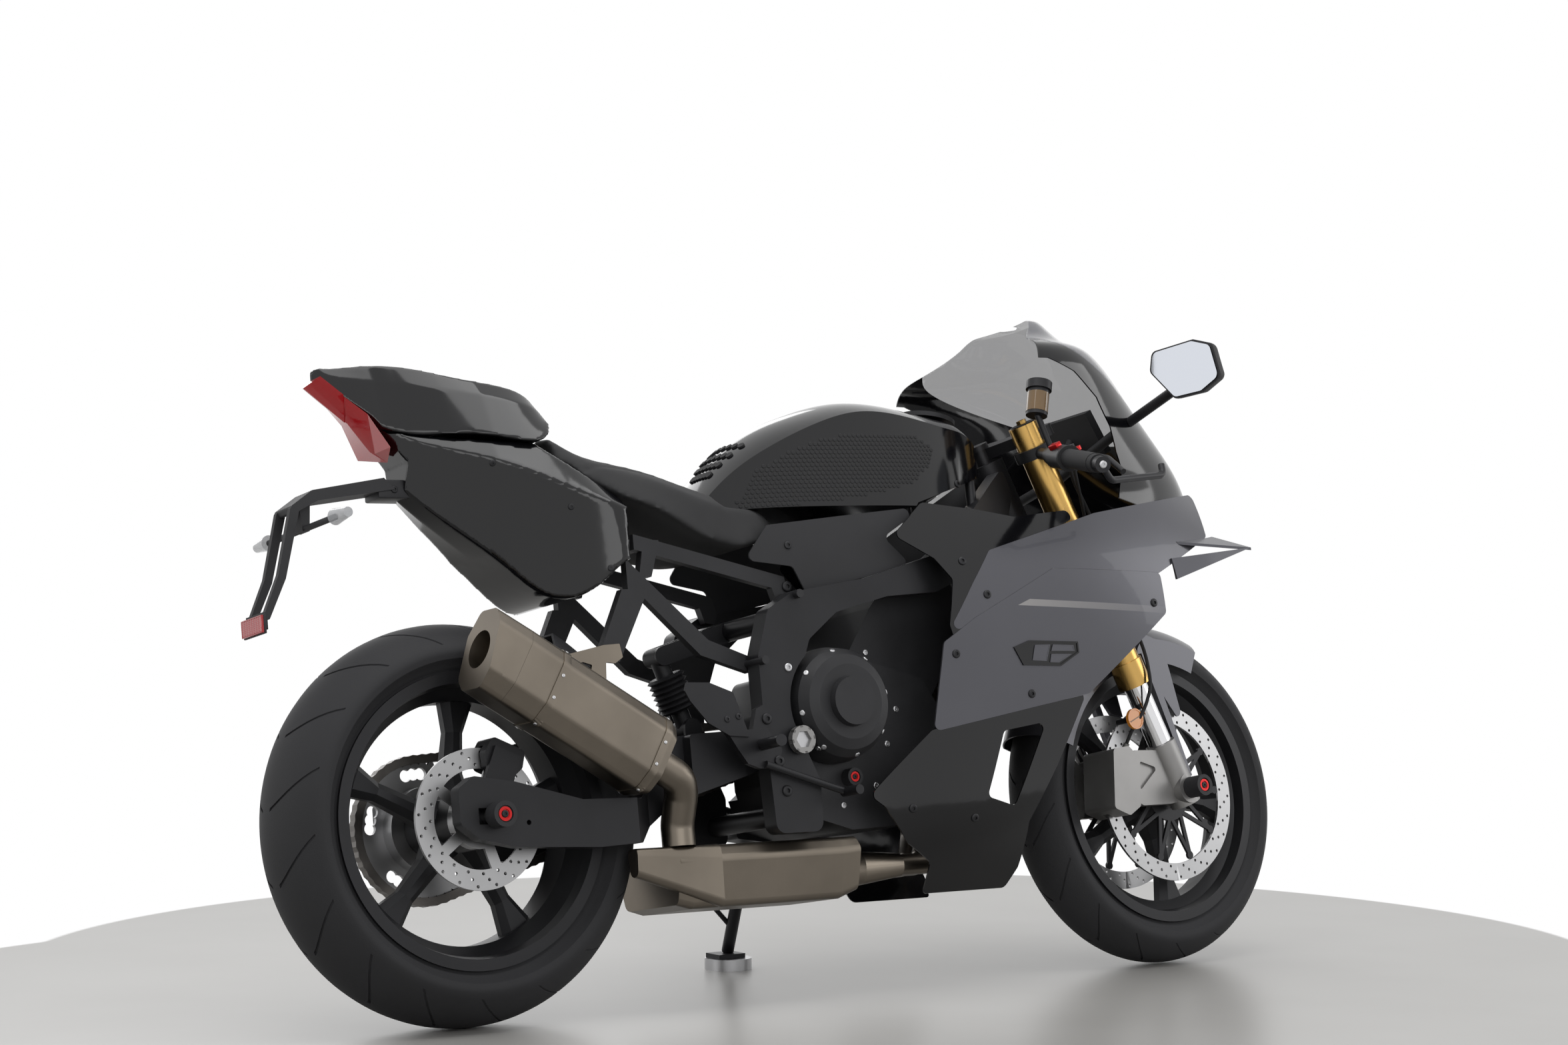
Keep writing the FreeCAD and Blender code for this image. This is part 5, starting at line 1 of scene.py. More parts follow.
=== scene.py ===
# %% [markdown]
# A fully faired sport motorcycle on its side stand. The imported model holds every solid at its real
# size and place. This script loads it, gives each piece the finish that the real one has, and adds
# the small things that the solids leave out, such as tread, screws, seams and rubber pads.

# %% Load the fixed model
import json
import math
from contextlib import contextmanager
import bpy
import bmesh
from mathutils import Matrix, Vector


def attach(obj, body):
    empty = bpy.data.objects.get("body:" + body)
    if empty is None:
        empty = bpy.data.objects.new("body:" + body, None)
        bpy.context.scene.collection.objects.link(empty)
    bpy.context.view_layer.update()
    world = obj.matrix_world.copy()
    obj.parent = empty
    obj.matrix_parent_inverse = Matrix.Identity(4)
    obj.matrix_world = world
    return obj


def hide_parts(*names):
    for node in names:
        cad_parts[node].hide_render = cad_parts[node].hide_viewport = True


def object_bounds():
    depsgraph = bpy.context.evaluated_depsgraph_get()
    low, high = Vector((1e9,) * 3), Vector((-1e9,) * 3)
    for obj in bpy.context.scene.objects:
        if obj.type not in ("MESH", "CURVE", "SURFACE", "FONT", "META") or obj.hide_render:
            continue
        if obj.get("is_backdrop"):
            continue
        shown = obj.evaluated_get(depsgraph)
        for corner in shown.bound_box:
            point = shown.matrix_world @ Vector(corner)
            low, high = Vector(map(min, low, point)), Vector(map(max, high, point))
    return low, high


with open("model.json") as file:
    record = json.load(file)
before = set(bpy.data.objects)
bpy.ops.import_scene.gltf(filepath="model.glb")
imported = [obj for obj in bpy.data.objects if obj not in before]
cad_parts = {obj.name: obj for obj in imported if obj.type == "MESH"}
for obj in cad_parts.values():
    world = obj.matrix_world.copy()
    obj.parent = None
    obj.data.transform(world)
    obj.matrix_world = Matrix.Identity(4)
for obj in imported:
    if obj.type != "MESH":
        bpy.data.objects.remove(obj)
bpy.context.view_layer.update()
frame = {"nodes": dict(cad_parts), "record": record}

# %% [markdown]
# The photograph was taken from behind and to the right with a short telephoto lens, a little below
# seat height. The camera stands at that place and looks the same way, so the lens alone frames the
# motorcycle and nothing has to be shifted.

# %% Camera
LENS, SENSOR = 70.43, 36
CAMERA_AT = Vector((-2.9913, -4.3579, 0.7030))
LOOK = Vector((0.5664, 0.8240, 0.01695))


def shown(thing):
    """Adds an object to the scene."""
    bpy.context.scene.collection.objects.link(thing)
    return thing


camera_data = bpy.data.cameras.new("camera")
camera_data.lens = LENS
camera_data.sensor_width = SENSOR
camera_data.clip_end = 100
camera = shown(bpy.data.objects.new("camera", camera_data))
camera.location = CAMERA_AT
camera.rotation_euler = LOOK.to_track_quat("-Z", "Y").to_euler()
bpy.context.scene.camera = camera
print("camera", [round(v, 3) for v in CAMERA_AT])

# %% [markdown]
# Every look here is a tree of shader nodes. These helpers add a node and give each of its inputs a
# value, or a link when what it is given is another node's output.

# %% Shader nodes
def wire(tree, node, inputs):
    """Gives a node's inputs their values, or their links from other nodes."""
    for key, value in inputs.items():
        if isinstance(value, bpy.types.NodeSocket):
            tree.links.new(value, node.inputs[key])
        else:
            node.inputs[key].default_value = value
    return node


def add(tree, kind, inputs, **settings):
    """Adds a shader node with these settings and inputs."""
    node = tree.nodes.new("ShaderNode" + kind)
    for key, value in settings.items():
        setattr(node, key, value)
    return wire(tree, node, inputs)


def maths(tree, operation, first, second):
    """The output of a Math node with two inputs."""
    return add(tree, "Math", {0: first, 1: second}, operation=operation).outputs["Value"]


def looked_at(tree):
    """A value that is 1 where the camera, a reflection or a window looks straight at something."""
    rays = add(tree, "LightPath", {}).outputs
    straight = maths(tree, "MAXIMUM", rays["Is Camera Ray"], rays["Is Glossy Ray"])
    return maths(tree, "MAXIMUM", straight, rays["Is Transmission Ray"])


def new_material(name):
    """A new material, with its node tree and its main shader."""
    material = bpy.data.materials.new(name)
    material.use_nodes = True
    return material, material.node_tree, material.node_tree.nodes["Principled BSDF"]


print("node helpers ready")

# %% [markdown]
# A studio shot has one large soft light above, a long strip on each side that draws the highlights
# along the panels, and a bright backdrop. The world is grey for light and white where the camera,
# a mirror or a window looks straight at it, so the picture is pale and the paint keeps its colour.

# %% Light and backdrop
WHITE = (1, 1, 1, 1)
WORLD_GREY, WORLD_STRENGTH = (0.62, 0.63, 0.65, 1), 0.55
# Each lamp has its place, the point that it faces, its width and height in metres, and its power.
LAMPS = {
    "lamp_top": ((-0.2, -0.6, 3.4), (0, 0, 0.4), (3.4, 2.2), 56),
    "lamp_right": ((-1.2, -3.6, 1.7), (0, 0, 0.5), (3.0, 1.4), 26),
    "lamp_rear": ((-3.6, 0.8, 1.6), (0, 0, 0.6), (1.6, 1.6), 15),
    "lamp_front": ((3.4, -1.8, 1.6), (0.4, 0, 0.6), (1.8, 1.4), 18),
    "lamp_left": ((0.6, 3.4, 2.0), (0, 0, 0.5), (2.6, 1.4), 22),
}

world = bpy.data.worlds.new("studio")
bpy.context.scene.world = world
world.use_nodes = True
tree = world.node_tree
soft = wire(tree, tree.nodes["Background"], {"Color": WORLD_GREY, "Strength": WORLD_STRENGTH})
bright = add(tree, "Background", {"Color": WHITE, "Strength": 1.0})
mix = add(tree, "MixShader", {
    "Fac": looked_at(tree), 1: soft.outputs["Background"], 2: bright.outputs["Background"]})
wire(tree, tree.nodes["World Output"], {"Surface": mix.outputs["Shader"]})

for name, (at, aim, size, power) in LAMPS.items():
    data = bpy.data.lights.new(name, "AREA")
    data.shape = "RECTANGLE"
    data.size, data.size_y = size
    data.energy = power
    lamp = shown(bpy.data.objects.new(name, data))
    lamp.location = at
    lamp.rotation_euler = (Vector(aim) - Vector(at)).to_track_quat("-Z", "Y").to_euler()
bpy.context.scene.view_settings.view_transform = "Standard"
print(len(LAMPS), "lamps")

# %% [markdown]
# The studio floor is a rounded, pale grey deck with a faint shine, and all beyond it is white. One
# large plane does for both: its colour changes at the deck's edge, which is the outline of two
# circles, and past it the plane glows white to the camera, so no horizon shows.

# %% Floor
DECK = [((0.335, 0.393), 1.46), ((-0.183, -0.343), 1.75)]
DECK_EDGE = 0.012
DECK_GREYS = [(0.38, 0.37, 0.35, 1), (0.46, 0.45, 0.43, 1)]
FLOOR_SIZE = 60


def floor_material():
    """Pale grey inside the deck's circles, and a white glow to the camera outside them."""
    material, tree, shader = new_material("studio_floor")
    at = add(tree, "TexCoord", {}).outputs["Object"]
    outside = looked_at(tree)
    for (x, y), radius in DECK:
        centred = add(tree, "Mapping", {"Vector": at, "Location": (-x, -y, 0)})
        far = add(tree, "VectorMath", {0: centred.outputs["Vector"]}, operation="LENGTH")
        edge = add(tree, "MapRange", {
            "Value": far.outputs["Value"], "From Min": radius, "From Max": radius + DECK_EDGE})
        outside = maths(tree, "MULTIPLY", edge.outputs["Result"], outside)
    noise = add(tree, "TexNoise", {"Vector": at, "Scale": 2.5, "Detail": 6})
    ramp = add(tree, "ValToRGB", {"Fac": noise.outputs["Fac"]})
    for end, grey in zip(ramp.color_ramp.elements, DECK_GREYS):
        end.color = grey
    wire(tree, shader, {"Base Color": ramp.outputs["Color"], "Roughness": 0.32})
    glow = add(tree, "Emission", {"Color": WHITE})
    mixed = add(tree, "MixShader", {
        "Fac": outside, 1: shader.outputs["BSDF"], 2: glow.outputs["Emission"]})
    wire(tree, tree.nodes["Material Output"], {"Surface": mixed.outputs["Shader"]})
    return material


bpy.ops.mesh.primitive_plane_add(size=FLOOR_SIZE, location=(0, 0, 0))
floor = bpy.context.object
floor.name = "floor"
floor.data.materials.append(floor_material())
floor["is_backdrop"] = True
print("studio ready")

# %% [markdown]
# The motorcycle leans on its stand, so a place on it is easier to give in its own upright frame: X to
# the front, Y to the rider's left, Z up, from under the rear axle, in millimetres. Two matrices bring
# such a place into the scene: one for what leans with the frame, and one for what also steers.

# %% Frames of the motorcycle
LEAN = math.radians(9.3)
STEER = math.radians(4.4)
RAKE = math.radians(22.6)
SHIFT = Vector((-0.7008594, -0.1600174, 0.0013933))
STEER_FOOT = Vector((1.514, 0, 0))
MM = 0.001
SIDES = ((-1, "right"), (1, "left"))

UPRIGHT = Matrix.Translation(SHIFT) @ Matrix.Rotation(-LEAN, 4, "X")
UPRIGHT_TURN = UPRIGHT.to_3x3()
BACK = UPRIGHT.inverted()
SIDE = UPRIGHT_TURN @ Vector((0, 1, 0))
steer_axis = Vector((-math.sin(RAKE), 0, math.cos(RAKE)))
turn = Matrix.Translation(STEER_FOOT) @ Matrix.Rotation(STEER, 4, steer_axis) @ Matrix.Translation(-STEER_FOOT)
STEERED = UPRIGHT @ turn
along_fork = Matrix((
    (math.cos(RAKE), 0, -math.sin(RAKE), STEER_FOOT.x),
    (0, 1, 0, 0),
    (math.sin(RAKE), 0, math.cos(RAKE), 0),
    (0, 0, 0, 1),
))
FORK = STEERED @ along_fork


def place(matrix, x, y, z):
    """A point given in millimetres in one of the motorcycle's frames, in the scene."""
    return matrix @ (Vector((x, y, z)) * MM)


print("rear axle at", [round(v, 3) for v in place(UPRIGHT, 0, 0, 315)])

# %% [markdown]
# Each finish starts from the same set of nodes: a base colour that drifts a little between two shades,
# a roughness that drifts too, and a fine bump. What sets the finishes apart is their scale and depth:
# cast metal is coarse, rubber is matt with a fine grain, and paint is smooth under a clear coat.

# %% Finishes
def finish(name, colour, metallic=0.0, roughness=0.5, vary=0.12, scale=60.0, bump=0.05,
           depth=0.0004, coat=0.0, stretch=(1, 1, 1), shine=0.35):
    """A procedural finish: shade and roughness drift with noise, with a fine bump over them."""
    material, tree, shader = new_material(name)
    coordinates = add(tree, "TexCoord", {})
    mapping = add(tree, "Mapping", {"Vector": coordinates.outputs["Object"], "Scale": stretch})
    at = mapping.outputs["Vector"]
    broad = add(tree, "TexNoise", {"Vector": at, "Scale": scale * 0.12, "Detail": 4}).outputs["Fac"]
    fine = add(tree, "TexNoise", {"Vector": at, "Scale": scale * 14, "Detail": 5}).outputs["Fac"]
    shade = add(tree, "ValToRGB", {"Fac": broad})
    dark, light = shade.color_ramp.elements
    dark.position, light.position = 0.35, 0.68
    dark.color = tuple(c * (1 - vary) for c in colour) + (1,)
    light.color = tuple(min(1, c * (1 + vary)) for c in colour) + (1,)
    rough = add(tree, "MapRange", {
        "Value": broad, "To Min": max(0.02, roughness * 0.85), "To Max": min(1, roughness * 1.15)})
    relief = add(tree, "Bump", {"Strength": bump, "Distance": depth, "Height": fine})
    wire(tree, shader, {
        "Metallic": metallic, "Coat Weight": coat, "Coat Roughness": 0.04, "Specular IOR Level": shine,
        "Base Color": shade.outputs["Color"], "Roughness": rough.outputs["Result"],
        "Normal": relief.outputs["Normal"]})
    return material


def glass(name, colour, alpha, glow=0.0):
    """A tinted lens or screen: see-through by its alpha, glossy, with faint dust in its roughness."""
    material = finish(name, colour, roughness=0.06, vary=0.05, scale=40, bump=0.01)
    shader = material.node_tree.nodes["Principled BSDF"]
    wire(material.node_tree, shader, {"Alpha": alpha, "Coat Weight": 0.6})
    # A glow is a faint emission in the lens's own colour. On a part that is no lamp, it is a painted glow.
    if glow:
        wire(material.node_tree, shader, {"Emission Color": colour + (1,), "Emission Strength": glow})
    return material


FINISHES = {
    "tyre": finish(
        "tyre_rubber", (0.022, 0.022, 0.024), roughness=0.72, vary=0.25, scale=30, bump=0.35, depth=0.0006),
    "black_metal": finish(
        "satin_black_metal", (0.018, 0.018, 0.020), metallic=0.35, roughness=0.42, scale=80, bump=0.10),
    "gloss_black": finish(
        "gloss_black_paint", (0.004, 0.004, 0.005), roughness=0.10, vary=0.10, scale=20, bump=0.004,
        coat=0.10, shine=0.40),
    "matt_black": finish(
        "matt_black_plastic", (0.020, 0.020, 0.022), roughness=0.62, vary=0.15, scale=120, bump=0.22,
        depth=0.0003),
    "seat_cover": finish(
        "seat_cover", (0.022, 0.022, 0.023), roughness=0.70, vary=0.18, scale=150, bump=0.55, depth=0.0005),
    "steel": finish(
        "brushed_steel", (0.36, 0.36, 0.365), metallic=1.0, roughness=0.36, vary=0.08, scale=50, bump=0.08,
        stretch=(1, 6, 1)),
    "gold": finish(
        "gold_anodised", (0.56, 0.35, 0.11), metallic=1.0, roughness=0.27, vary=0.07, scale=40, bump=0.04),
    "polished_steel": finish(
        "chromed_tube", (0.72, 0.72, 0.73), metallic=1.0, roughness=0.08, vary=0.03, scale=30, bump=0.01),
    "grey_cast": finish(
        "grey_cast_metal", (0.27, 0.265, 0.26), metallic=0.75, roughness=0.42, vary=0.08, scale=90, bump=0.16),
    "bare_aluminium": finish(
        "bare_aluminium", (0.45, 0.45, 0.46), metallic=1.0, roughness=0.32, vary=0.06, bump=0.06),
    "titanium": finish(
        "blasted_titanium", (0.190, 0.165, 0.135), metallic=1.0, roughness=0.36, vary=0.10, bump=0.22,
        depth=0.0003),
    "dark_cast": finish(
        "dark_cast_metal", (0.022, 0.022, 0.024), metallic=0.3, vary=0.15, scale=110, bump=0.30),
    "rubber": finish(
        "grip_rubber", (0.018, 0.018, 0.019), roughness=0.75, vary=0.15, scale=160, bump=0.5, depth=0.0005),
    "chain_steel": finish(
        "oiled_chain_steel", (0.16, 0.15, 0.14), metallic=0.9, roughness=0.38, vary=0.25, scale=140, bump=0.15),
    "mirror": finish(
        "mirror_glass", (0.24, 0.25, 0.27), metallic=1.0, roughness=0.02, vary=0.01, scale=20, bump=0.0),
    "smoked": glass("smoked_screen", (0.060, 0.062, 0.085), 0.46),
    # The red lens glows faintly. The rear reflector shares this finish and is no lamp, so on it the glow is
    # painted light.
    "red_lens": glass("red_lens", (0.42, 0.008, 0.012), 0.92, glow=0.12),
    "amber_lens": glass("amber_lens", (0.80, 0.28, 0.03), 0.95),
    "clear_lens": glass("clear_lens", (0.42, 0.43, 0.45), 0.62),
    "amber_fluid": glass("amber_fluid", (0.20, 0.12, 0.05), 0.88),
    "red_paint": finish(
        "red_anodised", (0.55, 0.02, 0.02), metallic=0.6, roughness=0.3, vary=0.05, scale=40),
}
print(len(FINISHES), "finishes")

# %% [markdown]
# The side panels are a satin grey metallic with one pale stripe that fades towards the front. Metal
# flake is a cell texture about a millimetre fine that tips each cell's normal a little. The
# stripe is drawn in the motorcycle's own frame: a Mapping node takes the lean back out, and two slanted
# lines and a fade along X do the rest.

# %% Grey metallic paint with its stripe
STRIPE_START, STRIPE_END = 0.990, 1.330
STRIPE_LOW, STRIPE_HIGH = 0.6205, 0.6320
STRIPE_SLOPE = -0.052
STRIPE_SLANT = 2.2
STRIPE_STRENGTH = 0.9
STRIPE_COLOUR = (0.30, 0.29, 0.285, 1)
FLAKES_PER_METRE = 900


def grey_paint(name, striped):
    """The side panels' paint, with its stripe or without it."""
    material = finish(
        name, (0.088, 0.088, 0.100), metallic=0.55, roughness=0.34, vary=0.06, scale=25, bump=0.02, coat=0.25)
    tree = material.node_tree
    nodes = tree.nodes
    at = nodes["Texture Coordinate"].outputs["Object"]
    flake = add(tree, "TexVoronoi", {"Vector": at, "Scale": FLAKES_PER_METRE})
    wire(tree, nodes["Bump"], {"Height": flake.outputs["Color"]})
    if not striped:
        return material
    upright = add(tree, "Mapping", {
        "Vector": at, "Rotation": (LEAN, 0, 0), "Location": -(Matrix.Rotation(LEAN, 3, "X") @ SHIFT)})
    split = add(tree, "SeparateXYZ", {"Vector": upright.outputs["Vector"]}).outputs
    along = maths(tree, "SUBTRACT", split["X"], STRIPE_START)
    level = maths(tree, "SUBTRACT", split["Z"], maths(tree, "MULTIPLY", along, STRIPE_SLOPE))
    above = maths(tree, "GREATER_THAN", level, STRIPE_LOW)
    inside = maths(tree, "MULTIPLY", above, maths(tree, "LESS_THAN", level, STRIPE_HIGH))
    slant = maths(tree, "MULTIPLY", maths(tree, "SUBTRACT", level, STRIPE_LOW), STRIPE_SLANT)
    begins = maths(tree, "GREATER_THAN", along, slant)
    fade = add(tree, "MapRange", {
        "Value": along, "From Min": STRIPE_END - STRIPE_START, "From Max": 0.0}).outputs["Result"]
    amount = maths(tree, "MULTIPLY", maths(tree, "MULTIPLY", inside, begins), fade)
    blend = add(tree, "Mix", {
        "Factor": maths(tree, "MULTIPLY", amount, STRIPE_STRENGTH),
        "A": nodes["Color Ramp"].outputs["Color"], "B": STRIPE_COLOUR}, data_type="RGBA")
    wire(tree, nodes["Principled BSDF"], {"Base Color": blend.outputs["Result"]})
    return material


FINISHES["grey_paint"] = grey_paint("grey_metallic_paint", False)
striped_paint = grey_paint("grey_metallic_striped", True)
print("stripe from", STRIPE_START, "to", STRIPE_END, "m")

# %% [markdown]
# Each solid takes the finish that its slot names. Three have a look of their own: the side panels with
# their stripe, the turn signals with clear lenses and the silencer's cap in bare titanium.

# %% Each solid gets its finish
slots = {entry["node"]: entry["material_slot"] for entry in frame["record"]["subparts"]}
own = {
    "side_fairings": striped_paint,
    "turn_signals": FINISHES["clear_lens"],
    "silencer_cap": FINISHES["titanium"],
}
for name, node in frame["nodes"].items():
    material = own.get(name) or FINISHES[slots[name]]
    if not node.data.materials:
        node.data.materials.append(material)
    for socket in node.material_slots:
        socket.material = material
print("finished", len(frame["nodes"]), "solids")

# %% [markdown]
# Every new piece is made the same way: a primitive is added, edited, and then settled. Settling puts its
# place into its mesh, so that the object itself stays at the origin, smooths it by angle, gives it its
# finish and hangs it on the body of the motorcycle that it moves with.

# %% Helpers for new pieces
def alone(*pieces):
    """Selects these objects and nothing else, with the first one active."""
    bpy.ops.object.select_all(action="DESELECT")
    for piece in pieces:
        piece.select_set(True)
    bpy.context.view_layer.objects.active = pieces[0]


@contextmanager
def editing(piece):
    """Edit mode on the active piece, for as long as the block lasts."""
    bpy.ops.object.mode_set(mode="EDIT")
    yield piece.data
    bpy.ops.object.mode_set(mode="OBJECT")


def modify(piece, kind, **settings):
    """Gives the active piece a modifier with these settings, and applies it."""
    change = piece.modifiers.new(kind.lower(), kind)
    for key, value in settings.items():
        setattr(change, key, value)
    bpy.ops.object.modifier_apply(modifier=change.name)


def settle(piece, name, body, slot, matrix=None, angle=32, look=None):
    """Puts a piece's place into its mesh and gives it a name, a body and the finish of its slot or of a look.
    """
    alone(piece)
    bpy.ops.object.transform_apply(location=True, rotation=True, scale=True)
    if matrix is not None:
        piece.data.transform(matrix)
    piece.name = name
    piece.data.name = name
    bpy.ops.object.shade_smooth_by_angle(angle=math.radians(angle))
    piece.data.materials.clear()
    piece.data.materials.append(FINISHES[look or slot])
    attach(piece, body)


def pick(mesh, test):
    """In edit mode, selects the faces whose centre and normal pass a test, and returns how many."""
    edit = bmesh.from_edit_mesh(mesh)
    chosen = [face for face in edit.faces if test(face.calc_center_median(), face.normal)]
    for face in edit.faces:
        face.select = False
    for face in chosen:
        face.select = True
    edit.select_flush_mode()
    bmesh.update_edit_mesh(mesh)
    return len(chosen)


def touch(names, start, way):
    """Where a ray from start first meets the named solids, with the normal there."""
    best = None
    for name in names:
        hit, point, normal, _ = frame["nodes"][name].ray_cast(start, way.normalized(), distance=3.0)
        if hit and (best is None or (point - start).length < (best[0] - start).length):
            best = (point, normal)
    return best


def from_side(names, x, z, side=-1):
    """Where a ray across the motorcycle first meets the named solids, from its right (-1) or left (1)."""
    return touch(names, place(UPRIGHT, x, 700 * side, z), SIDE * -side)


def outward(normal, way):
    """A normal, turned over if it faces away from a way."""
    return normal if normal.dot(way) > 0 else -normal


def facing(way):
    """A matrix that turns a piece drawn along +Z to face a way."""
    return Vector(way).to_track_quat("Z", "Y").to_matrix().to_4x4()


def stand_on(point, normal, scale=(1, 1, 1), spin=0.0):
    """A matrix that stands a piece drawn along +Z on a surface point."""
    spun = Matrix.Rotation(spin, 4, "Z")
    return Matrix.Translation(point) @ facing(normal) @ spun @ Matrix.Diagonal((*scale, 1))


def standing(matrix, start, way):
    """A matrix that stands a piece drawn along +Z at a start in millimetres, facing a way."""
    return matrix @ Matrix.Translation(Vector(start) * MM) @ facing(way)


def twin(model):
    """A copy of an object with a mesh of its own."""
    part = model.copy()
    part.data = model.data.copy()
    return shown(part)


def copies(model, name, matrices, body, slot, angle=32, look=None):
    """Makes one piece of copies of a model at a list of places."""
    parts = []
    for matrix in matrices:
        part = twin(model)
        part.data.transform(matrix)
        parts.append(part)
    alone(*parts)
    bpy.ops.object.join()
    settle(parts[0], name, body, slot, angle=angle, look=look)


def push(way):
    """Extrudes the selected faces along a way in metres."""
    bpy.ops.mesh.extrude_region_move(TRANSFORM_OT_translate={"value": way})


def select_everything():
    """In edit mode, selects the whole mesh."""
    bpy.ops.mesh.select_all(action="SELECT")


def on_top(centre, normal):
    return normal.z > 0.9


def cylinder(radius, depth, corners=32, bevel=0.0, base=0.0):
    """A cylinder along +Z from a base height, in millimetres, with its two rims bevelled."""
    middle = (0, 0, (base + depth / 2) * MM)
    bpy.ops.mesh.primitive_cylinder_add(vertices=corners, radius=radius * MM, depth=depth * MM, location=middle)
    piece = bpy.context.object
    bpy.ops.object.transform_apply(location=True)
    if bevel:
        with editing(piece) as mesh:
            pick(mesh, lambda centre, normal: abs(normal.z) > 0.9)
            bpy.ops.mesh.region_to_loop()
            bpy.ops.mesh.bevel(offset=bevel * MM, segments=2)
    return piece


def block(low, high, bevel):
    """A bevelled box between two corners, in millimetres."""
    middle = [(a + b) / 2 * MM for a, b in zip(low, high)]
    spans = [abs(b - a) * MM for a, b in zip(low, high)]
    bpy.ops.mesh.primitive_cube_add(size=1, location=middle, scale=spans)
    piece = bpy.context.object
    bpy.ops.object.transform_apply(location=True, scale=True)
    with editing(piece):
        bpy.ops.mesh.bevel(offset=bevel * MM, segments=2)
    return piece


def rounded_top(piece, offset, segments):
    """Rounds the rim of a cylinder's top by an offset in metres."""
    with editing(piece) as mesh:
        pick(mesh, on_top)
        bpy.ops.mesh.region_to_loop()
        bpy.ops.mesh.bevel(offset=offset, segments=segments)
    return piece


def sink_top(piece, inset, depth, corners=0):
    """Insets a cylinder's top face and pushes it down, for a dish or, with corners, for a socket."""
    with editing(piece) as mesh:
        top = max(v.co.z for v in bmesh.from_edit_mesh(mesh).verts)
        pick(mesh, lambda centre, normal: on_top(centre, normal) and centre.z > top - 0.2 * MM)
        bpy.ops.mesh.inset(thickness=inset * MM)
        if corners:
            edit = bmesh.from_edit_mesh(mesh)
            share = math.tau / corners
            for vert in {v for f in edit.faces if f.select for v in f.verts}:
                angle = math.atan2(vert.co.y, vert.co.x) % share - share / 2
                if math.hypot(vert.co.x, vert.co.y):
                    vert.co.xy = vert.co.xy * (math.cos(share / 2) / math.cos(angle))
            bmesh.update_edit_mesh(mesh)
        push((0, 0, -depth * MM))
    return piece


def knurled(radius, depth, corners, share, every=2, base=0.0, bevel=0.8):
    """A cylinder with every so many of its side faces extruded, drawn in to a share of its radius."""
    piece = cylinder(radius, depth, corners=corners, bevel=bevel, base=base)

    def notch(centre, normal):
        turned = math.degrees(math.atan2(centre.y, centre.x)) % 360
        return abs(normal.z) < 0.2 and int(turned / (360 / corners)) % every == 0

    with editing(piece) as mesh:
        pick(mesh, notch)
        bpy.ops.mesh.extrude_region()
        edit = bmesh.from_edit_mesh(mesh)
        for vert in edit.verts:
            if vert.select:
                vert.co.xy = vert.co.xy * share
        bmesh.update_edit_mesh(mesh)
    return piece


def discard(piece):
    """Removes a model that has served."""
    bpy.data.objects.remove(piece, do_unlink=True)


print("helpers ready")

# %% [markdown]
# A road tyre is round and smooth to the touch apart from its grooves, which sweep outward and back from
# near the middle. The outline is spun into rows, every ninth row is extruded inward as a groove, and
# then the rows are bent into the sweep, with the grooves squeezed narrow and the rows between them
# widened to fill. That keeps the grooves crisp with few faces.

# %% Treaded tyres
REAR_HUB, FRONT_HUB = Vector((0, 0, 0.315)), Vector((1.420, 0, 0.300))
GROOVES = 17
ROWS = 9
CROWN_STEPS = 9
GROOVE_DEPTH = 2.6
GROOVE_WIDTH = 0.40
GROOVE_START, GROOVE_END = 0.16, 0.90
SWEEP = 0.26
WALL_RADIUS = 246
BEAD_RADII = (236, 233, 219.2)


def tyre(node, name, body, matrix, centre, radius, half, drop, rim_half):
    """A treaded tyre in millimetres: its radius, half width, the crown's drop and the rim's half width."""
    crown = (half * half + drop * drop) / (2 * drop)
    edge = math.asin(half / crown)
    angles = [edge * i / CROWN_STEPS for i in range(CROWN_STEPS + 1)]
    right = [(crown * math.sin(a), radius - crown * (1 - math.cos(a))) for a in angles]
    shoulder, bead = radius - drop, rim_half - 0.3
    right += [(half, shoulder - 7), (half * 0.985, shoulder - 14), (bead + (half - bead) * 0.62, WALL_RADIUS)]
    right += zip((bead + 1.5, bead, bead), BEAD_RADII)
    outline = right + [(-y, r) for y, r in reversed(right[1:])]
    bpy.ops.mesh.primitive_circle_add(vertices=len(outline), radius=1, fill_type="NOTHING")
    piece = bpy.context.object
    for vert, (y, r) in zip(piece.data.vertices, outline):
        vert.co = (0, y * MM, r * MM)
    steps = GROOVES * ROWS
    share = math.tau / steps

    def row(co):
        return math.atan2(co.x, co.z) % math.tau / share

    def in_groove(co, normal):
        across = abs(co.y) / MM / half
        high = math.hypot(co.x, co.z) / MM > radius - drop * 0.97
        return high and GROOVE_START < across < GROOVE_END and int(row(co)) % ROWS == 0

    with editing(piece) as mesh:
        select_everything()
        bpy.ops.mesh.spin(steps=steps, angle=math.tau, center=(0, 0, 0), axis=(0, 1, 0))
        select_everything()
        bpy.ops.mesh.remove_doubles(threshold=0.00005)
        bpy.ops.mesh.normals_make_consistent(inside=False)
        count = pick(mesh, in_groove)
        bpy.ops.mesh.extrude_region()
        edit = bmesh.from_edit_mesh(mesh)
        for vert in edit.verts:
            long = math.hypot(vert.co.x, vert.co.z)
            if vert.select:
                vert.co.x -= vert.co.x / long * GROOVE_DEPTH * MM
                vert.co.z -= vert.co.z / long * GROOVE_DEPTH * MM
        for vert in edit.verts:
            long = math.hypot(vert.co.x, vert.co.z)
            at = row(vert.co) % ROWS
            whole = row(vert.co) - at
            if at <= 1.0001:
                at = at * GROOVE_WIDTH
            else:
                at = GROOVE_WIDTH + (at - 1) * (ROWS - GROOVE_WIDTH) / (ROWS - 1)
            across = abs(vert.co.y) / MM / half
            angle = (whole + at) * share + SWEEP * across ** 1.6
            vert.co.x, vert.co.z = long * math.sin(angle), long * math.cos(angle)
        bmesh.update_edit_mesh(mesh)
    piece.data.transform(Matrix.Translation(centre))
    settle(piece, name, body, "tyre", matrix, angle=40)
    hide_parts(node)
    print(name, len(piece.data.polygons), "faces,", count, "in grooves")


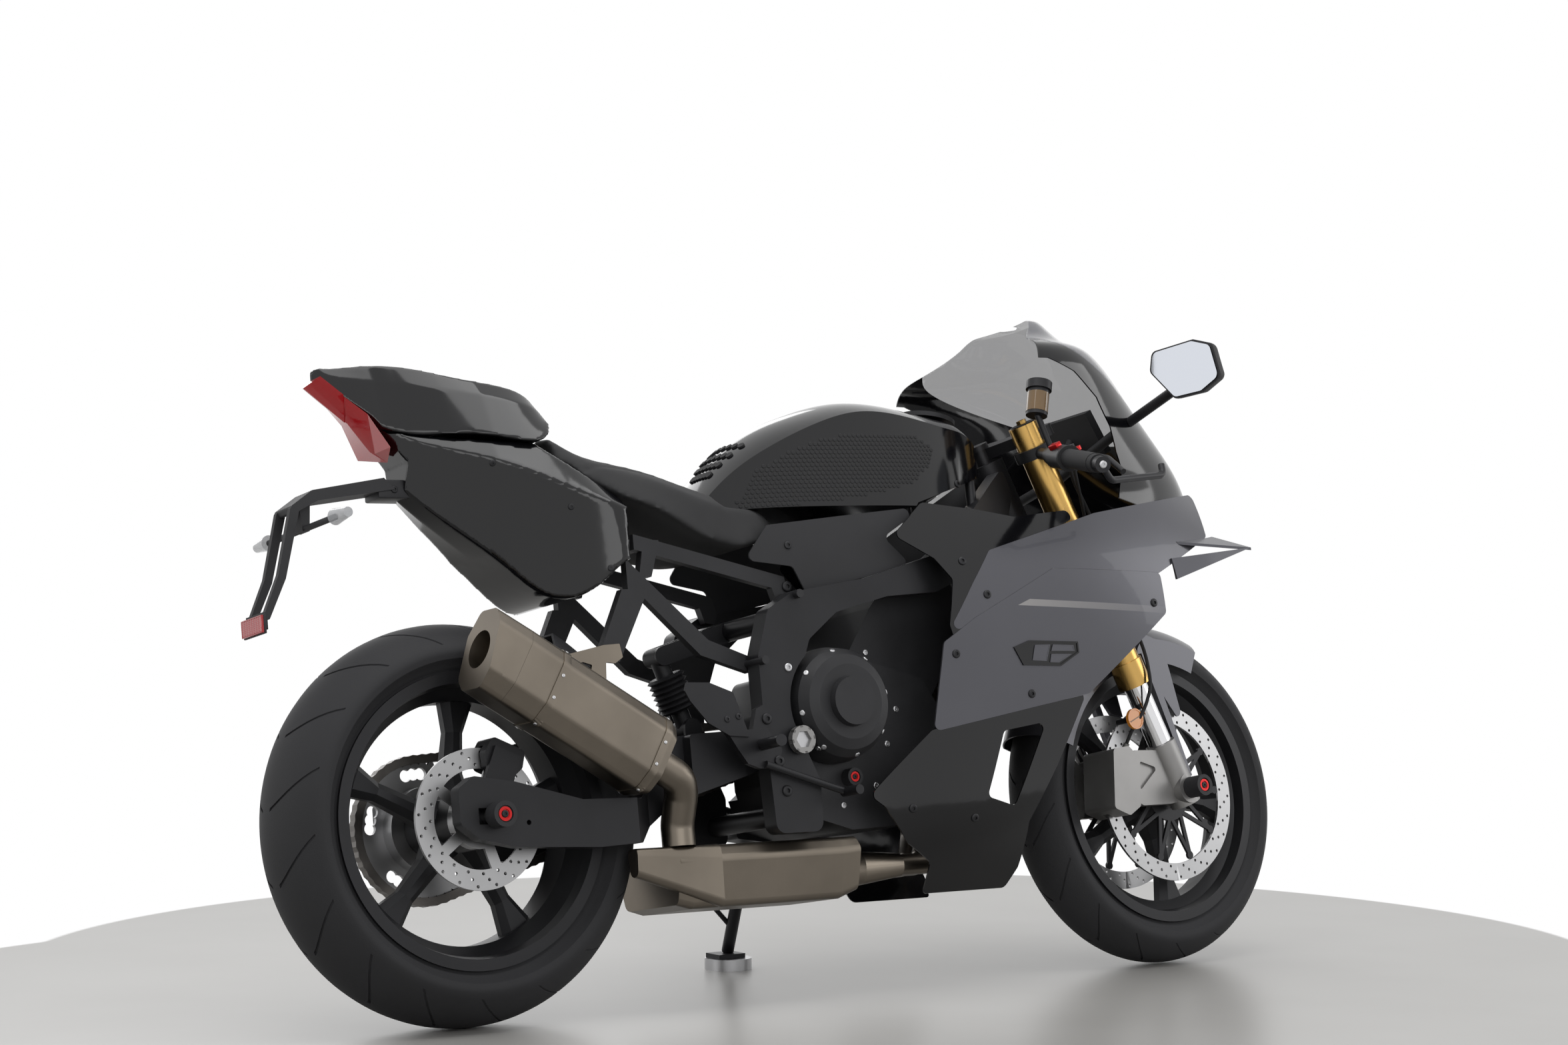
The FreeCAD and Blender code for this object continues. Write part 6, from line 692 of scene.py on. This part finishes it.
tyre("rear_tyre", "rear_tyre_tread", "rear_wheel", UPRIGHT, REAR_HUB, 315, 90, 50, 70)
tyre("front_tyre", "front_tyre_tread", "front_wheel", STEERED, FRONT_HUB, 300, 60, 36, 45)

# %% [markdown]
# The brake discs are steel rings drilled through in a slanting pattern that wipes the pads and sheds
# water. One set of three drills is spun round the axle, and a Boolean cuts them all from a copy of the
# solid disc at once.

# %% Drilled brake discs
HOLE_RADIUS = 2.7
DRILL_LENGTH = 400


def drilled(node, name, body, matrix, centre, radii, groups):
    """A disc with groups of holes round its axle, one hole at each of the radii in millimetres."""
    piece = shown(bpy.data.objects.new(name, frame["nodes"][node].data.copy()))
    alone(piece)
    with editing(piece):
        select_everything()
        bpy.ops.mesh.remove_doubles(threshold=0.00001)
        bpy.ops.mesh.tris_convert_to_quads()
    drills = []
    for i, radius in enumerate(radii):
        drill = cylinder(HOLE_RADIUS, DRILL_LENGTH, corners=10, base=-DRILL_LENGTH / 2)
        drill.data.transform(Matrix.Rotation(math.radians(90), 4, "X"))
        angle = math.tau / groups * (i / len(radii))
        at = (radius * MM * math.cos(angle), 0, radius * MM * math.sin(angle))
        drill.data.transform(Matrix.Translation(at))
        drills.append(drill)
    alone(*drills)
    bpy.ops.object.join()
    cutter = drills[0]
    turned = math.tau * (groups - 1) / groups
    with editing(cutter):
        select_everything()
        bpy.ops.mesh.spin(steps=groups - 1, dupli=True, angle=turned, center=(0, 0, 0), axis=(0, 1, 0))
        select_everything()
        bpy.ops.mesh.normals_make_consistent(inside=False)
    cutter.data.transform(matrix @ Matrix.Translation(centre))
    alone(piece)
    modify(piece, "BOOLEAN", operation="DIFFERENCE", solver="EXACT", object=cutter)
    discard(cutter)
    settle(piece, name, body, "steel", angle=30)
    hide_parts(node)
    print(name, len(piece.data.polygons), "faces")


drilled("front_discs", "front_discs_drilled", "front_wheel", STEERED, FRONT_HUB, (134.5, 144.5, 154.0), 26)
drilled("rear_disc", "rear_disc_drilled", "rear_wheel", UPRIGHT, REAR_HUB, (84.0, 94.0, 104.0), 20)

# %% [markdown]
# The rider's seat is foam under a grained cover. A copy of its solid is remeshed into even, small faces,
# relaxed so that its edges soften as foam does, crowned a little in the middle of its top, and creased
# along two sewn seams. A level of subdivision finishes the surface.

# %% Seat cushion
CUSHION_HALF = 0.135
CROWN = 0.0025
SEAM_DEPTH, SEAM_HALF = 0.0022, 0.0045
SEAM_SHARE = 0.72


def cushion():
    piece = shown(bpy.data.objects.new("seat_cushion", frame["nodes"]["seat"].data.copy()))
    alone(piece)
    modify(piece, "REMESH", mode="VOXEL", voxel_size=0.006)
    modify(piece, "SMOOTH", factor=0.5, iterations=8)
    seam_count = 0
    for vert in piece.data.vertices:
        at = BACK @ vert.co
        up = (BACK.to_3x3() @ vert.normal).z
        if up > 0.3:
            half = CUSHION_HALF * (1 - 0.25 * max(0, (at.x - 0.38) / 0.25))
            crown = max(0.0, 1 - (at.y / half) ** 2)
            vert.co += vert.normal * CROWN * crown * up
            seam = abs(abs(at.y) - half * SEAM_SHARE)
            if seam < SEAM_HALF:
                vert.co -= vert.normal * SEAM_DEPTH * (1 - seam / SEAM_HALF)
                seam_count += 1
    modify(piece, "SUBSURF", levels=1, render_levels=1)
    settle(piece, "seat_cushion", "chassis", "seat_cover", angle=60)
    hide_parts("seat")
    print("seat", len(piece.data.polygons), "faces,", seam_count, "points in seams")


cushion()

# %% [markdown]
# The fairing, covers and engine are held by round-headed screws with a hexagon socket. The screw is
# modelled once, with a head of one metre radius that each copy scales down: a cylinder with its rim
# rounded, its top inset and pushed down. Each copy stands on the surface that a ray meets from the
# side, so it follows the slope of its panel.

# %% Screws
screw = sink_top(rounded_top(cylinder(1000, 420, corners=16), 0.30, 3), 260, 260, corners=6)
PANELS = ["side_fairings", "upper_fairings", "lower_fairings", "inner_cowls", "upper_cowl"]
BOTH, RIGHT = (-1, 1), (-1,)
SCREW_SUNK = 0.0004
COVER_RING = 88
cover_ring = [
    (655 + COVER_RING * math.cos(math.radians(a)), 470 + COVER_RING * math.sin(math.radians(a)))
    for a in range(10, 360, 45)]
# Each set has its slot, radius, sides, the solids that it stands on, and its places as X and Z.
SCREWS = {
    "fairing_screws": ("black_metal", 7.5, BOTH, PANELS, [
        (893, 699), (859, 541), (772, 290), (892, 268), (1290, 622), (1010, 470), (930, 640)]),
    "cover_screws": ("black_metal", 7.0, BOTH, ["tank_side_covers", "fuel_tank", "inner_cowls"], [
        (593, 738), (968, 849)]),
    "frame_screws": ("black_metal", 9.5, BOTH, ["subframe", "main_frame", "footrests"], [
        (594, 671), (514, 378), (497, 447), (530, 330)]),
    "frame_bright_screws": ("bare_aluminium", 7.5, RIGHT, ["main_frame", "engine"], [(554, 531), (590, 548)]),
    "clutch_cover_screws": ("bare_aluminium", 5.0, RIGHT, ["clutch_cover"], cover_ring),
    "engine_screws": ("bare_aluminium", 5.5, BOTH, ["engine", "main_frame", "clutch_cover"], [
        (796, 462), (771, 404), (600, 397), (625, 345), (670, 305), (740, 335), (700, 590), (750, 560)]),
    "heel_guard_screws": ("black_metal", 5.5, BOTH, ["footrests"], [(418, 448), (440, 452)]),
    "tail_screws": ("black_metal", 5.5, BOTH, ["tail_body"], [(190, 800), (60, 870), (250, 700)]),
}

for name, (slot, radius, sides, names, spots) in SCREWS.items():
    places = []
    for x, z in spots:
        for side in sides:
            found = from_side(names, x, z, side)
            if found:
                normal = outward(found[1], SIDE * side)
                places.append(stand_on(found[0] - normal * SCREW_SUNK, normal, (radius * MM,) * 3, spin=x))
    copies(screw, name, places, "chassis", slot, angle=40)
    print(name, len(places))

# %% [markdown]
# The tank's sides carry grip pads of small raised hexagons in a dark, matt rubber. A hexagon is a
# six-sided cylinder whose top is drawn in by its bevel, and its copies fill the pad's outline in the
# staggered rows of a honeycomb.

# %% Tank grip pads
PAD_OUTLINE = [
    (546, 838), (568, 872), (650, 910), (713, 928), (789, 938), (900, 930),
    (928, 912), (910, 880), (856, 845), (742, 821), (549, 802), (528, 812)]
PAD_START = (520, 796)
CELL = 8.6
CELL_ROWS, CELL_COLUMNS = 20, 52
ROW_SHARE = 0.87


def inside_outline(x, z, outline):
    """Whether a point lies inside a closed outline."""
    crossed = False
    for (ax, az), (bx, bz) in zip(outline, outline[1:] + outline[:1]):
        if (az > z) != (bz > z) and x < (bx - ax) * (z - az) / (bz - az) + ax:
            crossed = not crossed
    return crossed


cell = cylinder(CELL * 0.46, 1.5, corners=6, base=-0.4)
with editing(cell) as mesh:
    pick(mesh, on_top)
    bpy.ops.mesh.bevel(offset=0.0007, segments=1)
stood = {-1: [], 1: []}
for row in range(CELL_ROWS):
    z = PAD_START[1] + row * CELL * ROW_SHARE
    for column in range(CELL_COLUMNS):
        x = PAD_START[0] + (column + 0.5 * (row % 2)) * CELL
        if inside_outline(x, z, PAD_OUTLINE):
            for side in stood:
                found = from_side(["fuel_tank", "tank_side_covers"], x, z, side)
                if found:
                    stood[side].append(stand_on(*found))
for side, word in SIDES:
    copies(cell, "grip_pad_" + word, stood[side], "chassis", "matt_black", look="rubber")
    print("grip_pad_" + word, len(stood[side]), "cells")
discard(cell)

# %% [markdown]
# On the back of the tank four rows of seven rounded studs protect the paint from the rider's jacket.
# Each stands where a slanting ray from above and behind meets the tank, so it follows the tank's slope.

# %% Tank back pads
STUD_ROWS = [(500, 26), (530, 34), (562, 42), (598, 48)]
stud = cylinder(5.2, 4.0, corners=12, bevel=1.6, base=-1.0)
places = []
for x, half in STUD_ROWS:
    for step in range(-3, 4):
        start = place(UPRIGHT, x - 400, half * step / 3, 1330)
        found = touch(["fuel_tank"], start, UPRIGHT_TURN @ Vector((400, 0, -430)))
        if found:
            places.append(stand_on(*found, (1.25, 1.25, 1)))
copies(stud, "tank_back_pads", places, "chassis", "matt_black", look="rubber")
discard(stud)
print("tank back studs", len(places))

# %% [markdown]
# The fuel cap is a turned ring with a lid in it: a cylinder whose top is inset twice and lowered between,
# with seven screws round it. It stands where a ray from above meets the tank.

# %% Fuel cap
CAP_SCREWS = 7
point, normal = touch(["fuel_tank"], place(UPRIGHT, 1010, 0, 1400), UPRIGHT_TURN @ Vector((0, 0, -1)))
cap_place = stand_on(point - normal * 0.003, normal)
cap = sink_top(cylinder(52, 8, corners=48, bevel=1.5), 16, 2.5)
with editing(cap):
    bpy.ops.mesh.inset(thickness=0.002)
    push((0, 0, 0.0022))
settle(cap, "fuel_cap", "chassis", "black_metal", cap_place)
ring = []
for i in range(CAP_SCREWS):
    angle = i * math.tau / CAP_SCREWS
    at = Matrix.Translation((0.044 * math.cos(angle), 0.044 * math.sin(angle), 0.0078))
    ring.append(cap_place @ at @ Matrix.Scale(0.0038, 4))
copies(screw, "fuel_cap_screws", ring, "chassis", "bare_aluminium")
print("fuel cap at", [round(v, 3) for v in point])

# %% [markdown]
# Crash bobbins stand on the axle ends and on the engine: a black plastic barrel with its rim rounded,
# its face dished for the screw, and a red ring in the dish.

# %% Crash bobbins
def bobbin(name, body, base, radius, length):
    """A bobbin drawn from its foot along +Z of a base matrix, in millimetres."""
    barrel = sink_top(cylinder(radius, length, corners=36, bevel=2.5), radius * 0.34, 3.0)
    settle(barrel, name, body, "matt_black", base)
    floor_height = length - 3.2
    band = sink_top(cylinder(radius * 0.56, 2.0, base=floor_height), radius * 0.18, 1.6)
    settle(band, name + "_ring", body, "red_lens", base, look="red_paint")
    head = twin(screw)
    head.data.transform(Matrix.Translation((0, 0, floor_height * MM)) @ Matrix.Scale(radius * 0.30 * MM, 4))
    settle(head, name + "_screw", body, "black_metal", base, angle=40)


FRONT_AXLE = (28.5, 313.1)
ENGINE_BOBBIN = (685, 350)
for side, word in SIDES:
    foot = (FRONT_AXLE[0], 127 * side, FRONT_AXLE[1])
    bobbin("front_bobbin_" + word, "steering", standing(FORK, foot, (0, side, 0)), 19, 36)
for side, word in SIDES:
    bobbin("rear_bobbin_" + word, "chassis", standing(UPRIGHT, (0, 145 * side, 315), (0, side, 0)), 20, 30)
found = from_side(["engine", "clutch_cover", "main_frame"], *ENGINE_BOBBIN)
spot = BACK @ found[0] / MM
foot = (ENGINE_BOBBIN[0], spot.y + 1, ENGINE_BOBBIN[1])
bobbin("engine_bobbin", "chassis", standing(UPRIGHT, foot, (0, -1, 0)), 15, 22)
print("engine bobbin from y", round(spot.y), "mm")

# %% [markdown]
# The swingarm pivot has a bright ring nut with notches for its spanner and a hexagon through its middle.
# The notches are every third side face of a cylinder, extruded inward.

# %% Pivot nut
NUT_AT = (560, 411)
nut = sink_top(knurled(23, 12, 24, 0.86, every=3, bevel=0), 8, 7, corners=6)
found_y = (BACK @ from_side(["swingarm_pivot", "main_frame"], *NUT_AT)[0]).y / MM
for side, word in SIDES:
    foot = (NUT_AT[0], -side * found_y - side * 7, NUT_AT[1])
    settle(twin(nut), "pivot_nut_" + word, "chassis", "grey_cast", standing(UPRIGHT, foot, (0, side, 0)))
discard(nut)
print("pivot nut at y", round(found_y), "mm")

# %% [markdown]
# A round amber reflector stands on each fork leg, on a short stalk. Its lens is a bevelled disc whose face
# is inset and sunk, with a thin bar across it.

# %% Fork reflectors
for side, word in SIDES:
    name = "fork_reflector_" + word
    at = standing(FORK, (-36, side * 128, 476), (0, side, 0))
    lens = sink_top(cylinder(18.5, 6, corners=40, bevel=1.2), 2.5, 0.9)
    settle(lens, name, "steering", "amber_lens", at)
    bpy.ops.mesh.primitive_cube_add(size=1, location=(0, 0, 0.0055), scale=(0.030, 0.0018, 0.0012))
    bar = bpy.context.object
    with editing(bar):
        bpy.ops.mesh.bevel(offset=0.0003, segments=1)
    settle(bar, name + "_bar", "steering", "amber_lens", at, look="amber_fluid")
    stalk = cylinder(5, 44, corners=12, bevel=0.5, base=-40)
    settle(stalk, name + "_stalk", "steering", "black_metal", at)
print("reflectors done")

# %% [markdown]
# The tail ends in a narrow beak. The solids are blunt blocks there, so hump and tail are shown by copies
# that are drawn in towards the rear. Both get an even skin of small faces first, so that they bend
# without creases.

# %% Tail beak
def own_copy(node):
    """A merged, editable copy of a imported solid."""
    piece = twin(frame["nodes"][node])
    for key in list(piece.keys()):
        del piece[key]
    piece.parent = None
    alone(piece)
    with editing(piece):
        select_everything()
        bpy.ops.mesh.remove_doubles(threshold=0.00002)
    return piece


def between(x, points):
    """The value at x on a line through points, flat beyond its ends."""
    if x <= points[0][0]:
        return points[0][1]
    for (ax, av), (bx, bv) in zip(points, points[1:]):
        if x <= bx:
            return av + (bv - av) * (x - ax) / (bx - ax)
    return points[-1][1]


# The share of its width that the tail keeps, by X, ahead of which it stays as it is.
SHARE = [(-190, 0.38), (-110, 0.40), (-75, 0.50), (0, 0.80), (70, 1.0)]
BEAK_START = 70
# The rear edge's X in the middle plane, by height, and how much X it gains per millimetre sideways.
REAR_EDGE = [(830, -55), (884, -50), (911, -74), (1001, -180), (1040, -226)]
KEEL = [(900, 0.0), (957, 0.775)]


def beak(piece):
    """Draws a piece's rear in to the beak, and back to the slanted edge that the lamp covers."""
    for vert in piece.data.vertices:
        x, y, z = (BACK @ vert.co) / MM
        if x < BEAK_START:
            drawn = abs(y) * (1 - between(x, SHARE))
            y *= between(x, SHARE)
            x, z = x + 0.5 * drawn, z + 0.23 * drawn
            x = max(x, between(z, REAR_EDGE) + between(z, KEEL) * abs(y))
            vert.co = place(UPRIGHT, x, y, z)


def beaked(node, name, slot, voxel, rounds, angle):
    """A copy of a solid in even faces of a voxel's size, bent to the beak and relaxed for some rounds."""
    piece = own_copy(node)
    modify(piece, "REMESH", mode="VOXEL", voxel_size=voxel)
    beak(piece)
    modify(piece, "SMOOTH", iterations=rounds)
    settle(piece, name, "chassis", slot, angle=angle)
    print(name, len(piece.data.polygons), "faces")
    return piece


hump = beaked("seat_hump", "hump_cover", "gloss_black", 0.0035, 5, 60)
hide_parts("seat_hump")
tail = beaked("tail_body", "tail_panels", slots["tail_body"], 0.0040, 3, 40)
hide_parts("tail_body")

# %% [markdown]
# A red lamp with a V section forms the beak's rear edge. It is one wedge: a cube extruded twice, whose
# four stations are then set along the edge, and whose outer faces are inset for a raised lens.

# %% Tail lamp
# Each station has the lower and the upper corner of the lamp's left half, as X, Y and Z.
STATIONS = [
    ((-201, 1.5, 1005), (-186, 27, 1015)), ((-131, 1.5, 951), (-150, 36, 985)),
    ((-95, 1.5, 906), (-118, 46, 957)), ((-66, 1.5, 890), (-88, 57, 903))]
bpy.ops.mesh.primitive_cube_add(size=1)
lamp = bpy.context.object
with editing(lamp) as mesh:
    for step in range(len(STATIONS) - 2):
        pick(mesh, lambda centre, normal: normal.x > 0.9 and centre.x > step + 0.4)
        push((1, 0, 0))
for vert in lamp.data.vertices:
    low, high = STATIONS[round(vert.co.x + 0.5)]
    x, y, z = high if vert.co.z > 0 else low
    vert.co = place(UPRIGHT, x, y if vert.co.y > 0 else -y, z)
with editing(lamp) as mesh:
    pick(mesh, lambda centre, normal: abs(normal.dot(SIDE)) > 0.35 and normal.z < 0.3)
    bpy.ops.mesh.inset(thickness=0.0035, use_even_offset=True)
    bpy.ops.mesh.inset(thickness=0.0015, depth=0.0012)
settle(lamp, "tail_lamp", "chassis", "red_lens", angle=30)
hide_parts("tail_light")
print("tail lamp", len(lamp.data.polygons), "faces")

# %% [markdown]
# A short block with two screws on each side carries the plate bracket's arm under the tail. The rear
# reflector is a red block in front of a thin black tray. Its face is inset, subdivided into a fine grid,
# and each small face is poked inward into a pyramid.

# %% Plate bracket root and rear reflector
ROOT_HALF = 25
root = block((-98, -ROOT_HALF, 828), (-5, ROOT_HALF, 858), 3)
settle(root, "plate_bracket_root", "chassis", "black_metal", UPRIGHT)
places = []
for x, z in ((-70, 842), (-35, 845)):
    for side, word in SIDES:
        places.append(stand_on(place(UPRIGHT, x, ROOT_HALF * side, z), SIDE * side, (6 * MM,) * 3))
copies(screw, "plate_bracket_screws", places, "chassis", "black_metal", angle=40)
tray = block((-313, -38, 615), (-309, 38, 645), 0.8)
settle(tray, "reflector_tray", "chassis", "matt_black", UPRIGHT)
lens = block((-317, -36.5, 616.5), (-312, 36.5, 643.5), 0.8)
with editing(lens) as mesh:
    pick(mesh, lambda centre, normal: normal.x < -0.9)
    bpy.ops.mesh.inset(thickness=0.0015)
    bpy.ops.mesh.subdivide(number_cuts=7)
    bpy.ops.mesh.poke(offset=-0.0006)
# The reflector's red lens glows faintly, though a reflector is no lamp: a painted glow.
settle(lens, "rear_reflector", "chassis", "red_lens", UPRIGHT, angle=20)
print("bracket root and reflector done")

# %% [markdown]
# The windscreen is one smooth bubble. The solid's rim is stepped where its surfaces meet, so the screen is
# shown by a merged copy whose upper part a Smooth modifier relaxes, which evens the rim and keeps the foot.

# %% Windscreen
RIM_START, RIM_FADE = 1125, 25
TOP_OF_SCREEN = 1163
screen = own_copy("windscreen")
rim = screen.vertex_groups.new(name="rim")
for vert in screen.data.vertices:
    height = (BACK @ vert.co).z / MM
    if height > RIM_START:
        rim.add([vert.index], min(1.0, (height - RIM_START) / RIM_FADE), "REPLACE")
    if height > TOP_OF_SCREEN:
        vert.co -= UPRIGHT_TURN @ Vector((0, 0, (height - TOP_OF_SCREEN) * 0.8 * MM))
modify(screen, "SMOOTH", iterations=30, vertex_group="rim")
settle(screen, "screen_bubble", "chassis", "smoked", angle=60)
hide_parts("windscreen")
print("screen", len(screen.data.polygons), "faces")

# %% [markdown]
# The brake fluid stands in a small amber cup with a knurled black lid. The knurl is every second side
# face of a cylinder, drawn in a little, and the fork caps and the lever adjusters are knurled the same way.

# %% Reservoir, fork caps and bar parts
def along(matrix, start, end):
    """A matrix that stands a piece drawn along +Z at a start, facing an end, in millimetres."""
    return standing(matrix, start, Vector(end) - Vector(start))


cup_place = along(FORK, (-10.7, -180, 1041.8), (19.3, -180, 1079.8))
cup = cylinder(19.7, 36, corners=40, bevel=1.5, base=6)
settle(cup, "fluid_cup", "steering", "amber_lens", cup_place, look="amber_fluid")
lid = sink_top(knurled(23.0, 15, 40, 0.965, base=48.4, bevel=1.0), 5, 1.2)
settle(lid, "fluid_cup_lid", "steering", "black_metal", cup_place)

FORK_LEG = (28.5, 100)
for side, word in SIDES:
    x, y = FORK_LEG[0], FORK_LEG[1] * side
    cap = knurled(22.5, 5, 36, 0.97)
    settle(cap, "fork_cap_" + word, "steering", "black_metal", along(FORK, (x, y, 1027), (x, y, 1100)))
    adjuster = sink_top(cylinder(9.5, 8, corners=6, bevel=0.6), 3, 3)
    at = along(FORK, (x, y, 1031), (x, y, 1100))
    settle(adjuster, f"fork_cap_{word}_adjuster", "steering", "gold", at)

BAR = Vector((-127, -250, -33)).normalized()
BAR_REACH = 320.4
for side, word in SIDES:
    way = Vector((BAR.x, -BAR.y * side, BAR.z))
    end = Vector((FORK_LEG[0], FORK_LEG[1] * side, 977)) + BAR_REACH * way
    head = twin(screw)
    head.data.transform(Matrix.Scale(7 * MM, 4))
    at = along(FORK, end - way, end + way)
    settle(head, "bar_end_" + word, "steering", "bare_aluminium", at, angle=40)
    wheel = knurled(8.5, 7, 20, 0.93)
    pivot = Vector((23.3, 205 * side, 957))
    at = along(FORK, pivot, pivot + Vector((0, 0, 5)))
    settle(wheel, "lever_adjuster_" + word, "steering", "red_lens", at, look="red_paint")

switch = block((-10, -7, 0), (10, 7, 9), 1.5)
spot = Vector((-32.2, -219.5, 961.2))
at = along(FORK, spot + Vector((-5, 0, 19)), spot + Vector((-12, 0, 60)))
settle(switch, "kill_switch", "steering", "red_lens", at, look="red_paint")
print("bar parts done")

# %% [markdown]
# The silencer's sleeve is held by a band at each end, riveted to it. A band is a slice of the sleeve's
# own skin: a copy is cut by two planes with bisect, and Solidify gives what is left its thickness.

# %% Silencer bands and rivets
CAN_FRONT = Vector((284, -154, 386))
CAN_WAY = Vector((-0.8566, -0.035, 0.515)).normalized()
BANDS = {"silencer_band_front": (14, 26), "silencer_band_rear": (222, 236)}
RIVET_RINGS = (20, 229)
RIVETS, RIVET_TURN = 8, 22


def can_point(along_can):
    """A point on the silencer's axis, in millimetres from its front."""
    return UPRIGHT @ ((CAN_FRONT + CAN_WAY * along_can) * MM)


for name, (start, end) in BANDS.items():
    band = own_copy("silencer")
    way = UPRIGHT_TURN @ CAN_WAY
    with editing(band):
        select_everything()
        bpy.ops.mesh.bisect(plane_co=can_point(start), plane_no=way, clear_inner=True)
        select_everything()
        bpy.ops.mesh.bisect(plane_co=can_point(end), plane_no=way, clear_outer=True)
    modify(band, "SOLIDIFY", thickness=0.0016, offset=1)
    settle(band, name, "chassis", "titanium", angle=30)
    print(name, len(band.data.polygons))

rivet = rounded_top(cylinder(1000, 450, corners=12), 0.4, 2)
across = CAN_WAY.cross(Vector((0, 1, 0))).normalized()
places = []
for start in RIVET_RINGS:
    for angle in range(0, 360, 360 // RIVETS):
        out = UPRIGHT_TURN @ (Matrix.Rotation(math.radians(angle + RIVET_TURN), 3, CAN_WAY) @ across)
        found = touch(["silencer"], can_point(start) + out * 0.2, -out)
        if found:
            normal = outward(found[1], out)
            places.append(stand_on(found[0] + normal * 0.0013, normal, (3.2 * MM,) * 3))
copies(rivet, "silencer_rivets", places, "chassis", "bare_aluminium")
discard(rivet)
print("rivets", len(places))

# %% [markdown]
# Each side fairing has a shallow duct with blades in it. The duct's rim and floor are one piece: its
# outline is cast on the panel and extruded to a plate, then its face is inset and pushed in. The blades
# are smaller plates of the same kind.

# %% Fairing ducts
DUCT = [(974, 549), (1007, 560), (1110, 556), (1112, 537), (1072, 515), (993, 518)]
BLADES = [
    [(1018, 552), (1050, 552), (1042, 524), (1012, 526)],
    [(1056, 552), (1100, 550), (1102, 540), (1052, 541)],
    [(1052, 536), (1096, 535), (1068, 521), (1049, 522)]]


def side_plate(name, outline, side, proud, deep, slot, inset, sink):
    """A plate on the side fairing that stands proud of it, with its face inset and sunk, in millimetres."""
    out = SIDE * side
    bpy.ops.mesh.primitive_circle_add(vertices=len(outline), radius=1, fill_type="NGON")
    piece = bpy.context.object
    for vert, (x, z) in zip(piece.data.vertices, outline):
        point, _ = from_side(["side_fairings"], x, z, side)
        vert.co = point + out * proud * MM
    with editing(piece) as mesh:
        select_everything()
        push(-out * deep * MM)
        select_everything()
        bpy.ops.mesh.normals_make_consistent(inside=False)
        pick(mesh, lambda centre, normal: normal.dot(out) > 0.5)
        bpy.ops.mesh.inset(thickness=inset * MM)
        push(-out * sink * MM)
    settle(piece, name, "chassis", slot, angle=30)


for side, word in SIDES:
    side_plate("duct_" + word, DUCT, side, 2.4, 5.0, "gloss_black", 3.0, 1.4)
    for number, outline in enumerate(BLADES):
        side_plate(f"duct_blade_{word}_{number}", outline, side, 2.3, 4.0, "grey_paint", 1.5, 0.4)
discard(screw)
print("ducts done")

# %% [markdown]
# The outer bounds of all that now shows are measured.

# %% Measure the sizes
low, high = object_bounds()
